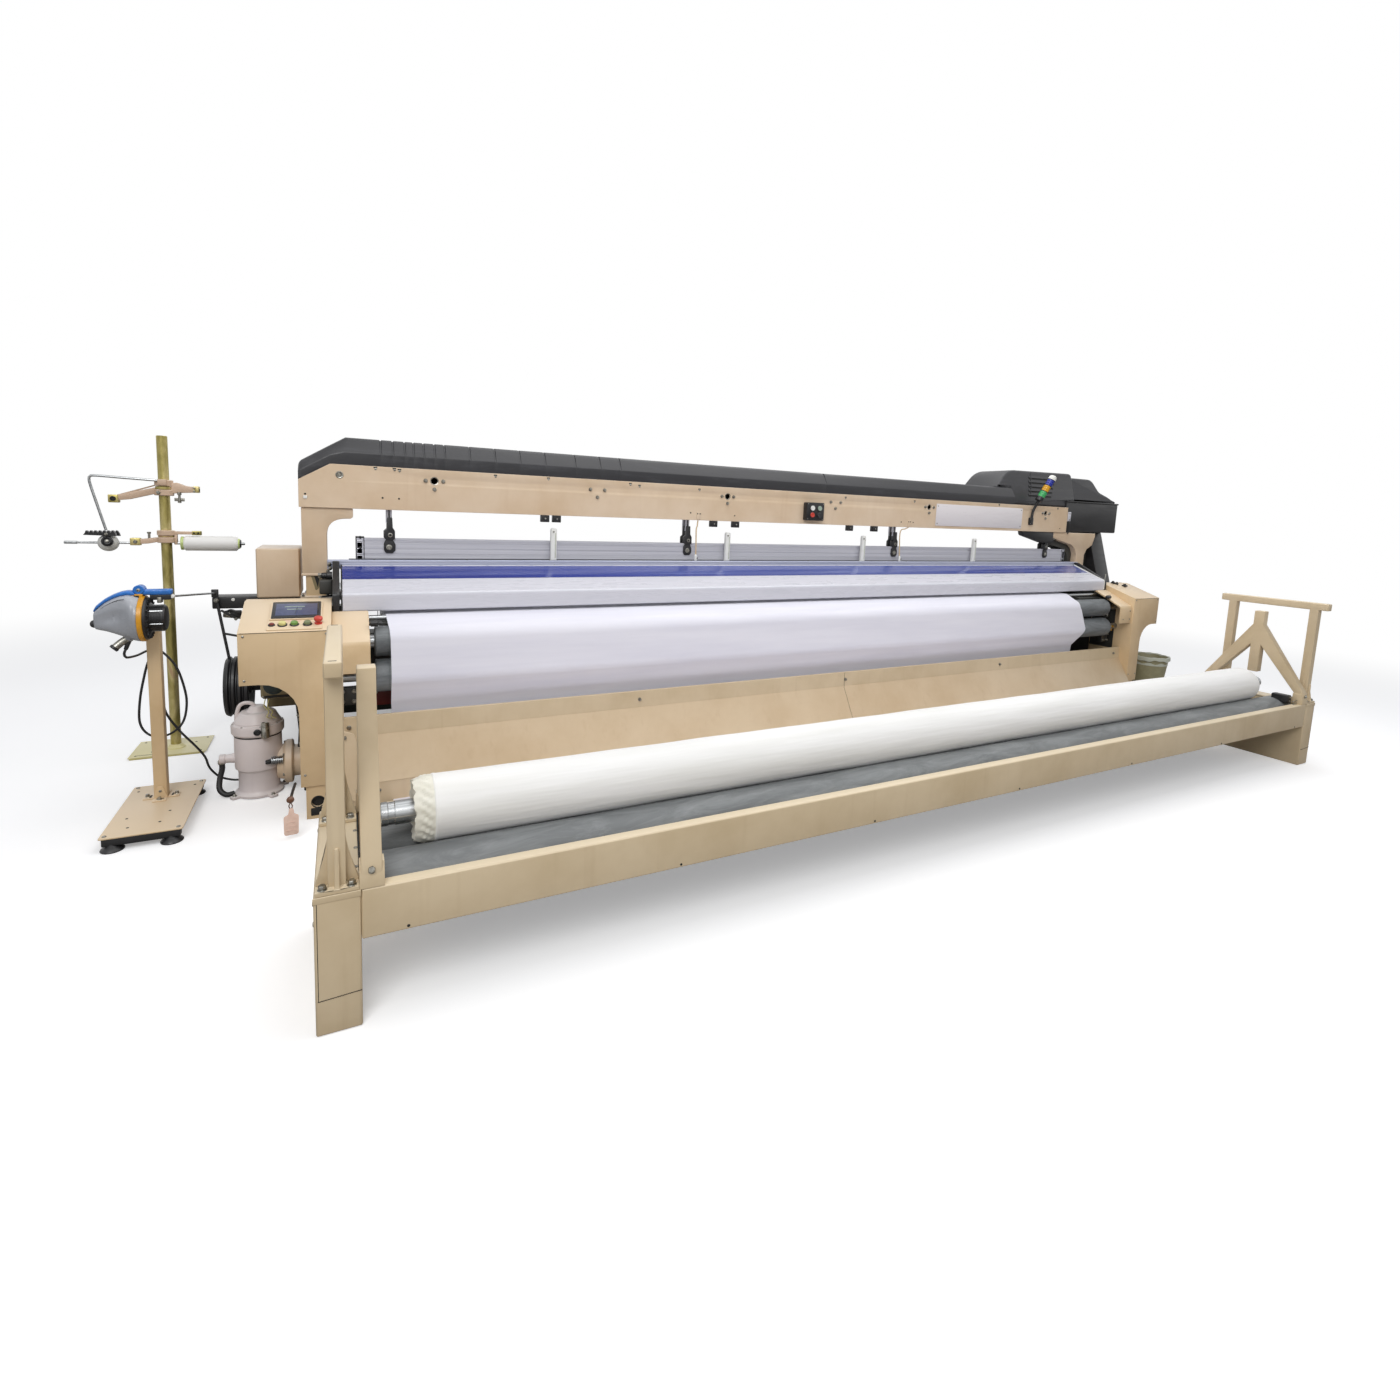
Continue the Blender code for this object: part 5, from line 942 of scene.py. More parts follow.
def grooved_bar(front, low, high, thick, half, grooves, depth=0.0022, wide=0.0022):
    """An extruded profile along X: a rectangle of (y, z) with shallow grooves in its front face."""
    outline = [(front + thick, low), (front + thick, high), (front, high)]
    for z in sorted(grooves, reverse=True):
        outline += [(front, z + wide), (front + depth, z + wide * 0.8), (front + depth, z - wide * 0.8),
                    (front, z - wide)]
    outline.append((front, low))
    return prism(outline, "X", -half, half, 0.0008, 1)


HEALD_HALF = corners("heald_frame_front")[1][0]
HEALD_TOP, HEALD_FOOT = 1.259, corners("heald_frame_front")[0][2]
HEALD_THICK = 0.022
HOOK_SHARES = (-0.9454, -0.3307, 0.2874, 0.9042)
WIRES = 264


def heald_hook(x, front, ahead):
    """Steel bar out of the beam, a black arm, and two black castings with their pins."""
    yield slab((x - 0.014, front + 0.005, 1.34), (x + 0.014, front + 0.017, 1.5), 0.002, "Y"), ALUMINIUM
    yield slab((x - 0.0035, front + 0.0035, 1.36), (x + 0.0035, front + 0.006, 1.425), 0.001, "Y"), SOCKET
    arm = filleted(
        [(x - 0.011, 1.372), (x + 0.015, 1.372), (x + 0.017, 1.318), (x + 0.028, 1.3), (x + 0.028, 1.258),
         (x + 0.012, 1.246), (x - 0.012, 1.246), (x - 0.026, 1.262), (x - 0.026, 1.3), (x - 0.012, 1.312)],
        [0.003] * 10, 2)
    yield prism(arm, "Y", front - ahead, front + 0.018, 0.002), ABS_DARK
    shoe = filleted(
        [(x - 0.02, 1.252), (x + 0.018, 1.252), (x + 0.03, 1.228), (x + 0.03, 1.196), (x + 0.016, 1.18),
         (x - 0.018, 1.18), (x - 0.028, 1.196), (x - 0.028, 1.232)], [0.004] * 8, 2)
    yield prism(shoe, "Y", front - ahead * 0.7, front + 0.019, 0.002), ABS_DARK
    for bx, bz, r in ((x + 0.004, 1.278, 0.012), (x - 0.002, 1.212, 0.015)):
        ring = [(0, 0), (r, 0), (r, 0.004), (r * 0.6, 0.005), (r * 0.5, 0.003), (0, 0.003)]
        yield lathe(ring, (bx, front - ahead * 0.7, bz), FRONT, 14), BOLT


def heald_frame(node, ahead):
    """Two extruded rails and two stiles with the wires between them, and the hooks they hang from."""
    front = corners(node)[0][1]
    rail = grooved_bar(
        front, HEALD_TOP - 0.113, HEALD_TOP, HEALD_THICK, HEALD_HALF, (1.168, 1.176, 1.204, 1.238, 1.246))
    foot = grooved_bar(front, HEALD_FOOT, HEALD_FOOT + 0.08, HEALD_THICK, HEALD_HALF, (0.58, 0.6, 0.62))
    yield [rail, foot], ALUMINIUM
    for side in (-1, 1):
        low, high = sorted((side * HEALD_HALF, side * (HEALD_HALF - 0.03)))
        yield slab((low, front, HEALD_FOOT + 0.01), (high, front + HEALD_THICK, HEALD_TOP - 0.01), 0.003,
                   "Z"), ALUMINIUM
        for offset in (0.002, -0.036):
            edge = side * (HEALD_HALF + offset)
            yield slab((edge - 0.002, front - 0.0016, 1.118), (edge + 0.002, front + 0.004, 1.266), 0.0008,
                       "Y"), ABS_DARK
        low, high = sorted((side * (HEALD_HALF + 0.004), side * (HEALD_HALF - 0.038)))
        yield slab((low, front + 0.001, 1.2585), (high, front + 0.02, 1.2665), 0.002, "Z"), ABS_DARK
        for z in (1.262, 1.207):
            yield dome_screw((side * (HEALD_HALF - 0.018), front, z), FRONT, 0.007), ABS_DARK
    for share in HOOK_SHARES:
        yield from heald_hook(share * HEALD_HALF, front, ahead)
    xs = np.linspace(-HEALD_HALF + 0.1, HEALD_HALF - 0.1, WIRES)
    middle = front + HEALD_THICK / 2
    wire = lathe([(0.0011, HEALD_FOOT + 0.075), (0.0011, HEALD_TOP - 0.11)], (0, middle, 0), UP, 4)
    eye = lathe(mm((1.1, 880), (2.8, 890), (2.8, 905), (1.1, 915)), (0, middle, 0), UP, 4)
    offsets = np.column_stack([xs, np.zeros(WIRES), np.zeros(WIRES)])
    yield [repeated(wire, offsets), repeated(eye, offsets)], STEEL


dressed("front_heald_set", "heald_frame_front", heald_frame("heald_frame_front", 0.012))
dressed("rear_heald_set", "heald_frame_rear", heald_frame("heald_frame_rear", 0.002))

RAIL_FRONT, RAIL_LOW = corners("guide_rail")[0][1:]
RAIL_HALF, RAIL_BACK, PLATE_TOP = corners("guide_rail")[1]
RAIL_TOP_EDGE = RAIL_LOW + 0.046
GUIDE_PLATES = (-1.876, -0.677, 0.509, 1.708)


def rail_with_plates():
    """Extruded rail with a pale top strip, a black seal along its rear edge and white guide plates."""
    front, back, half = RAIL_FRONT, RAIL_BACK, RAIL_HALF
    section = [(back, RAIL_LOW), (back, RAIL_TOP_EDGE), (front + 0.004, RAIL_TOP_EDGE),
               (front, RAIL_TOP_EDGE - 0.004), (front, 1.134), (front + 0.0025, 1.133),
               (front + 0.0025, 1.129), (front, 1.128), (front, RAIL_LOW)]
    yield prism(section, "X", -half, half, 0.0008, 1), LILAC_STRIP
    seal = filleted([(back - 0.007, RAIL_TOP_EDGE + 0.0003), (back, RAIL_TOP_EDGE + 0.0003),
                     (back, RAIL_TOP_EDGE + 0.005), (back - 0.007, RAIL_TOP_EDGE + 0.004)], [0.001] * 4, 2)
    yield prism(seal, "X", -half + 0.1, half - 0.1, 0.0008, 1), ABS_DARK
    for x in GUIDE_PLATES:
        outline = filleted([(x - 0.018, RAIL_TOP_EDGE), (x + 0.018, RAIL_TOP_EDGE), (x + 0.018, PLATE_TOP),
                            (x - 0.018, PLATE_TOP)], mm(2, 2, 14, 14), 5)
        yield prism(outline, "Y", front + 0.014, back - 0.004, 0.004, 3), WHITE
        # Grey strip down each guide plate: painted shade of its fold.
        yield slab((x + 0.006, front + 0.0125, 1.16), (x + 0.0115, front + 0.0145, PLATE_TOP - 0.03),
                   0.0008, "Y"), CREAM_SHADE
        yield lathe(mm((0, 0), (5.5, 0), (5.5, 5), (0, 6)), (x - 0.004, front + 0.014, PLATE_TOP - 0.022),
                    FRONT, 12), BOLT
        yield dome_screw((x, front, 1.116), FRONT, 0.006), BOLT
    for x in np.linspace(-2.85, 2.85, 13):
        yield dome_screw((x, front + 0.016, RAIL_TOP_EDGE), UP, 0.005), BOLT


dressed("rail_with_plates", "guide_rail", rail_with_plates())

COVER_HALF = corners("splash_cover")[1][0]
HINGE = np.array([-0.3735, 1.112])
NOSE = np.array([-0.658, 0.996])
LIP_HEIGHT = corners("splash_cover")[0][2]
COVER_WALL = 0.008


def sheet_along(path, thick, start, stop, stations, sag=0.0):
    """A sheet of (y, z) path carried along X: its second side lies thick away along the path's normal.
    Both sides ripple together by sag * sin(2.3 x + 7 s) * sin(pi s), where s runs along the path."""
    path = np.asarray(path, float)
    along = np.gradient(path, axis=0)
    along /= np.linalg.norm(along, axis=1)[:, None]
    normal = np.column_stack([along[:, 1], -along[:, 0]])
    s = np.linspace(0, 1, len(path))
    rings = []
    for x in np.linspace(start, stop, stations):
        lift = (sag * np.sin(2.3 * x + 7 * s) * np.sin(pi * s))[:, None] * normal
        loop = np.vstack([path + lift, (path + lift + normal * thick)[::-1]])
        rings.append(np.column_stack([np.full(len(loop), x), loop]))
    return ringed(rings)


def lid_path(first, last, count=12):
    """Points of the cover's upper face between two shares of the slope from hinge to nose."""
    t = np.linspace(first, last, count)[:, None]
    start = HINGE + np.array([0, COVER_WALL / 2])
    stop = NOSE + np.array([0.0, COVER_WALL])
    return start * (1 - t) + stop * t


def cover_lid():
    """Hinged splash cover: a clear blue sheet on the upper part of the slope, a pale sheet on the lower
    one that folds down to a lip, a ribbed hinge barrel and stiff end trims."""
    slope = lid_path(0.02, 0.94)
    bend = filleted([slope[-1], (NOSE[0] - 0.004, NOSE[1] + 0.009), (NOSE[0] - 0.0045, NOSE[1] - 0.02)],
                    mm(1, 10, 1), 5)[6:-6]
    lip = [(NOSE[0] - 0.0045, z) for z in np.linspace(0.976, LIP_HEIGHT + 0.004, 5)]
    fold = [(NOSE[0] - 0.002, LIP_HEIGHT + 0.001), (NOSE[0] + 0.01, LIP_HEIGHT + 0.0008)]
    white = np.vstack([slope, bend, lip, fold])
    yield sheet_along(white, 0.0035, -COVER_HALF + 0.004, COVER_HALF - 0.004, 40), SHEET_WHITE
    blue = lid_path(0.05, 0.52, 14) + np.array([0.0, 0.0042])
    yield sheet_along(blue, 0.0014, -COVER_HALF + 0.006, COVER_HALF - 0.03, 90, 0.0009), SHEET_BLUE
    barrel = [(0, -COVER_HALF)]
    for low in np.arange(-COVER_HALF, COVER_HALF - 0.1, 0.2508):
        barrel += [
            (0.0079, low + 0.001), (0.0079, low + 0.232), (0.0055, low + 0.234), (0.0055, low + 0.249)]
    barrel.append((0, COVER_HALF))
    yield lathe(barrel, (0, *HINGE), RIGHT, 16), ALUMINIUM
    for side in (-1, 1):
        low, high = sorted((side * COVER_HALF, side * (COVER_HALF - 0.007)))
        trim = np.vstack([lid_path(0.0, 0.94, 4), bend, lip])
        yield sheet_along(trim + [0, 0.001], 0.007, low, high, 2), WHITE if side > 0 else ABS_DARK
    for x in np.linspace(-2.9, 2.9, 15):
        place = lid_path(0.045, 0.05, 2)[0]
        yield dome_screw((x, place[0], place[1] + 0.0014), (0, -0.4, 1), 0.0055), BOLT


dressed("cover_lid", "splash_cover", cover_lid(), 30)


def cover_ends():
    """Black side plates beside the cover, with the bearing blocks and nuts of its left end."""
    outline = filleted(
        mm((-352, 1142), (-352, 1030), (-600, 905), (-664, 905), (-664, 1004), (-640, 1018), (-392, 1142)),
        mm(8, 20, 20, 8, 8, 10, 10))
    for low, high in ((-3.046, -COVER_HALF - 0.0055), (COVER_HALF + 0.0055, 3.046)):
        yield prism(outline, "X", low, high, 0.003), ABS_DARK
    block = slab((-3.105, -0.5, 0.985), (-3.048, -0.4, 1.055), 0.006, "X")
    yield block, IRON
    for y, z, r in ((-0.432, 1.072, 0.021), (-0.47, 0.962, 0.017), (-0.56, 0.96, 0.013)):
        boss = [(0, 0), (r, 0), (r, 0.022), (r * 0.72, 0.026), (r * 0.72, 0.046), (r * 0.5, 0.05),
                (0, 0.05)]
        yield lathe(boss, (-3.048, y, z), LEFT, 18), ABS_DARK
        yield hex_bolt((-3.098, y, z), LEFT, r * 1.1, False), BOLT
    for x, y, z in ((-3.062, -0.372, 1.118), (-3.058, -0.41, 1.1), (-3.07, -0.352, 1.08)):
        yield lathe(mm((0, 0), (8, 0), (9, 10), (6, 16), (0, 18)), (x, y, z), (0.2, -0.5, 1), 12), BOLT
    yield tube(through([(-3.06, -0.42, 1.06), (-3.075, -0.44, 1.01), (-3.062, -0.45, 0.96)], 0.01), 0.006,
               8), CABLE


piece("cover_side_plates", "loom", cover_ends())


def weft_detectors():
    """Thin bent tubes that come out of the beam and reach down to the guide rail, with their sleeves."""
    back, foot = -0.35, RAIL_TOP_EDGE + 0.006
    for route in (
            ((-0.914, back, 1.412), (-0.918, back, 1.375), (-0.924, back, 1.35), (-0.921, back, 1.24),
             (-0.92, back, foot)), ((0.945, back, 1.412), (0.915, back, 1.4), (0.866, back, 1.378),
                                    (0.87, back, 1.24), (0.877, back, foot))):
        yield tube(through(route, 0.012), 0.0042, 10), BEIGE
        x, y, z = route[-1]
        yield lathe(
            mm((0, 0), (8, 0), (9, 12), (9, 34), (6, 40), (0, 41)), (x, y, z - 0.004), UP, 14), WHITE
        yield lathe(
            mm((0, 0), (6.5, 0), (6.5, 8), (0, 9)), (x + 0.006, y, z + 0.012), (1, -0.4, 0), 10), ABS_DARK
        x, y, z = route[0]
        yield slab((x - 0.016, BEAM_FACE - 0.003, z + 0.006), (x + 0.016, BEAM_FACE - 0.0004, z + 0.056),
                   0.002, "Y"), WALL
        for dx in (-0.009, 0.009):
            yield dome_screw((x + dx, BEAM_FACE - 0.003, z + 0.044), FRONT, 0.0045), ABS_DARK


piece("weft_detectors", "loom", weft_detectors())


# Rollers, cloth and cloth roll

def round_of(node):
    """Middle, as a point at X zero, and radius of a CAD node that is round about X."""
    low, high = corners(node)
    middle = (low + high) / 2
    return np.array([0.0, middle[1], middle[2]]), (high[2] - low[2]) / 2


def journalled_roller(node, half, journal, rings):
    """Rubber sleeve with rounded shoulders, steel journals and end caps, on the roller's own axis."""
    low, high = corners(node)
    centre, r = round_of(node)
    middle = (low[0] + high[0]) / 2
    left, right = middle - half, middle + half
    sleeve = [
        (0, left), (r * 0.6, left), (r * 0.62, left + 0.002), (r - 0.005, left + 0.002), (r, left + 0.007)]
    for x in rings:
        sleeve += [(r, left + x), (r - 0.0015, left + x + 0.0015), (r, left + x + 0.003)]
    for x in reversed(rings):
        sleeve += [(r, right - x - 0.003), (r - 0.0015, right - x - 0.0015), (r, right - x)]
    sleeve += [(r, right - 0.007), (r - 0.005, right - 0.002), (r * 0.62, right - 0.002), (r * 0.6, right),
               (0, right)]
    ends = []
    for start, stop, way in ((low[0], left, 1), (high[0], right, -1)):
        run = abs(stop - start)
        ends.append(lathe([(0, 0), (journal - 0.002, 0), (journal, 0.002), (journal, run * 0.55),
                           (journal * 1.35, run * 0.6), (journal * 1.35, run - 0.0002), (0, run)],
                          (start, centre[1], centre[2]), (way, 0, 0), 28))
    finish = RUBBER if node.startswith("takeup") else DRUM_RUBBER
    yield lathe(sleeve, centre, RIGHT, 56), finish
    yield ends, STEEL


for node in ("takeup_roller_upper", "takeup_roller_lower"):
    dressed(node + "_sleeve", node, journalled_roller(node, 2.87, 0.024, (0.06, 0.075)), 25)
for node in ("winder_front_roller", "winder_rear_roller"):
    reach = (corners(node)[1][0] - corners(node)[0][0]) / 2
    dressed(node + "_sleeve", node, journalled_roller(node, reach - 0.0065, 0.022, (0.045,)), 25)


def arc_points(centre, radius, first, last, count):
    """Points (y, z) on an arc from one angle to another, in degrees."""
    angle = np.radians(np.linspace(first, last, count))
    return np.column_stack([centre[0] + radius * np.cos(angle), centre[1] + radius * np.sin(angle)])


ROLL_LOW, ROLL_HIGH = corners("cloth_roll")
DRUM_CENTRE, DRUM_RADIUS = round_of("winder_rear_roller")
DRUM_MIDDLE = DRUM_CENTRE[1:]
CLOTH_THICK = 0.0012
BREAST_BAR = (-0.66, 0.884)
BREAST_RADIUS = round_of("breast_bar")[1]
UPPER_TAKEUP, LOWER_TAKEUP = (-0.757, 0.785), (-0.773, 0.62)


def cloth_path():
    """The cloth's way (y, z): over the breast bar, round both take-up rollers, down behind the skirt,
    along the floor and up to the rear drum."""
    return np.vstack([
        [(-0.4, 0.905)], arc_points(BREAST_BAR, 0.0143, 80, 118, 4),
        arc_points(UPPER_TAKEUP, 0.0735, 100, 178, 14), arc_points(LOWER_TAKEUP, 0.0795, 174, 205, 6),
        [(-0.77, 0.48), (-0.769, 0.427), (-0.764, 0.38), (-0.762, 0.34), (-0.768, 0.22), (-0.78, 0.11),
         (-0.802, 0.075), (-0.85, 0.055), (-0.95, 0.049), (-1.2, 0.045), (-1.45, 0.05), (-1.7, 0.06),
         (-1.77, 0.085), (-1.8, 0.12), (-1.835, 0.19), (DRUM_MIDDLE[0] + DRUM_RADIUS + 0.004, 0.25)],
        arc_points(DRUM_MIDDLE, DRUM_RADIUS + 0.0005, -12, 108, 20)])


def stretched_cloth():
    """A grid over the path and the width. Its right edge drifts along the way, and where nothing
    carries it the cloth lies in soft folds of up to 1.6 mm that run along the threads."""
    path = cloth_path()
    step = np.concatenate([[0], np.cumsum(np.linalg.norm(np.diff(path, axis=0), axis=1))])
    marks = [0.0, 0.28, 0.37, 0.46, 0.53, 0.6, 0.7, 1.15, 1.6, step[-1]]
    left = np.interp(
        step, marks, [-2.815, -2.812, -2.806, -2.8, -2.8, -2.798, -2.8, -2.79, ROLL_LOW[0], ROLL_LOW[0]])
    right = np.interp(
        step, marks, [2.5, 2.502, 2.47, 2.455, 2.505, 2.527, 2.485, 2.42, ROLL_HIGH[0], ROLL_HIGH[0]])
    along = np.gradient(path, axis=0)
    along /= np.linalg.norm(along, axis=1)[:, None]
    normal = np.column_stack([along[:, 1], -along[:, 0]])
    u = np.linspace(0, 1, 71)
    x = left[:, None] + (right - left)[:, None] * u
    free = np.interp(step, [0.0, 0.05, 0.24, 0.26, 0.6, 0.66, 0.85, 1.0, 1.6, 1.9, 2.0, step[-1]],
                     [0, 1, 1, 0, 0, 1, 1, 1, 1, 0, 0, 0])
    fold = 0.001 * np.sin(9.1 * x + 1.3 * np.sin(2 * x)) + 0.0006 * np.sin(23 * x + 4 * step[:, None])
    fold = np.abs(fold) * free[:, None]
    flat = path[:, None] + normal[:, None] * fold[..., None]
    other = flat + normal[:, None] * CLOTH_THICK
    loops = np.concatenate([np.dstack([x, flat]), np.dstack([x, other])[:, ::-1]], 1)
    cloth = dressed("stretched_cloth", "cloth_web", [(ringed(loops), CLOTH)], 60)


stretched_cloth()


def full_roll():
    """Wound cloth: radius R with soft waves of 0.8 mm along it. The left end is a ragged sleeve that
    stands out beyond a turned ridge, the right end bulges as sqrt(1 - (r / R)^4)."""
    low, high = ROLL_LOW, ROLL_HIGH
    centre, r = round_of("cloth_roll")
    shaft = 0.0371
    around = 96
    angle = np.linspace(0, 2 * pi, around, endpoint=False)

    def ring_at(x, radius):
        """One ring of the roll. Its place along X and its radius may follow the angle."""
        return np.column_stack([
            x + np.zeros(around), centre[1] + radius * np.cos(angle), centre[2] + radius * np.sin(angle)])

    edge = low[0] + 0.06
    body = np.linspace(edge + 0.014, high[0] - 0.03, 66)
    stations = [edge - 0.004, edge - 0.002, edge + 0.002, edge + 0.008, *body]
    radii = [shaft, r - 0.006, r - 0.0015, r - 0.0004, *(r - 0.0016 + 0.0006 * np.sin(17 * body))]
    for t in np.linspace(0.15, 1, 8):
        stations.append(high[0] - 0.03 + 0.028 * sin(t * pi / 2) + 0.001)
        radii.append(shaft + (r - 0.0016 - shaft) * cos(t * pi / 2) ** 0.5)
    rings = []
    for x, radius in zip(stations, radii):
        wave = 0.0005 * (np.sin(3 * angle + 5.0 * x) + 0.6 * np.sin(7 * angle - 11 * x))
        rings.append(ring_at(x, radius + wave))
    yield ringed(rings), ROLLED
    ragged = []
    for t in np.linspace(0, 1, 12):
        x = edge + 0.001 - (edge - low[0] - 0.001) * t
        size = r - 0.003 - 0.009 * t ** 2
        fray = 0.0038 * sin(pi * min(1.0, t * 1.2)) * (
            np.sin(19 * angle + 9 * t) + 0.7 * np.sin(31 * angle - 15 * t))
        shift = 0.006 * t * np.sin(13 * angle + 2) * np.sin(5 * angle)
        radius = np.minimum(size + fray, r - 0.0005)
        ragged.append(ring_at(np.maximum(x + shift, low[0]), radius))
    for t in np.linspace(0.2, 1, 6):
        radius = (r - 0.012) * (1 - t) + shaft * t + 0.0025 * (1 - t) * np.sin(23 * angle)
        depth = low[0] + 0.002 + 0.014 * t + 0.003 * (1 - t) * np.sin(11 * angle)
        ragged.append(ring_at(depth, radius))
    yield ringed(ragged), RAGGED
    ridge = [(r - 0.006, edge - 0.002), (r - 0.0008, edge + 0.001), (r, edge + 0.005),
             (r - 0.0008, edge + 0.009), (r - 0.006, edge + 0.012)]
    yield lathe(ridge, centre, RIGHT, 72), ROLLED


dressed("full_roll", "cloth_roll", full_roll(), 50)


def turned_shaft():
    """Steel shaft with chamfered ends, a bright bearing ring near each end and lathe marks."""
    centre, r = round_of("roll_shaft")
    left, right = corners("roll_shaft")[0][0], corners("roll_shaft")[1][0]
    profile = [
        (0, left), (r * 0.35, left), (r * 0.38, left + 0.006), (r * 0.86, left + 0.006), (r * 0.9, left),
        (r - 0.003, left), (r, left + 0.003), (r, left + 0.02), (r - 0.002, left + 0.022),
        (r - 0.002, left + 0.04), (r, left + 0.042), (r, right - 0.042), (r - 0.002, right - 0.04),
        (r - 0.002, right - 0.022), (r, right - 0.02), (r, right - 0.003), (r - 0.003, right),
        (r * 0.4, right), (r * 0.35, right - 0.006), (0, right - 0.006)]
    yield lathe(profile, centre, RIGHT, 48), STEEL


dressed("turned_shaft", "roll_shaft", turned_shaft(), 25)


WARP_HALF, WOUND_RADIUS = 2.74, 0.25
REST_ROLLER_AXIS, WARP_BEAM_AXIS = (0.84, 0.833), (1.0, 0.4)


def warp_package():
    """Warp beam: steel barrel ends, ribbed aluminium flanges, and the wound yarn with fine ridges."""
    high = corners("warp_beam")[1]
    centre, flange_r = round_of("warp_beam")
    thick, yarn_r, shaft = 0.018, WOUND_RADIUS, 0.06
    for side in (-1, 1):
        flange = [
            (0, 0), (yarn_r - 0.1, 0), (yarn_r + 0.01, 0.0), (flange_r - 0.01, 0.0), (flange_r, 0.005),
            (flange_r, thick - 0.003), (flange_r - 0.004, thick), (flange_r - 0.03, thick),
            (flange_r - 0.034, thick - 0.006), (yarn_r * 0.72, thick - 0.006), (yarn_r * 0.7, thick),
            (shaft * 1.7, thick), (shaft * 1.6, thick), (0, thick)]
        start = (side * WARP_HALF, centre[1], centre[2])
        yield lathe(flange, start, (side, 0, 0), 64), ALUMINIUM
        for k in range(12):
            a = k * pi / 6
            place = (side * (WARP_HALF + thick - 0.006), centre[1] + 0.235 * cos(a),
                     centre[2] + 0.235 * sin(a))
            yield hex_bolt(place, (side, 0, 0), 0.018), BOLT
        reach = high[0] - WARP_HALF - thick
        journal = [(0, 0), (shaft, 0), (shaft, reach - 0.003), (shaft - 0.003, reach), (0, reach)]
        yield lathe(journal, (side * (WARP_HALF + thick), centre[1], centre[2]), (side, 0, 0), 32), STEEL
    ridges = [(0, -WARP_HALF + 0.0002)]
    for x in np.linspace(-WARP_HALF + 0.001, WARP_HALF - 0.001, 170):
        ridges.append((yarn_r - 0.0022 + 0.0018 * abs(sin(31 * x)), x))
    ridges.append((0, WARP_HALF - 0.0002))
    yield lathe(ridges, centre, RIGHT, 64), YARN


dressed("warp_package", "warp_beam", warp_package(), 30)


def warp_threads():
    """The warp as fine parallel bands along the solid's path: every second column across the width
    stands 1.1 mm higher, so that it reads as threads side by side."""
    rest, beam = REST_ROLLER_AXIS, WARP_BEAM_AXIS
    rest_r, wound_r = 0.0605, WOUND_RADIUS + 0.0005
    apart = np.array(beam) - np.array(rest)
    distance = float(np.linalg.norm(apart))
    leave = np.degrees(np.arctan2(apart[1], apart[0]) + np.arccos((rest_r - wound_r) / distance))
    path = np.vstack([
        [(-0.233, rest[1] + rest_r), (0.1, rest[1] + rest_r), (0.45, rest[1] + rest_r)],
        arc_points(rest, rest_r, 90, leave, 8), arc_points(beam, wound_r, leave, leave - 12, 4)])
    along = np.gradient(path, axis=0)
    along /= np.linalg.norm(along, axis=1)[:, None]
    normal = np.column_stack([-along[:, 1], along[:, 0]])
    u = np.linspace(-WARP_HALF + 0.0003, WARP_HALF - 0.0003, 401)
    raised = 0.0019 + 0.0011 * (np.arange(len(u)) % 2)
    top = path[:, None] + normal[:, None] * raised[None, :, None]
    under = path[:, None] + normal[:, None] * 0.0002 + np.zeros((1, len(u), 1))
    x = np.broadcast_to(u, (len(path), len(u)))
    loops = np.concatenate([np.dstack([x, top]), np.dstack([x, under])[:, ::-1]], 1)
    warp = dressed("warp_threads", "warp_sheet", [(ringed(loops), YARN)], 60)


warp_threads()


def breast_rod():
    """Ground steel bar that the cloth turns over."""
    low, high = corners("breast_bar")
    profile = [(0, low[0]), (BREAST_RADIUS, low[0]), (BREAST_RADIUS, -2.905), (BREAST_RADIUS, high[0]),
               (0, high[0])]
    yield lathe(profile, (0, *BREAST_BAR), RIGHT, 24), STEEL


dressed("breast_rod", "breast_bar", breast_rod(), 25)


def breast_collars():
    """Black collars on the breast bar's ends and the iron plates under them."""
    r = BREAST_RADIUS
    for side in (-1, 1):
        for x in (2.93, 2.99):
            ring = [(r + 0.0003, 0), (r + 0.008, 0), (r + 0.009, 0.003), (r + 0.009, 0.015),
                    (r + 0.0003, 0.016)]
            yield lathe(ring, (side * x, *BREAST_BAR), (side, 0, 0), 20), ABS_DARK
        plate = filleted(mm((-700, 850), (-640, 850), (-628, 868), (-700, 866)), [0.004] * 4, 2)
        low_x, high_x = sorted((side * 2.62, side * 3.04))
        yield prism(plate, "X", low_x, high_x, 0.001, 1), IRON


piece("breast_collars", "loom", breast_collars())


# Drive side at the left

MOTOR = (-3.385, -0.48)


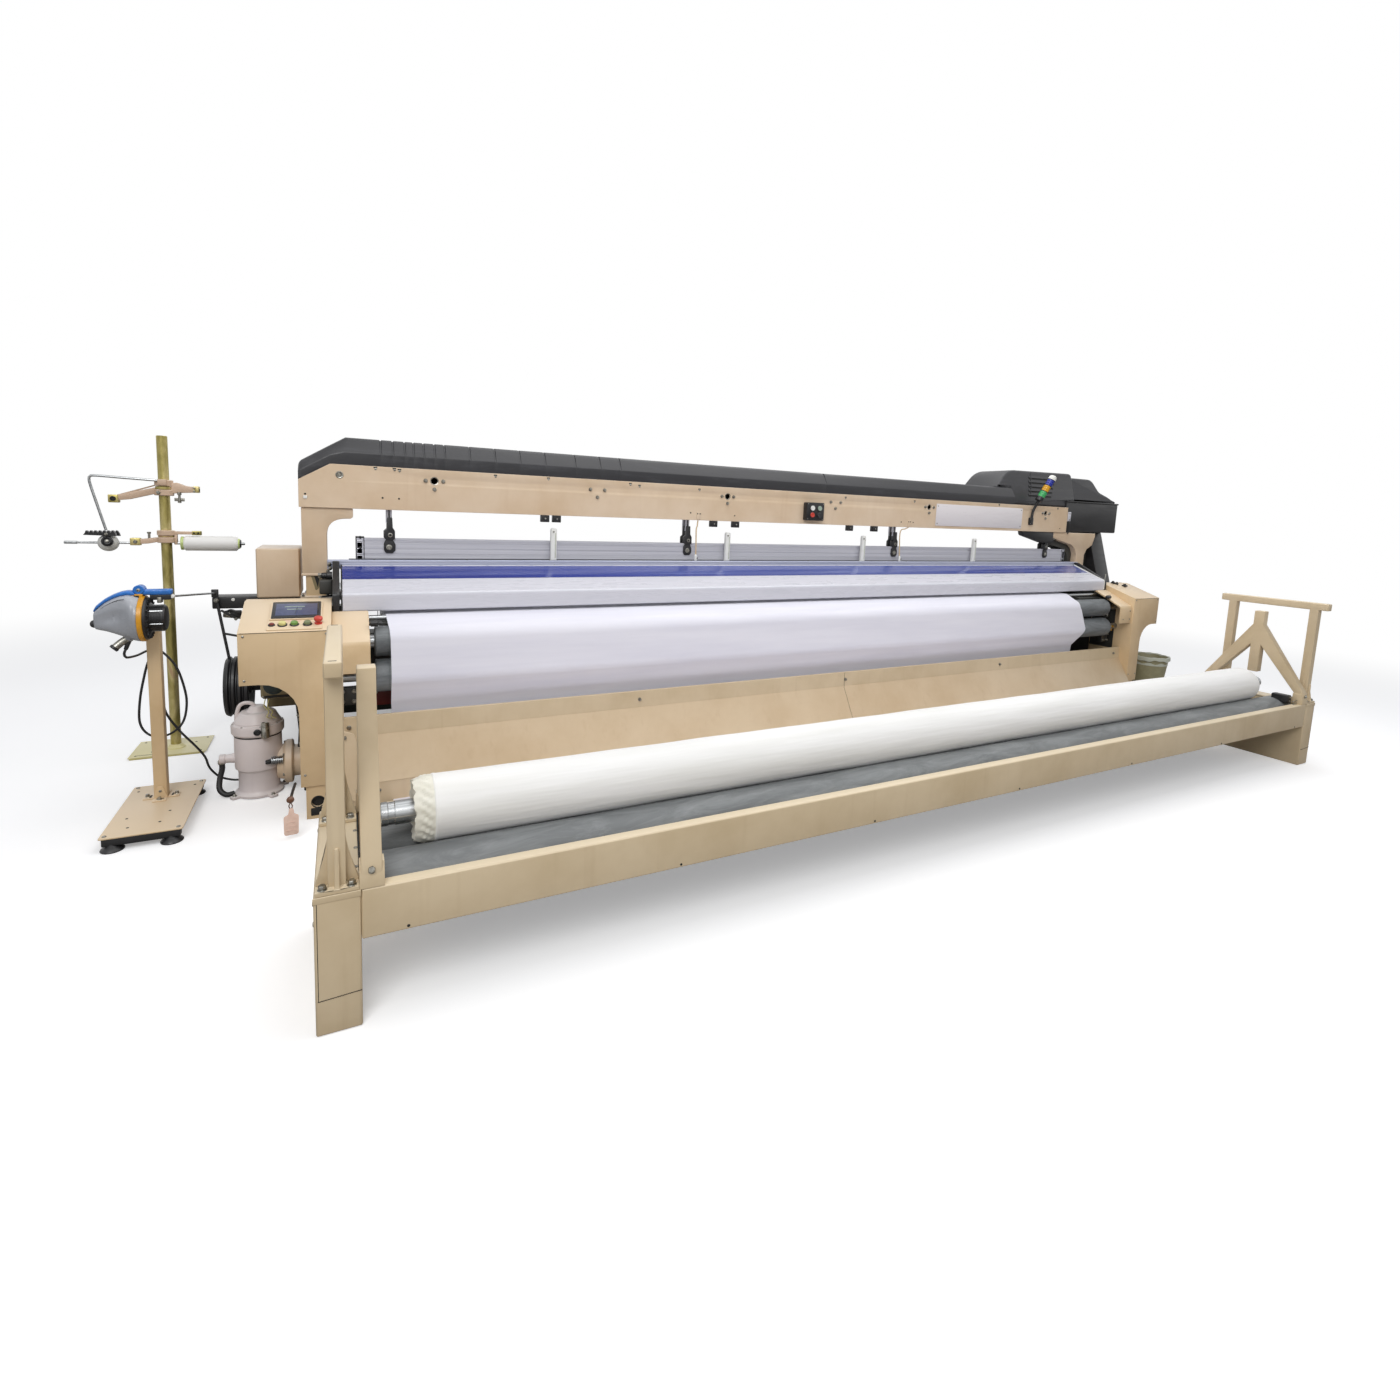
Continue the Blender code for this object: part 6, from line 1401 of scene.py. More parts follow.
def motor_body():
    """Upright cast motor: a waisted body turned about its axis, a lid with a gasket and a lifting loop,
    a cone spout with the hose's nozzle, an upright stub, a sprung plug and the flange to the frame."""
    x, y = MOTOR
    body = mm(
        (0, 0), (98, 0), (105, 4), (105, 14), (96, 21), (88.5, 32), (86.5, 75), (87.5, 122), (92, 131),
        (99, 138), (100.5, 150), (101, 230), (100.5, 292), (98.5, 298), (98.5, 305), (106, 308),
        (111.5, 316), (112, 350), (109, 357), (100, 359), (98, 362), (98, 368), (94.5, 373), (78, 406),
        (71, 412), (48, 415), (43, 421), (30, 438), (0, 443))
    yield lathe(body, (x, y, 0), UP, 64), LILAC
    gasket = mm((95, 298.5), (101.4, 299.2), (101.4, 303.8), (95, 304.5))
    yield lathe(gasket, (x, y, 0), UP, 64), ABS_DARK
    loop = through([(x - 0.088, y, 0.372), (x - 0.086, y, 0.402), (x - 0.074, y, 0.442),
                    (x - 0.05, y, 0.456), (x - 0.022, y, 0.45), (x - 0.008, y, 0.43)], 0.008)
    yield tube(loop, 0.009, 14), LILAC
    spout = mm((0, 0), (46, 0), (42, 18), (34, 45), (26, 80), (21.5, 110), (20, 128), (23, 132),
               (23.5, 150), (20, 155), (0, 157))
    yield lathe(spout, (x - 0.008, y, 0.185), LEFT, 32), LILAC
    nozzle = mm((0, 0), (17, 0), (17, 16), (14.5, 18.5), (0, 18.5))
    yield lathe(nozzle, (x - 0.153, y, 0.1795), DOWN, 20), BOLT
    stub = mm((0, 0), (17, 0), (18, 4), (18, 46), (16.5, 49), (16.5, 70), (13, 74), (10, 70), (0, 69))
    yield lathe(stub, (x + 0.04, y - 0.108, 0.306), UP, 24), BOLT
    port = mm((0, 0), (15, 0), (15.5, 6), (11, 8), (9, 3), (0, 3))
    yield lathe(port, (x + 0.008, y - 0.1105, 0.336), FRONT, 20), ABS_DARK
    hatch = mm((0, 0), (21, 0), (22, 4), (18, 5), (17, 1), (0, 1))
    yield lathe(hatch, (x - 0.014, y - 0.058, 0.4025), (0, -0.42, 0.9), 24), ABS_DARK
    spring = [(0, 0)]
    for k in range(7):
        spring += [(0.013, 0.001 + 0.0075 * k), (0.0215, 0.003 + 0.0075 * k), (0.0215, 0.005 + 0.0075 * k),
                   (0.013, 0.007 + 0.0075 * k)]
    spring.append((0, 0.056))
    yield lathe(spring, (x + 0.058, y - 0.083, 0.178), RIGHT, 24), STEEL
    yield slab((x + 0.036, y - 0.106, 0.17), (x + 0.06, y - 0.07, 0.188), 0.003, "X"), ABS_DARK
    flange = mm((0, 0), (78, 0), (84, 12), (88, 26), (100, 32), (106, 37), (107, 44), (107, 62), (103, 67),
                (82, 69), (78, 74), (78, 113), (0, 113))
    yield lathe(flange, (x + 0.0815, y, 0.141), RIGHT, 48), WALL
    for k in range(6):
        a = k * pi / 3 + 0.4
        yield hex_bolt((x + 0.115, y + 0.096 * cos(a), 0.141 + 0.096 * sin(a)), LEFT, 0.013, False), BOLT
    for a in (0.5, 2.2, 3.7, 5.3):
        dx, dy = cos(a), sin(a)
        lug = moved(slab((-0.028, -0.018, 0.0), (0.028, 0.018, 0.012), 0.008, "Z", 0.002),
                    (x + 0.104 * dx, y + 0.104 * dy, 0.0004), (dx, dy, 0))
        yield lug, LILAC
        yield hex_bolt((x + 0.116 * dx, y + 0.116 * dy, 0.0124), UP, 0.013), BOLT
    for k in range(8):
        a = k * pi / 4 + 0.2
        yield dome_screw((x + 0.1045 * cos(a), y + 0.1045 * sin(a), 0.3575), UP, 0.005), BOLT


dressed("motor_body", "drive_motor", motor_body(), 32)


def grooved_wheel():
    """Belt wheel turned about X: a rim with V grooves, a dished web with round windows and a hub nut."""
    low, high = corners("drive_wheel")
    centre, r = round_of("drive_wheel")
    centre[0] = low[0]
    width = 0.11
    rim = [(0, 0.03), (0.016, 0.03), (0.018, 0.026), (0.036, 0.026), (0.04, 0.036), (r - 0.04, 0.042),
           (r - 0.03, 0.006), (r - 0.026, 0.0004), (r - 0.01, 0.0004), (r - 0.007, 0.003)]
    for k in range(3):
        middle = 0.0275 * (k + 1)
        rim += [
            (r - 0.0005, middle - 0.0115), (r - 0.0005, middle - 0.0085), (r - 0.0115, middle - 0.0015),
            (r - 0.0115, middle + 0.0015), (r - 0.0005, middle + 0.0085)]
    rim += [(r - 0.0005, width - 0.006), (r - 0.008, width - 0.0004), (r - 0.026, width - 0.0004),
            (r - 0.04, 0.068), (0.046, 0.07), (0.04, width), (0.0295, width + 0.002),
            (0.0295, high[0] - low[0] - 0.0004), (0, high[0] - low[0] - 0.0004)]
    yield lathe(rim, centre, RIGHT, 72), ABS_DARK
    window = mm((0, 0), (17, 0), (19, 3), (19, 6), (0, 6))
    for k in range(6):
        a = k * pi / 3
        yield lathe(window, (low[0] + 0.0365, centre[1] + 0.078 * cos(a), centre[2] + 0.078 * sin(a)),
                    RIGHT, 20), SOCKET
    yield hex_bolt((low[0] + 0.028, centre[1], centre[2]), LEFT, 0.03), BOLT


dressed("grooved_wheel", "drive_wheel", grooved_wheel(), 28)


def bar_between(start, stop, wide, thick):
    """A flat bar with rounded ends from one point to another; its broad side faces the weaver."""
    start, stop = np.asarray(start, float), np.asarray(stop, float)
    length = float(np.linalg.norm(stop - start))
    flat = slab((-wide / 2, -thick / 2, -wide / 3), (wide / 2, thick / 2, length + wide / 3), wide * 0.3,
                "Y", thick * 0.25)
    way = (stop - start) / length
    across = np.cross(np.array([0.0, 1.0, 0.0]), way)
    return moved(flat, start, across, way)


def drive_fittings():
    """Black links between the arm and the wheel, the valve under the arm, the pump's round cap and
    yellow wires, and the oil pipes in the cabinet's arch."""
    yield [bar_between((-3.569, -0.235, 0.94), (-3.516, -0.222, 0.56), 0.013, 0.01),
           bar_between((-3.549, -0.232, 0.877), (-3.486, -0.23, 0.833), 0.011, 0.008),
           bar_between((-3.545, -0.232, 0.76), (-3.47, -0.23, 0.74), 0.011, 0.008)], ABS_DARK
    for x, z, r in (
            (-3.569, 0.93, 0.012), (-3.518, 0.57, 0.012), (-3.489, 0.833, 0.008), (-3.42, 0.915, 0.007)):
        yield hex_bolt((x, -0.242, z), FRONT, r * 1.3), BOLT
    yield dome_screw((-3.5, -0.2205, 0.93), FRONT, 0.008), WHITE
    valve = mm((0, 0), (16, 0), (18, 6), (18, 40), (12, 44), (12, 60), (20, 64), (20, 90), (14, 96),
               (8, 98), (8, 120), (0, 121))
    yield lathe(valve, (-3.545, -0.205, 0.856), (1, 0, -0.12), 20), BOLT
    yield slab((-3.515, -0.228, 0.838), (-3.468, -0.19, 0.872), 0.004, "X"), ABS_DARK
    yield tube(through([(-3.53, -0.215, 0.87), (-3.505, -0.24, 0.88), (-3.47, -0.24, 0.862),
                        (-3.44, -0.225, 0.84)], 0.01), 0.005, 8), CABLE
    cap = mm((0, 0), (44, 0), (46, 6), (44, 20), (34, 28), (12, 31), (0, 31))
    yield lathe(cap, (-3.306, -0.5455, 0.553), FRONT, 32), TEAL
    yield slab((-3.352, -0.548, 0.488), (-3.204, -0.5455, 0.5), 0.001, "Y"), SOCKET
    yield slab((-3.354, -0.362, 0.392), (-3.1935, -0.355, 0.56), 0.005, "Y"), KHAKI
    for x, z in ((-3.352, 0.494), (-3.206, 0.494), (-3.206, 0.588), (-3.25, 0.588)):
        yield dome_screw((x, -0.5455, z), FRONT, 0.006), BOLT
    for shift, bend in ((0.0, 0.012), (0.016, -0.01)):
        wire = [(-3.345 + shift, -0.53, 0.484), (-3.35 + shift, -0.556 + bend, 0.45),
                (-3.33 + shift, -0.562, 0.425), (-3.338 + shift, -0.56 - bend, 0.402),
                (-3.318 + shift, -0.545, 0.385)]
        yield tube(through(wire, 0.008), 0.0022, 6), CREAM
    for pipe in (
            ((-3.2, -0.6, 0.64), (-3.204, -0.59, 0.5), (-3.198, -0.585, 0.38), (-3.206, -0.58, 0.24)),
            ((-3.214, -0.575, 0.64), (-3.217, -0.57, 0.52), (-3.209, -0.566, 0.42), (-3.2, -0.56, 0.3))):
        yield tube(through(pipe, 0.015), 0.0055, 8), CABLE
    for z in (0.6, 0.552, 0.47, 0.41):
        yield hex_bolt((-3.2035, -0.612, z), FRONT, 0.012), BOLT


piece("drive_fittings", "loom", drive_fittings())


def inner_guard():
    """Dark red guard and an iron plate with their bolts, inside the left frame."""
    yield slab((-2.9, -0.64, 0.432), (-2.56, -0.615, 0.52), 0.006, "Y"), DARK_RED
    yield slab((-3.046, -0.62, 0.5), (-3.022, -0.56, 0.7), 0.004, "Y"), IRON
    for z in (0.52, 0.6, 0.68):
        yield hex_bolt((-3.034, -0.62, z), FRONT, 0.014), BOLT
    for x in (-2.86, -2.74, -2.62):
        yield hex_bolt((x, -0.64, 0.5), FRONT, 0.012), BOLT


piece("inner_guard", "loom", inner_guard())


def oil_tag():
    """Pink tag that hangs from a brown knob on a short rod beside the left leg."""
    yield tube(
        [(-3.205, -0.925, 0.185), (-3.21, -1.0, 0.183), (-3.214, -1.085, 0.18)], 0.006, 10), ABS_DARK
    knob = mm((0, 0), (9, 1), (14, 6), (15, 13), (11, 20), (5, 23), (0, 23))
    yield lathe(knob, (-3.214, -1.082, 0.18), FRONT, 20), BROWN
    loop = through([(-3.214, -1.096, 0.168), (-3.22, -1.097, 0.154), (-3.214, -1.097, 0.14),
                    (-3.207, -1.097, 0.152), (-3.212, -1.096, 0.166)], 0.004)
    yield tube(loop, 0.0022, 6), BROWN
    tag = filleted(mm((-3240, 24), (-3186, 26), (-3184, 112), (-3200, 118), (-3204, 144), (-3220, 144),
                      (-3223, 117), (-3241, 108)), mm(10, 10, 8, 4, 5, 5, 4, 8), 3)
    yield prism(tag, "Y", -1.1005, -1.0955, 0.0012), PINK
    for k in range(3):
        yield slab(
            (-3.232, -1.1015, 0.044 + 0.018 * k), (-3.195, -1.1, 0.05 + 0.018 * k), 0.0015, "Y"), PINK


piece("oil_tag", "loom", oil_tag())


# Weft feeder on its stand

FEEDER_LINE = -0.68
FEEDER_HEIGHT = 0.918
FEEDER_STATIONS = (-3.9309, -3.93, -3.9255, -3.912, -3.89, -3.865, -3.84, -3.815, -3.797, -3.785, -3.7755)
FEEDER_UNDER = (0.902, 0.886, 0.878, 0.874, 0.868, 0.858, 0.846, 0.832, 0.824, 0.82, 0.819)
FEEDER_OVER = (0.935, 0.951, 0.96, 0.974, 0.994, 1.01, 1.021, 1.026, 1.023, 1.018, 1.014)
FEEDER_WIDE = (0.012, 0.026, 0.033, 0.04, 0.045, 0.049, 0.056, 0.072, 0.088, 0.095, 0.096)


def superellipse(half_y, half_z, power, count=48):
    """Points (y, z) with |y / half_y|^power + |z / half_z|^power = 1."""
    a = np.linspace(0, 2 * pi, count, endpoint=False)
    c, s = np.cos(a), np.sin(a)
    return np.column_stack([
        half_y * np.sign(c) * np.abs(c) ** (2 / power), half_z * np.sign(s) * np.abs(s) ** (2 / power)])


def feeder_shell():
    """Silver body whose section goes from a soft rectangle at the tail to a circle at the ring, with a
    scooped panel of depth 9 mm * exp(-(dx / 33 mm)^2 - (dz / 17 mm)^2) in each side."""
    stations = np.interp(np.linspace(0, 10, 41), range(11), FEEDER_STATIONS)
    rings = []
    for x in stations:
        under = np.interp(x, FEEDER_STATIONS, FEEDER_UNDER)
        over = np.interp(x, FEEDER_STATIONS, FEEDER_OVER)
        wide = np.interp(x, FEEDER_STATIONS, FEEDER_WIDE)
        power = np.interp(x, [-3.93, -3.86, -3.79], [3.2, 3.4, 2.0])
        loop = superellipse(wide, (over - under) / 2, power, 56)
        z = loop[:, 1] + (over + under) / 2
        tilt = 0.928 + 0.3 * (x + 3.87)
        scoop = 0.009 * np.exp(-((x + 3.862) / 0.033) ** 2 - ((z - tilt) / 0.017) ** 2)
        crease = 0.0022 * np.exp(-((z - tilt - 0.03) / 0.004) ** 2) * np.exp(-((x + 3.855) / 0.045) ** 2)
        y = loop[:, 0] - np.sign(loop[:, 0]) * (scoop - crease)
        rings.append(np.column_stack([np.full(len(z), x), FEEDER_LINE + y, z]))
    yield ringed(rings), FEEDER_GREY
    cap = []
    for x, drop in zip(np.linspace(-3.9295, -3.79, 26), [0.004, 0.001, *([0.0] * 22), 0.001, 0.003]):
        top = np.interp(x, FEEDER_STATIONS, FEEDER_OVER)
        wide = 0.026 if x < -3.92 else 0.031
        loop = superellipse(wide - drop, 0.0105 - drop, 2.6, 24)
        cap.append(np.column_stack([np.full(24, x), FEEDER_LINE + loop[:, 0], top + 0.005 + loop[:, 1]]))
    yield ringed(cap), BLUE
    knuckle = mm((0, 0), (17, 0), (20, 3), (20, 45), (17, 48), (0, 48))
    yield lathe(knuckle, (-3.7765, FEEDER_LINE + 0.024, 1.043), FRONT, 28), BLUE
    yield slab((-3.8, FEEDER_LINE - 0.02, 1.02), (-3.663, FEEDER_LINE + 0.02, 1.044), 0.007, "X"), BLUE
    yield slab(
        (-3.741, FEEDER_LINE - 0.016, 0.998), (-3.667, FEEDER_LINE + 0.016, 1.022), 0.004, "X"), ABS_DARK
    yield slab((-3.716, FEEDER_LINE - 0.018, 0.985), (-3.7, FEEDER_LINE + 0.018, 1.01), 0.003, "X"), BOLT
    yield dome_screw((-3.7765, FEEDER_LINE - 0.024, 1.043), FRONT, 0.007), BOLT
    for side in (-1, 1):
        clip = filleted([(-3.803, 1.004), (-3.766, 1.004), (-3.762, 1.026), (-3.8, 1.026)], [0.004] * 4, 3)
        near = FEEDER_LINE + side * 0.022
        yield prism(clip, "Y", near - 0.004, near + 0.004, 0.0015), YELLOW
        yield slab((-3.793, near - 0.005, 1.01), (-3.774, near + 0.005, 1.02), 0.002, "Y"), SOCKET
    seam = [(x, FEEDER_LINE - np.interp(x, FEEDER_STATIONS, FEEDER_WIDE) * 0.86,
             np.interp(x, FEEDER_STATIONS, FEEDER_OVER) - 0.0165) for x in np.linspace(-3.922, -3.818, 14)]
    yield tube(seam, 0.0012, 6), SOCKET
    knob = mm((0, -10), (16, -10), (17.5, -4), (16.5, 6), (13, 13), (7, 16.5), (0, 17.8))
    yield lathe(knob, (-3.931, FEEDER_LINE, 0.9), LEFT, 24), ABS_DARK
    elbow = through([(-3.806, FEEDER_LINE, 0.852), (-3.824, FEEDER_LINE, 0.835),
                     (-3.846, FEEDER_LINE - 0.006, 0.818), (-3.867, FEEDER_LINE - 0.016, 0.798)], 0.006)
    yield tube(elbow, 0.0155, 18), BOLT
    end, way = elbow[-1], elbow[-1] - elbow[-2]
    yield lathe(
        mm((0, -2), (17.5, -2), (18, 4), (16.5, 9), (12, 9), (11, 4), (0, 4)), end, way, 22), ABS_DARK
    yield lathe(
        mm((0, 0), (20, 0), (20, 12), (16, 16), (0, 16)), elbow[3], (-0.75, 0, -0.66), 20), FEEDER_GREY
    gland = np.array([
        (-3.8105, FEEDER_LINE, 0.858), (-3.823, FEEDER_LINE, 0.821), (-3.8349, FEEDER_LINE, 0.7852)])
    yield tube(gland, [0.011, 0.01, 0.0075], 14), ABS_DARK
    yield slab((-3.826, -0.64, 0.884), (-3.7895, -0.5165, 0.936), 0.005, "Y"), ABS_DARK
    for z in (0.897, 0.923):
        yield hex_bolt((-3.826, -0.545, z), LEFT, 0.012), BOLT


dressed("feeder_shell", "feeder_body", feeder_shell(), 32)


def feeder_drum():
    """Yellow ring, and a dark drum with turned ridges, six bright rods and a domed nose."""
    start = corners("feeder_drum")[0][0]
    centre = (start, FEEDER_LINE, FEEDER_HEIGHT)
    ring = mm((0, 0), (97.5, 0), (99.8, 2), (100, 15), (97.5, 18), (86, 18.2), (0, 18.2))
    yield lathe(ring, centre, RIGHT, 64), YELLOW
    drum = [(0, 0.016), (0.093, 0.0185), (0.091, 0.026), (0.086, 0.03), (0.068, 0.031), (0.064, 0.034)]
    for x in np.arange(0.036, 0.074, 0.0052):
        drum += [(0.0575, x), (0.056, x + 0.0016), (0.056, x + 0.0034), (0.0575, x + 0.005)]
    drum += [(0.0575, 0.08), (0.052, 0.087), (0.03, 0.0902), (0.01, 0.0906), (0, 0.0906)]
    yield lathe(drum, centre, RIGHT, 56), ABS_DARK
    for k in range(6):
        a = k * pi / 3 + 0.35
        rod = lathe(
            mm((0, 0), (3, 0), (3, 50), (1.8, 52), (0, 52)),
            (start + 0.031, FEEDER_LINE + 0.0555 * cos(a), FEEDER_HEIGHT + 0.0555 * sin(a)), RIGHT, 8)
        yield rod, STEEL
    fins = [moved(slab((0.07, -0.0018, 0.0), (0.088, 0.0018, 0.006), 0.0015, "Y"),
                  (start + 0.029, FEEDER_LINE, FEEDER_HEIGHT), (0, cos(a), sin(a)), RIGHT)
            for a in np.linspace(0, 2 * pi, 24, endpoint=False)]
    yield fins, ABS_DARK


dressed("ridged_drum", "feeder_drum", feeder_drum(), 28)


def weft_tube():
    """Steel tube that leads the weft from the feeder to the loom, with a ceramic eye at the feeder's
    end and a black block at the loom's end.
    """
    start, stop = (-3.661, -0.68, 1.012), (-3.573, -0.228, 0.966)
    route = through([start, (-3.645, -0.6, 1.004), (-3.6, -0.37, 0.981), stop], 0.03)
    eye = mm((4.5, 0), (8, 1), (9, 6), (8, 12), (4.5, 13))
    way = np.subtract(stop, start)
    yield tube(route, 0.0048, 12), STEEL
    yield lathe(eye, start, -way, 16), WHITE
    yield slab((-3.59, -0.232, 0.9445), (-3.56, -0.2205, 0.985), 0.003, "Y"), ABS_DARK


piece("weft_tube", "loom", weft_tube())


STAND_POST = (-3.764, -0.541)


def feeder_stand():
    """Square post with a slotted bracket foot on a folded plate, black cross bars and rubber feet."""
    low, high = corners("feeder_stand")
    x, y = STAND_POST
    yield slab((x - 0.025, y - 0.025, 0.056), (x + 0.025, y + 0.025, high[2]), 0.004, "Z", 0.002), BEIGE
    yield slab((low[0], low[1], 0.0545), (high[0], high[1], 0.06), 0.01, "Z", 0.0012), BEIGE
    yield slab(
        (x - 0.02, y - 0.02, high[2] - 0.004), (x + 0.02, y + 0.02, high[2] - 0.0004), 0.003, "Z"), SOCKET
    for y0 in (low[1] + 0.004, high[1] - 0.04):
        yield slab((low[0] + 0.01, y0, 0.022), (high[0] - 0.01, y0 + 0.036, 0.0543), 0.004, "X"), ABS_DARK
        for fx in (low[0] + 0.042, high[0] - 0.042):
            foot = mm((0, 0), (39, 0), (41, 4), (38, 9), (28, 16), (20, 23), (18, 30), (0, 31))
            yield lathe(foot, (fx, y0 + 0.018, 0), UP, 28), ABS_DARK
    for way in ((1, 0), (-1, 0), (0, 1), (0, -1)):
        centre = np.array([x + way[0] * 0.047, y + way[1] * 0.047, 0.0602])
        tab = moved(slab((-0.021, -0.026, 0.0), (0.021, 0.026, 0.004), 0.004, "Z", 0.001), centre,
                    (way[0], way[1], 0))
        yield tab, BEIGE
        slot = moved(slab((-0.01, -0.016, 0.0), (-0.002, 0.016, 0.0046), 0.003, "Z", 0.0005), centre,
                     (way[0], way[1], 0))
        yield slot, SOCKET
        yield hex_bolt(centre + [way[0] * 0.008, way[1] * 0.008 + 0.006, 0.004], UP, 0.014), BOLT
    upright = mm((-26.5, 64), (26.5, 64), (10, 118), (-10, 118))
    for side in (-1, 1):
        face = y + side * 0.0268
        plate = [(x + u, z) for u, z in upright]
        yield prism(
            plate, "Y", min(face, face + side * 0.003), max(face, face + side * 0.003), 0.0006, 1), BEIGE
        yield dome_screw((x, face + side * 0.003, 0.095), (0, side, 0), 0.006), BOLT
    for hx, hy in ((-3.845, -0.76), (-3.7, -0.73), (-3.82, -0.86), (-3.715, -0.84), (-3.87, -0.45),
                   (-3.655, -0.44)):
        yield lathe(mm((0, 0.2), (5.5, 0.2), (5, 0.8), (0, 0.6)), (hx, hy, 0.06), UP, 12), SOCKET
    for hx, hy in ((low[0] + 0.018, low[1] + 0.02), (high[0] - 0.018, low[1] + 0.02),
                   (low[0] + 0.018, high[1] - 0.02), (high[0] - 0.018, high[1] - 0.02)):
        yield dome_screw((hx, hy, 0.06), UP, 0.008), BOLT


dressed("braced_stand", "feeder_stand", feeder_stand(), 30)


# Yarn stand

POLE = (-3.868, 0.341)


def yarn_pole():
    """Passivated pole with a welded foot ring on a plate whose edges are folded down to the floor."""
    low, high = corners("yarn_stand")
    x, y = POLE
    pole = [(0, 0.01), (0.025, 0.01), (0.025, high[2] - 0.003), (0.0225, high[2]), (0.0205, high[2]),
            (0.0205, high[2] - 0.02), (0, high[2] - 0.02)]
    yield lathe(pole, (x, y, 0), UP, 40), ZINC
    weld = mm((24, 11), (46, 11.5), (45, 16), (36, 22), (30, 31), (24, 33))
    yield lathe(weld, (x, y, 0), UP, 36), PALE_ZINC
    yield slab((low[0], low[1], 0.0085), (high[0], high[1], 0.012), 0.006, "Z", 0.0012), PALE_ZINC
    for y0, y1 in ((low[1], low[1] + 0.004), (high[1] - 0.004, high[1])):
        yield slab((low[0] + 0.008, y0, 0.0004), (high[0] - 0.008, y1, 0.0095), 0.0015, "X"), PALE_ZINC
    for hx, hy in ((low[0] + 0.03, low[1] + 0.03), (high[0] - 0.03, low[1] + 0.03),
                   (low[0] + 0.03, high[1] - 0.03), (high[0] - 0.03, high[1] - 0.03),
                   (x + 0.085, y + 0.06), (x - 0.1, y - 0.055)):
        yield lathe(mm((0, 0.2), (6, 0.2), (5.5, 0.8), (0, 0.6)), (hx, hy, 0.012), UP, 12), SOCKET
    yield slab((x - 0.16, y - 0.1, 0.0121), (x - 0.05, y - 0.096, 0.0128), 0.001, "Z", 0.0003), SOCKET


dressed("yarn_pole", "yarn_stand", yarn_pole(), 30)


def split_ring(low, high, outer):
    """A clamp ring round the pole with rounded edges; the bore stays 0.3 mm off the pole."""
    bore = 0.0254
    return lathe([(bore, low), (outer - 0.003, low), (outer, low + 0.003), (outer, high - 0.003),
                  (outer - 0.003, high), (bore, high), (bore, low)], (*POLE, 0), UP, 36)


def upper_arm():
    """Cast arms on split clamps, a zinc end block, a wing screw, an end bolt and the bent guide rod."""
    x, y = POLE
    left = filleted([(x - 0.236, 1.402), (x - 0.15, 1.414), (x - 0.034, 1.45), (x - 0.034, 1.484),
                     (x - 0.11, 1.462), (x - 0.236, 1.424)], [0.004] * 6, 2)
    brace = filleted(
        [(x - 0.2, 1.428), (x - 0.04, 1.49), (x - 0.038, 1.498), (x - 0.205, 1.436)], [0.002] * 4, 2)
    right = filleted([(x + 0.034, 1.452), (x + 0.075, 1.458), (x + 0.16, 1.464), (x + 0.16, 1.49),
                      (x + 0.1, 1.498), (x + 0.06, 1.514), (x + 0.034, 1.51)], [0.004] * 7, 2)
    yield [prism(left, "Y", y - 0.017, y + 0.017, 0.003), prism(brace, "Y", y - 0.009, y - 0.001, 0.002),
           prism(right, "Y", y - 0.018, y + 0.018, 0.003), split_ring(1.44, 1.472, 0.044),
           split_ring(1.492, 1.525, 0.042)], CREAM_CAST
    yield split_ring(1.473, 1.491, 0.039), ZINC
    yield slab((x - 0.24, y - 0.022, 1.394), (x - 0.196, y + 0.022, 1.436), 0.004, "Y"), ZINC
    yield lathe(mm((0, 0), (12, 0), (13, 3), (8, 4), (7, 1), (0, 1)), (x - 0.218, y - 0.022, 1.415), FRONT,
                18), SOCKET
    yield slab((x + 0.132, y - 0.02, 1.462), (x + 0.16, y + 0.02, 1.498), 0.004, "Y"), ZINC
    for z in (1.47, 1.488):
        yield lathe(mm((0, 0), (5, 0), (5, 18), (0, 19)), (x + 0.14, y - 0.02, z), FRONT, 10), BOLT
    screw = mm((0, 0), (10, 0), (10, 14), (6, 16), (6, 30), (8.5, 32), (8.5, 58), (0, 60))
    yield lathe(screw, (x + 0.071, y - 0.022, 1.462), DOWN, 18), BOLT
    yield slab((x + 0.048, y - 0.026, 1.412), (x + 0.094, y - 0.018, 1.43), 0.003, "Y"), BOLT
    yield hex_bolt((x - 0.018, y - 0.044, 1.456), FRONT, 0.014), BOLT
    yield slab((x - 0.02, y - 0.05, 1.496), (x + 0.02, y - 0.028, 1.528), 0.004, "Z"), CREAM_CAST
    rod = through(
        [(x - 0.01, y - 0.04, 1.52), (x - 0.15, y - 0.04, 1.526), (x - 0.28, y - 0.04, 1.532),
         (x - 0.302, y - 0.04, 1.527), (x - 0.307, y - 0.04, 1.51), (x - 0.296, y - 0.04, 1.45),
         (x - 0.249, y - 0.04, 1.246)], 0.012)
    yield tube(rod, 0.0064, 14), STEEL


dressed("upper_arm", "guide_arm", upper_arm(), 30)


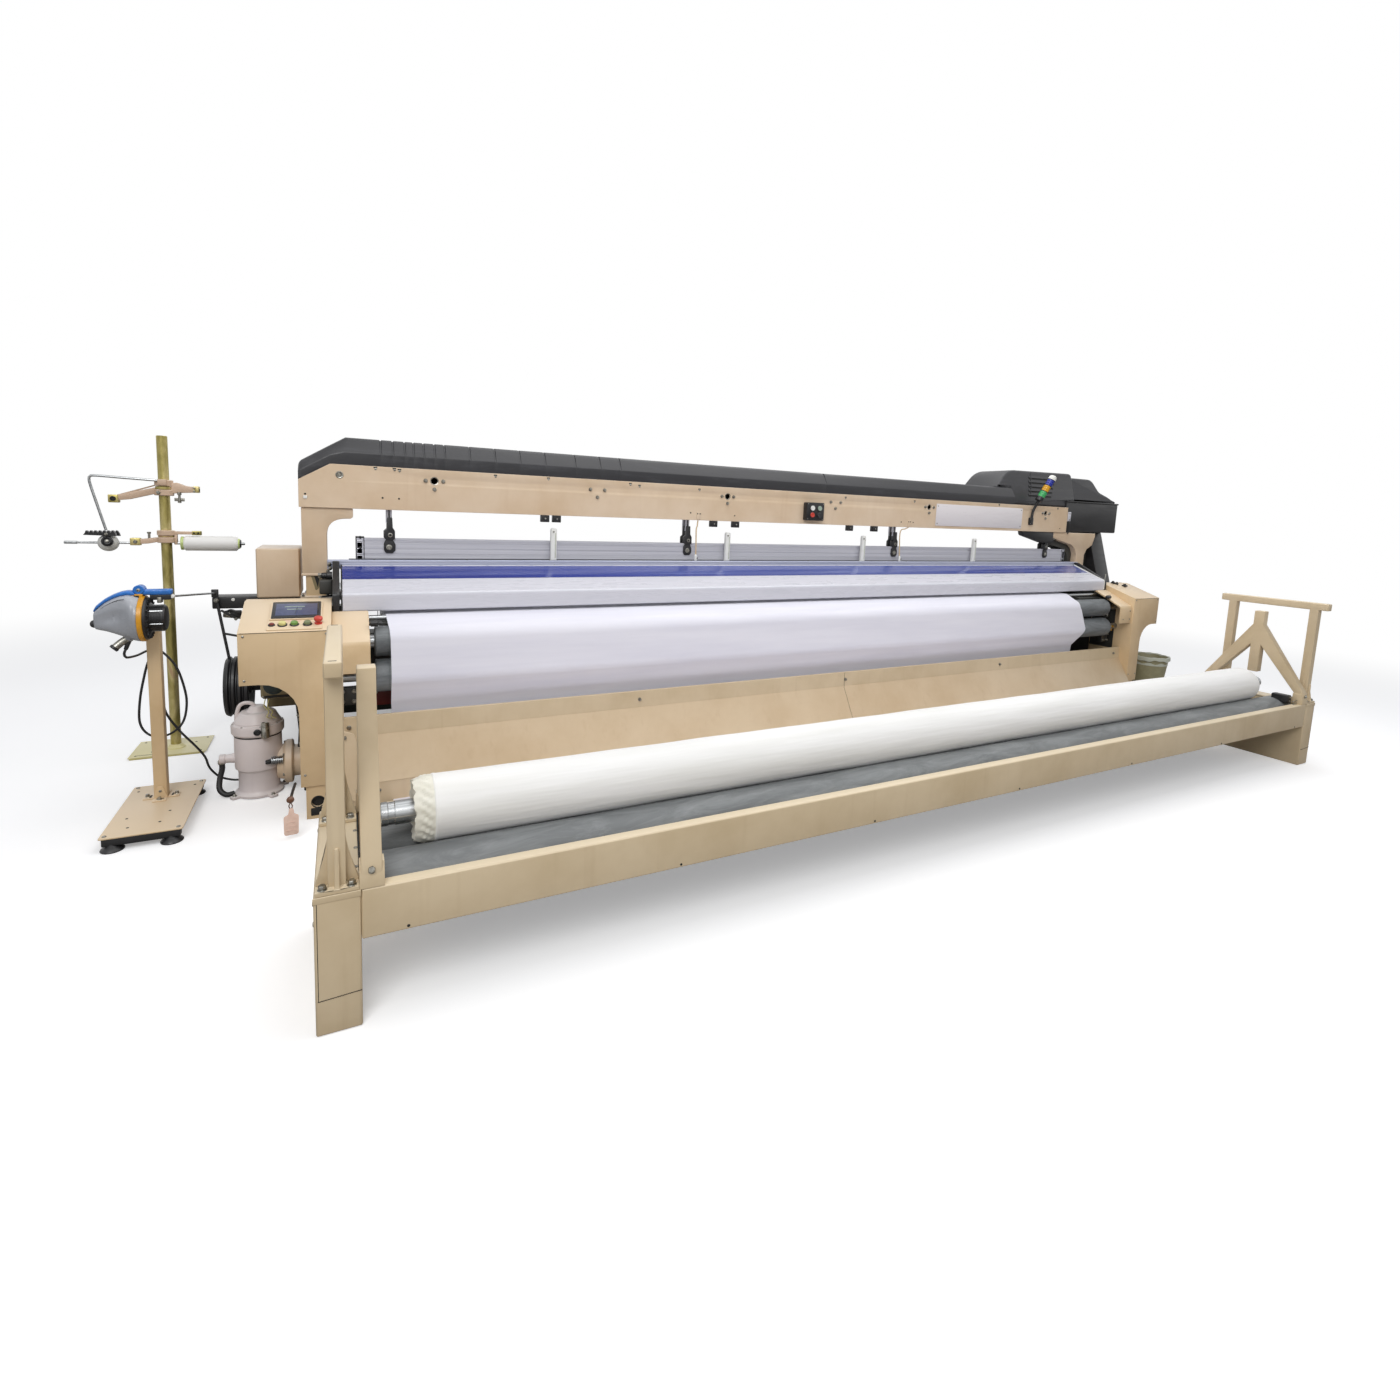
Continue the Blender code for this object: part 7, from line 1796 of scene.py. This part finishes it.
def lower_arm():
    """Arm with the tension device, a grey ball between toothed black clips, and the package's spindle."""
    x, y = POLE
    yield [split_ring(1.182, 1.212, 0.043), split_ring(1.222, 1.25, 0.041)], CREAM_CAST
    yield split_ring(1.2125, 1.2215, 0.037), ZINC
    arm = filleted([(x - 0.15, 1.172), (x - 0.08, 1.176), (x - 0.034, 1.186), (x - 0.034, 1.212),
                    (x - 0.09, 1.204), (x - 0.15, 1.196)], [0.003] * 6, 2)
    yield prism(arm, "Y", y - 0.014, y + 0.014, 0.003), CREAM_CAST
    yield slab((x - 0.158, y - 0.017, 1.166), (x - 0.112, y + 0.017, 1.206), 0.004, "Y"), ZINC
    yield hex_bolt((x - 0.134, y - 0.017, 1.186), FRONT, 0.014), BOLT
    yield lathe(
        mm((0, 0), (6, 0), (6, 30), (9, 32), (9, 40), (0, 41)), (x - 0.075, y - 0.004, 1.2), UP, 14), BOLT
    yield slab((x + 0.034, y - 0.013, 1.229), (x + 0.125, y + 0.013, 1.246), 0.003, "Y"), CREAM_CAST
    yield slab((x + 0.118, y - 0.015, 1.226), (x + 0.161, y + 0.015, 1.249), 0.003, "Y"), ZINC
    yield slab((x + 0.038, y - 0.011, 1.172), (x + 0.051, y + 0.011, 1.232), 0.003, "Z"), CREAM_CAST
    for hx in (x + 0.128, x + 0.148):
        yield dome_screw((hx, y - 0.015, 1.238), FRONT, 0.005), SOCKET
    rod = mm((0, 0), (7.5, 0), (8, 4), (8, 52), (5.8, 54), (5.8, 292), (0, 292))
    yield lathe(rod, (x - 0.434, y, 1.178), RIGHT, 16), STEEL
    ball = [(0.0455 * sin(t), -0.0455 * cos(t)) for t in np.linspace(0, pi, 25)]
    yield lathe(ball, (x - 0.252, y, 1.178), RIGHT, 40), BALL_GREY
    core = mm((0, 0), (23, 0), (26, 4), (26, 12), (18, 18), (14, 11), (8, 11), (0, 9))
    yield lathe(core, (x - 0.247, y - 0.036, 1.186), (0.1, -1, 0.2), 24), ABS_DARK
    yield lathe(
        mm((0, 0), (7, 0), (8, 4), (0, 8)), (x - 0.246, y - 0.048, 1.189), (0.1, -1, 0.2), 12), BOLT
    clip = [(x - 0.345, 1.22), (x - 0.208, 1.216), (x - 0.212, 1.232)]
    for k in range(7):
        u = x - 0.216 - 0.018 * k
        clip += [(u - 0.003, 1.244 - 0.0004 * k), (u - 0.009, 1.246 - 0.0004 * k), (u - 0.013, 1.232)]
    yield prism(clip, "Y", y - 0.044, y - 0.018, 0.0012, 1), ABS_DARK
    yield prism([(u + 0.004, v - 0.002) for u, v in clip], "Y", y + 0.01, y + 0.03, 0.0012, 1), ABS_DARK
    yield hex_bolt((x - 0.25, y - 0.044, 1.226), FRONT, 0.012), BOLT
    spindle = mm((0, 0), (7.8, 0), (7.8, 325), (6, 330), (0, 332))
    yield lathe(spindle, (x + 0.035, y, 1.18), RIGHT, 16), STEEL


dressed("lower_arm", "package_arm", lower_arm(), 30)


def wound_package():
    """Yarn wound on a lime tube: crossed layers show as ridges of 0.6 mm, and both ends are tapered."""
    low, high = corners("yarn_package")
    centre, r = round_of("yarn_package")
    length = high[0] - low[0]
    centre = (low[0], POLE[1], centre[2])
    yarn = [(0.0088, 0.012), (r - 0.008, 0.012), (r - 0.003, 0.018)]
    yarn += [(r - 0.0004 - 0.0006 * (k % 2), 0.022 + (length - 0.048) * k / 60) for k in range(61)]
    yarn += [(r - 0.004, length - 0.02), (r - 0.012, length - 0.014), (0.0088, length - 0.014),
             (0.0088, 0.012)]
    yield lathe(yarn, centre, RIGHT, 40), YARN
    mouth = [(0.0088, 0.006), (r - 0.013, 0.006), (r - 0.01, 0.0005), (r - 0.005, 0.0), (r - 0.004, 0.004),
             (r - 0.006, 0.013), (0.0088, 0.013), (0.0088, 0.006)]
    yield lathe(mouth, centre, RIGHT, 36), LIME
    yield lathe([(0.0088, 0.003), (r - 0.0105, 0.003), (r - 0.0105, 0.0075), (0.0088, 0.0075),
                 (0.0088, 0.003)], centre, RIGHT, 30), SOCKET
    tip = [(0.0088, length - 0.016), (r - 0.012, length - 0.0155), (r - 0.014, length - 0.006),
           (0.0088, length - 0.006), (0.0088, length - 0.016)]
    yield lathe(tip, centre, RIGHT, 30), LIME
    nose = [(0.0088, length - 0.007), (0.024, length - 0.0065), (0.022, length - 0.001), (0.0088, length),
            (0.0088, length - 0.007)]
    yield lathe(nose, centre, RIGHT, 24), ABS_DARK


dressed("wound_package", "yarn_package", wound_package())


# Winding unit: feet, bolts and seams

def guard_feet():
    """Gusset plates and bolts at the feet of the hand guards, slots in their rails, the wedge blocks
    at the feet of the roll guides, and the seams of the end boxes."""
    plates, bolts, dark = [], [], []
    for node in ("left_hand_guard", "right_hand_guard"):
        low, high = corners(node)
        x = (low[0] + high[0]) / 2
        for y, top in ((-2.312, 0.548), (-1.871, 0.565)):
            for side in (-1, 1):
                wing = filleted(
                    [(x + side * 0.02, 0.4168), (x + side * 0.053, 0.4168), (x + side * 0.053, 0.424),
                     (x + side * 0.029, top - 0.045), (x + side * 0.0228, top), (x + side * 0.02, top)],
                    mm(1, 1, 3, 30, 2, 1), 3)
                plates.append(prism(wing, "Y", y - 0.0045, y + 0.0045, 0.001, 1))
                bolts += hex_bolt((x + side * 0.036, y - 0.027, 0.4164), UP, 0.018)
        for y in (-2.368, -1.815):
            dark.append(slab((x - 0.011, y - 0.003, high[2] - 0.0006),
                             (x + 0.01, y + 0.003, high[2] + 0.0004), 0.002, "Z", 0.0004))
        rib = mm((0, 0), (7, 0), (7, 100), (5, 108), (0, 110))
        plates.append(lathe(rib, (x, -2.3365, 0.4168), UP, 14))
    for node in ("left_roll_guide", "right_roll_guide"):
        low, high = corners(node)
        for front, way in ((low[1], 1), (high[1], -1)):
            wedge = [
                (front - way * 0.003, 0.4046), (front - way * 0.003, 0.436), (front + way * 0.012, 0.47),
                (front + way * 0.052, 0.47), (front + way * 0.052, 0.4046)]
            plates.append(prism(wedge, "X", low[0] - 0.004, high[0] + 0.006, 0.002))
            middle = (low[0] + high[0]) / 2
            bolts += hex_bolt((middle, front + way * 0.0045, 0.4535), (0, -0.915 * way, 0.403), 0.017)
        dark.append(slab((low[0] - 0.004, -2.296, 0.4035), (low[0] + 0.001, -1.85, 0.4062), 0.001, "Y"))
        bolts += [dome_screw((low[0] - 0.01, y, 0.4043), UP, 0.006) for y in (-2.22, -2.1, -1.98)]
    for node, seam in (("winder_left_end", 0.008), ("winder_right_end", 0.108)):
        low, high = corners(node)
        x = low[0] + seam
        dark.append(slab((x - 0.0009, low[1] - 0.0005, 0.106), (x + 0.0009, low[1] + 0.001, 0.386), 0.0006,
                         "Y", 0.0003))
        xs = np.linspace(low[0] + 0.006, high[0] - 0.001, 60)
        bead = np.column_stack([
            xs, np.full(60, low[1]), 0.104 + 0.0012 * np.sin(9 * np.arange(60)) + 0.05 * (xs - low[0])])
        dark.append(tube(bead, 0.0008 + 0.0006 * np.abs(np.sin(1.7 * np.arange(60))), 6))
        plates.append(slab((low[0] - 0.0012, low[1] - 0.0012, 0.386),
                           (high[0], low[1] + 0.003, 0.4046), 0.002, "X"))
        for y in (-2.3, -1.84):
            bolts += [dome_screw((low[0] if seam < 0.05 else high[0], y, z),
                                 (-1 if seam < 0.05 else 1, 0, 0), 0.008) for z in (0.3, 0.36)]
    for node in ("winder_front_beam", "winder_rear_beam"):
        low, high = corners(node)
        for x in np.linspace(low[0] + 0.12, high[0] - 0.12, 7):
            dark.append(
                lathe(mm((0, 0), (4.5, 0), (4.2, -1), (0, -0.8)), (x, low[1], low[2] + 0.012), BACK, 10))
    yield plates, SAND
    yield bolts, BOLT
    yield dark, SOCKET


piece("guard_feet", "loom", guard_feet())


def right_foot_cover():
    """Black cover and thin steel bars beside the right roll guide's foot."""
    yield slab((2.352, -2.3, 0.4048), (2.402, -2.21, 0.455), 0.008, "X"), ABS_DARK
    yield [tube([(2.345, -2.33, 0.408 + 0.018 * k), (2.404, -2.326, 0.41 + 0.018 * k)], 0.003, 8)
           for k in (0, 1)], STEEL
    for z in (0.418, 0.442):
        yield dome_screw((2.377, -2.3, z), FRONT, 0.006), BOLT


piece("right_foot_cover", "loom", right_foot_cover())


# Skirt and bucket

def skirt_fittings():
    """Folded kick plate under the skirt, its screws, and the seam where two sheets meet."""
    path = np.array([(-0.9455, 0.1485), (-0.944, 0.12), (-0.939, 0.07), (-0.934, 0.026)])
    yield sheet_along(path[::-1], 0.004, -3.036, 3.036, 3), PANEL
    for x, z in ((-2.985, 0.392), (-1.5, 0.392), (-0.005, 0.392), (1.512, 0.392), (2.96, 0.392)):
        yield hex_bolt((x, -0.8384, z), FRONT, 0.015), BOLT
    # Sand strip over the upright flange: painted shade, darker than the skirt panel below it.
    flange = mm((-840, 347.5), (-838, 392), (-836, 438.5))
    yield sheet_along(flange, 0.002, -3.046, 3.046, 3), SAND
    for x in (-2.86, -1.4, 0.1, 1.7, 2.86):
        yield dome_screw((x, -0.944, 0.108), FRONT, 0.007), BOLT
    seam = mm((-840.2, 343), (-895, 246.6), (-950.8, 151))
    yield sheet_along(seam, 0.0007, -0.0145, -0.013, 2), SOCKET
    edge = mm((-838, 438), (-840, 392), (-842, 347))
    yield sheet_along(edge, 0.0007, -0.0145, -0.013, 2), SOCKET
    gusset = filleted(
        mm((-3046, 430), (-2965, 400), (-2925, 215), (-2945, 60), (-3046, 140)), mm(3, 12, 30, 6, 3), 3)
    yield prism(gusset, "Y", -0.9655, -0.96, 0.001, 1), PANEL
    yield slab((-3.041, -0.96, 0.15), (-3.029, -0.925, 0.42), 0.002, "Z"), PANEL
    yield hex_bolt((-3.005, -0.9655, 0.385), FRONT, 0.014), BOLT


piece("skirt_fittings", "loom", skirt_fittings())


BUCKET = (3.6, -0.79)


def lined_bucket():
    """Plastic bucket with a rolled lip, and a film liner whose torn rim waves with the angle a as
    6 mm * sin(5 a) + 4 mm * sin(13 a + 1)."""
    x, y = BUCKET
    wall = mm((0, 4), (109, 4), (113, 0), (116, 4), (150.5, 306), (158, 309), (160, 315), (158, 322),
              (150, 325), (146.5, 318), (112.5, 10), (0, 10))
    yield lathe(wall, (x, y, 0), UP, 64), OLIVE
    a = np.linspace(0, 2 * pi, 96, endpoint=False)
    wave = 0.006 * np.sin(5 * a) + 0.004 * np.sin(13 * a + 1)
    rings = []
    for radius, z, share in (
            (0.145, 0.25, 0.0), (0.1465, 0.322, 0.2), (0.152, 0.3275, 0.3), (0.1603, 0.326, 0.3),
            (0.1618, 0.312, 0.5), (0.1622, 0.296, 1.0), (0.1612, 0.296, 1.0), (0.1606, 0.312, 0.5),
            (0.159, 0.3245, 0.3), (0.152, 0.3262, 0.3), (0.1478, 0.321, 0.2), (0.1458, 0.25, 0.0)):
        r = radius + 0.0006 * np.sin(9 * a)
        rings.append(np.column_stack([x + r * np.cos(a), y + r * np.sin(a), z + share * wave]))
    yield ringed(rings), CREAM_SHADE
    for side in (-1, 1):
        yield lathe(mm((0, 0), (12, 0), (13, 4), (8, 8), (0, 8)), (x + side * 0.149, y, 0.285),
                    (side, 0, 0), 16), OLIVE


dressed("lined_bucket", "waste_bucket", lined_bucket(), 30)


# Cabinets and control panel

SLOPE_FOOT = np.array([-0.92, 0.877])
SLOPE_ANGLE = radians(19.28)
SLOPE = np.array([cos(SLOPE_ANGLE), sin(SLOPE_ANGLE)])


def on_slope(shape):
    """The shape drawn flat (Y up the slope, Z off it) set on the cabinet's sloping top."""
    points, quads, caps = shape
    y = SLOPE_FOOT[0] + points[:, 1] * SLOPE[0] - points[:, 2] * SLOPE[1]
    z = SLOPE_FOOT[1] + points[:, 1] * SLOPE[1] + points[:, 2] * SLOPE[0]
    return np.column_stack([points[:, 0], y, z]), quads, caps


def operator_panel():
    """Display in a raised frame with a row of buttons below it."""
    low, high = corners("control_panel")
    yield on_slope(slab((low[0], 0.012, 0.0004), (high[0], 0.27, 0.0045), 0.006, "Z", 0.001)), BEIGE
    yield on_slope(
        slab((low[0] + 0.006, 0.096, 0.003), (high[0] - 0.002, 0.266, 0.0105), 0.005, "Z", 0.002)), BEIGE
    yield on_slope(
        slab((low[0] + 0.012, 0.103, 0.006), (high[0] - 0.008, 0.26, 0.014), 0.004, "Z", 0.002)), ABS_DARK
    yield on_slope(
        slab((low[0] + 0.02, 0.116, 0.011), (high[0] - 0.016, 0.248, 0.0143), 0.002, "Z", 0.0004)), GLASS
    yield on_slope(
        slab((low[0] + 0.027, 0.126, 0.012), (high[0] - 0.023, 0.238, 0.0146), 0.001, "Z", 0.0003)), SCREEN
    for v, half in ((0.205, 0.04), (0.18, 0.03)):
        bar = slab((-3.2 - half, v, 0.014), (-3.2 + half, v + 0.006, 0.0149), 0.001, "Z", 0.0002)
        yield on_slope(bar), LENS_CLEAR
    yield on_slope(slab((-3.245, 0.08, 0.004), (-3.172, 0.093, 0.0062), 0.002, "Z", 0.0006)), PINK
    off = (0, -SLOPE[1], SLOPE[0])
    for x, r, h, cap in ((-3.282, 0.0095, 0.01, DEEP_RED), (-3.241, 0.015, 0.016, CREAM),
                         (-3.195, 0.0145, 0.016, GREEN), (-3.144, 0.0145, 0.016, GREY_GREEN)):
        place = on_slope((np.array([[x, 0.054, 0.0045]]), None, None))[0][0]
        yield lathe([(0, -0.001), (r + 0.004, -0.001), (r + 0.004, 0.003), (r + 0.002, 0.005), (0, 0.005)],
                    place, off, 24), ABS_DARK
        yield lathe([(0, 0.003), (r, 0.003), (r, h * 0.75), (r * 0.9, h * 0.94), (r * 0.5, h), (0, h)],
                    place, off, 28), cap
    place = on_slope((np.array([[-3.101, 0.06, 0.0045]]), None, None))[0][0]
    stop = mm((0, -1), (16, -1), (16, 4), (9.5, 6), (9.5, 14), (16.5, 17), (18.5, 23), (16.5, 30), (9, 33),
              (0, 33.5))
    yield lathe(stop, place, off, 32), RED


dressed("operator_panel", "control_panel", operator_panel(), 30)


CABINET_INNER, CABINET_OUTER, CABINET_FOOT = 3.056, 3.399, 3.1165


def cabinet_fittings():
    """Fold seams, hinges and screws of both cabinets, the dark openings of their feet, the clamps and
    the oil rod on the right one, and the rubber strip between slope and front."""
    dark, bolts, black, beige = [], [], [], []
    for side in (-1, 1):
        inner, outer = sorted((side * CABINET_INNER, side * CABINET_OUTER))
        dark.append(slab((inner, -0.9215, 0.8735), (outer, -0.9195, 0.8757), 0.0008, "X"))
        middle = side * CABINET_FOOT
        dark.append(slab((middle - 0.04, -0.893, 0.0145), (middle + 0.04, -0.86, 0.19), 0.002, "Z"))
        dark.append(
            slab((middle - 0.03, -0.9115, 0.016), (middle + 0.034, -0.9095, 0.052), 0.004, "Y", 0.0004))
        rim = mm((25.5, 4), (25.5, -1.2), (29, -0.6), (29, 1), (25.5, 4))
        black.append(lathe(rim, (middle, -0.91, 0.0795), BACK, 28))
        beige.append(
            slab((side * 3.16 - 0.004, -0.91, 0.0008), (side * 3.16 + 0.004, -0.82, 0.196), 0.002, "Z"))
        bolts += [
            dome_screw((side * x, -0.9204, z), FRONT, 0.0055)
            for x, z in ((3.385, 0.862), (3.07, 0.862), (3.385, 0.668), (3.07, 0.215), (3.165, 0.215))]
        bolts += [dome_screw((side * 3.4052, y, z), (side, 0, 0), 0.006)
                  for y in (-0.86, -0.62) for z in (0.68, 0.86)]
        for z in (0.3, 0.42):
            bolts += hex_bolt((side * 3.1833, -0.72, z), (side, 0, 0), 0.018)
        flange = sorted((side * 2.891, side * 2.8975))
        lip = filleted(mm((-905, 668), (-905, 790), (-895, 811), (-680, 921), (-676, 912), (-888, 803),
                          (-896, 788), (-896, 668)), [0.002] * 8, 1)
        beige.append(prism(lip, "X", *flange, 0.001, 1))
        bolts += [dome_screw((side * x, -0.9054, z), FRONT, 0.006)
                  for x, z in ((2.93, 0.7), (3.02, 0.7), (3.02, 0.77))]
        black += [lathe(mm((0, 0), (16, 0), (16, 30), (11, 34), (11, 48), (0, 50)), (side * 2.885, y, z),
                        (-side, 0, 0), 20) for y, z in ((-0.8, 0.88), (-0.665, 0.63))]
    for x, y, size in ((3.18, -0.64, 0.018), (3.205, -0.66, 0.013), (3.255, -0.7, 0.022)):
        z = 0.9768 if y > -0.637 else SLOPE_FOOT[1] + (y - SLOPE_FOOT[0]) * SLOPE[1] / SLOPE[0]
        black.append(
            slab((x - size, y - size * 0.7, z - 0.001), (x + size, y + size * 0.7, z + 0.014), 0.004, "Z"))
        black.append(lathe([(0, 0), (size * 0.5, 0), (size * 0.55, 0.008), (size * 0.3, 0.011),
                            (0, 0.011)], (x, y, z + 0.013), UP, 14))
    bolts.append(
        lathe(mm((0, 0), (3, 0), (3, 80), (1.5, 83), (0, 83)), (3.115, -0.6, 0.976), (0.15, 0, 1), 8))
    dark.append(slab((-3.19, -0.92, 0.955), (-3.188, -0.64, 0.957), 0.0008, "Y"))
    yield dark, SOCKET
    yield bolts, BOLT
    yield black, ABS_DARK
    yield beige, BEIGE


piece("cabinet_fittings", "loom", cabinet_fittings())


def left_post():
    """Hollow post: upper part with a filleted bracket, a lip, a narrower neck with a painted V shaped
    shadow on a flat patch of painted soft shade, and a foot plate."""
    low, high = corners("left_post")
    front, back = -0.3447, -0.2003
    outline = filleted([(-3.184, 1.07), (-3.184, high[2]), (high[0], high[2]), (high[0], high[2] - 0.053),
                        (-3.071, high[2] - 0.053), (-3.071, 1.07)], mm(5, 5, 6, 20, 94, 5), 8)
    yield prism(outline, "Y", front, back, 0.0035), WALL
    yield slab((-3.189, front - 0.003, 1.062), (-3.066, back, 1.0745), 0.005, "Z"), WALL
    neck = rounded((-3.17, -0.338), (-3.076, -0.205), 0.012)
    yield prism(neck, "Z", 0.956, 1.063, 0.001, 1), BEIGE
    # Flat khaki patch on the neck's front: painted soft shade.
    recess = filleted(mm((-3146, 1061), (-3098, 1061), (-3112, 995), (-3126, 985)), mm(2, 2, 6, 6), 3)
    yield prism(recess, "Y", -0.3388, -0.337, 0.0006, 1), KHAKI
    # Dark V inside it: painted shadow.
    yield prism([(-3.132, 1.06), (-3.106, 1.06), (-3.116, 1.0)], "Y", -0.3392, -0.3375, 0.0004, 1), SOCKET
    yield slab((low[0], low[1], low[2]), (-3.062, back, low[2] + 0.014), 0.006, "Z"), WALL
    for x, y in ((-3.184, -0.345), (-3.074, -0.345)):
        yield hex_bolt((x, y, low[2] + 0.014), UP, 0.012), BOLT


dressed("hollow_post", "left_post", left_post(), 30)


def right_end_castings():
    """Black castings behind the right post, a black plate under the beam's end that is partly machine
    parts and partly painted shade under the bracket, the beam's end bracket, its cables, black sheets
    of painted shade on the cabinets' inner walls, and the journals and fittings beside the take-up rollers."""
    right = filleted(mm((3100, 1225), (3200, 1330), (3235, 1405), (3452, 1405), (3452, 978), (3090, 978),
                        (3110, 1120)), mm(20, 20, 10, 5, 5, 10, 50), 4)
    # The left plate is partly black machine parts and partly painted shade under the bracket.
    left = filleted(mm((2835, 1402), (3066, 1402), (3066, 1000), (2995, 1000), (2985, 1170), (2945, 1262),
                       (2850, 1330)), mm(10, 4, 4, 10, 80, 60, 20), 4)
    yield [prism(right, "Y", -0.192, -0.16, 0.006), prism(left, "Y", -0.196, -0.17, 0.006)], IRON
    for x, z in ((3.16, 1.225), (3.235, 1.34), (3.25, 1.14), (2.96, 1.33), (3.03, 1.16)):
        yield hex_bolt((x, -0.196, z), FRONT, 0.022), BOLT
    yield slab((2.8665, -0.366, 1.515), (2.902, -0.352, 1.6), 0.004, "Y"), ALUMINIUM
    for z in (1.53, 1.585):
        yield dome_screw((2.884, -0.366, z), FRONT, 0.006), BOLT
    for dx, drop in ((0.0, 1.44), (0.012, 1.452)):
        yield tube(
            through([(2.872 + dx, -0.362, 1.52), (2.879 + dx, -0.37, 1.49), (2.884 + dx, -0.366, 1.46),
                     (2.888 + dx, -0.36, drop - 0.04)], 0.012), 0.0045, 8), CABLE
    for x, z in ((2.7, 1.372), (2.735, 1.352), (2.772, 1.368)):
        yield slab((x - 0.013, -0.33, z - 0.03), (x + 0.013, -0.29, z + 0.028), 0.004, "Z"), ABS_DARK
        yield hex_bolt((x, -0.331, z), FRONT, 0.014), BOLT
    # Thin black sheets over both cabinets' inner walls: painted shade of the dark interior.
    liner = mm((-770, 420), (-770, 790), (-690, 850), (-566, 860), (-566, 420))
    for side in (-1, 1):
        yield prism(liner, "X", *sorted((side * 3.047, side * 3.0496)), 0.0006, 1), IRON
        for y, z, r in ((-0.7, 0.7, 0.02), (-0.64, 0.76, 0.014), (-0.72, 0.61, 0.012)):
            boss = [(0, 0), (r, 0), (r, 0.018), (r * 0.7, 0.022), (r * 0.7, 0.04), (0, 0.041)]
            yield lathe(boss, (side * 3.045, y, z), (-side, 0, 0), 18), BOLT
        yield slab(
            (side * 2.985 - 0.045, -0.735, 0.47), (side * 2.985 + 0.045, -0.7, 0.56), 0.006, "Y"), IRON
        for x in (2.96, 3.01):
            for z in (0.49, 0.54):
                yield hex_bolt((side * x, -0.736, z), FRONT, 0.016), BOLT
    fitting = mm((0, 0), (10, 0), (10, 12), (7, 14), (7, 30), (11, 32), (11, 44), (0, 45))
    for x, z, way in (
            (2.955, 0.585, (0, -1, 0.2)), (2.935, 0.605, (-1, -0.4, 0)), (2.975, 0.62, (0, -1, 0))):
        yield lathe(fitting, (x, -0.76, z), way, 14), BRASS


piece("right_end_castings", "loom", right_end_castings())


# Castings, sheet metal and covers that keep their solid's shape

SOFT_EDGES = (
    ("left_cabinet", 0.008, BEIGE), ("right_cabinet", 0.008, BEIGE), ("right_post", 0.006, WALL),
    ("beam_front_plate", 0.003, WALL), ("beam_rear_plate", 0.003, WALL), ("chain_guard", 0.008, ABS_DARK),
    ("left_rear_box", 0.008, WALL), ("belt_guard_arm", 0.004, ABS_DARK), ("left_side_frame", 0.006, IRON),
    ("right_side_frame", 0.006, IRON), ("front_cross_beam", 0.004, IRON),
    ("rear_cross_beam", 0.004, IRON_GREEN), ("front_skirt", 0.001, PANEL),
    ("left_roller_shield", 0.003, BEIGE), ("right_roller_shield", 0.003, BEIGE),
    ("winder_left_end", 0.003, SAND), ("winder_right_end", 0.003, SAND),
    ("winder_front_beam", 0.002, SAND), ("winder_rear_beam", 0.002, SAND),
    ("left_roll_guide", 0.004, SAND), ("right_roll_guide", 0.004, SAND), ("left_hand_guard", 0.004, SAND),
    ("right_hand_guard", 0.004, SAND), ("pump_box", 0.006, KHAKI), ("left_heald_guide", 0.002, IRON),
    ("right_heald_guide", 0.002, IRON))
for node, radius, finish in SOFT_EDGES:
    softened(node, radius, finish)


REST_ROLLER = NODES["back_rest_roller"].data
REST_ROLLER.materials.clear()
REST_ROLLER.materials.append(STEEL)
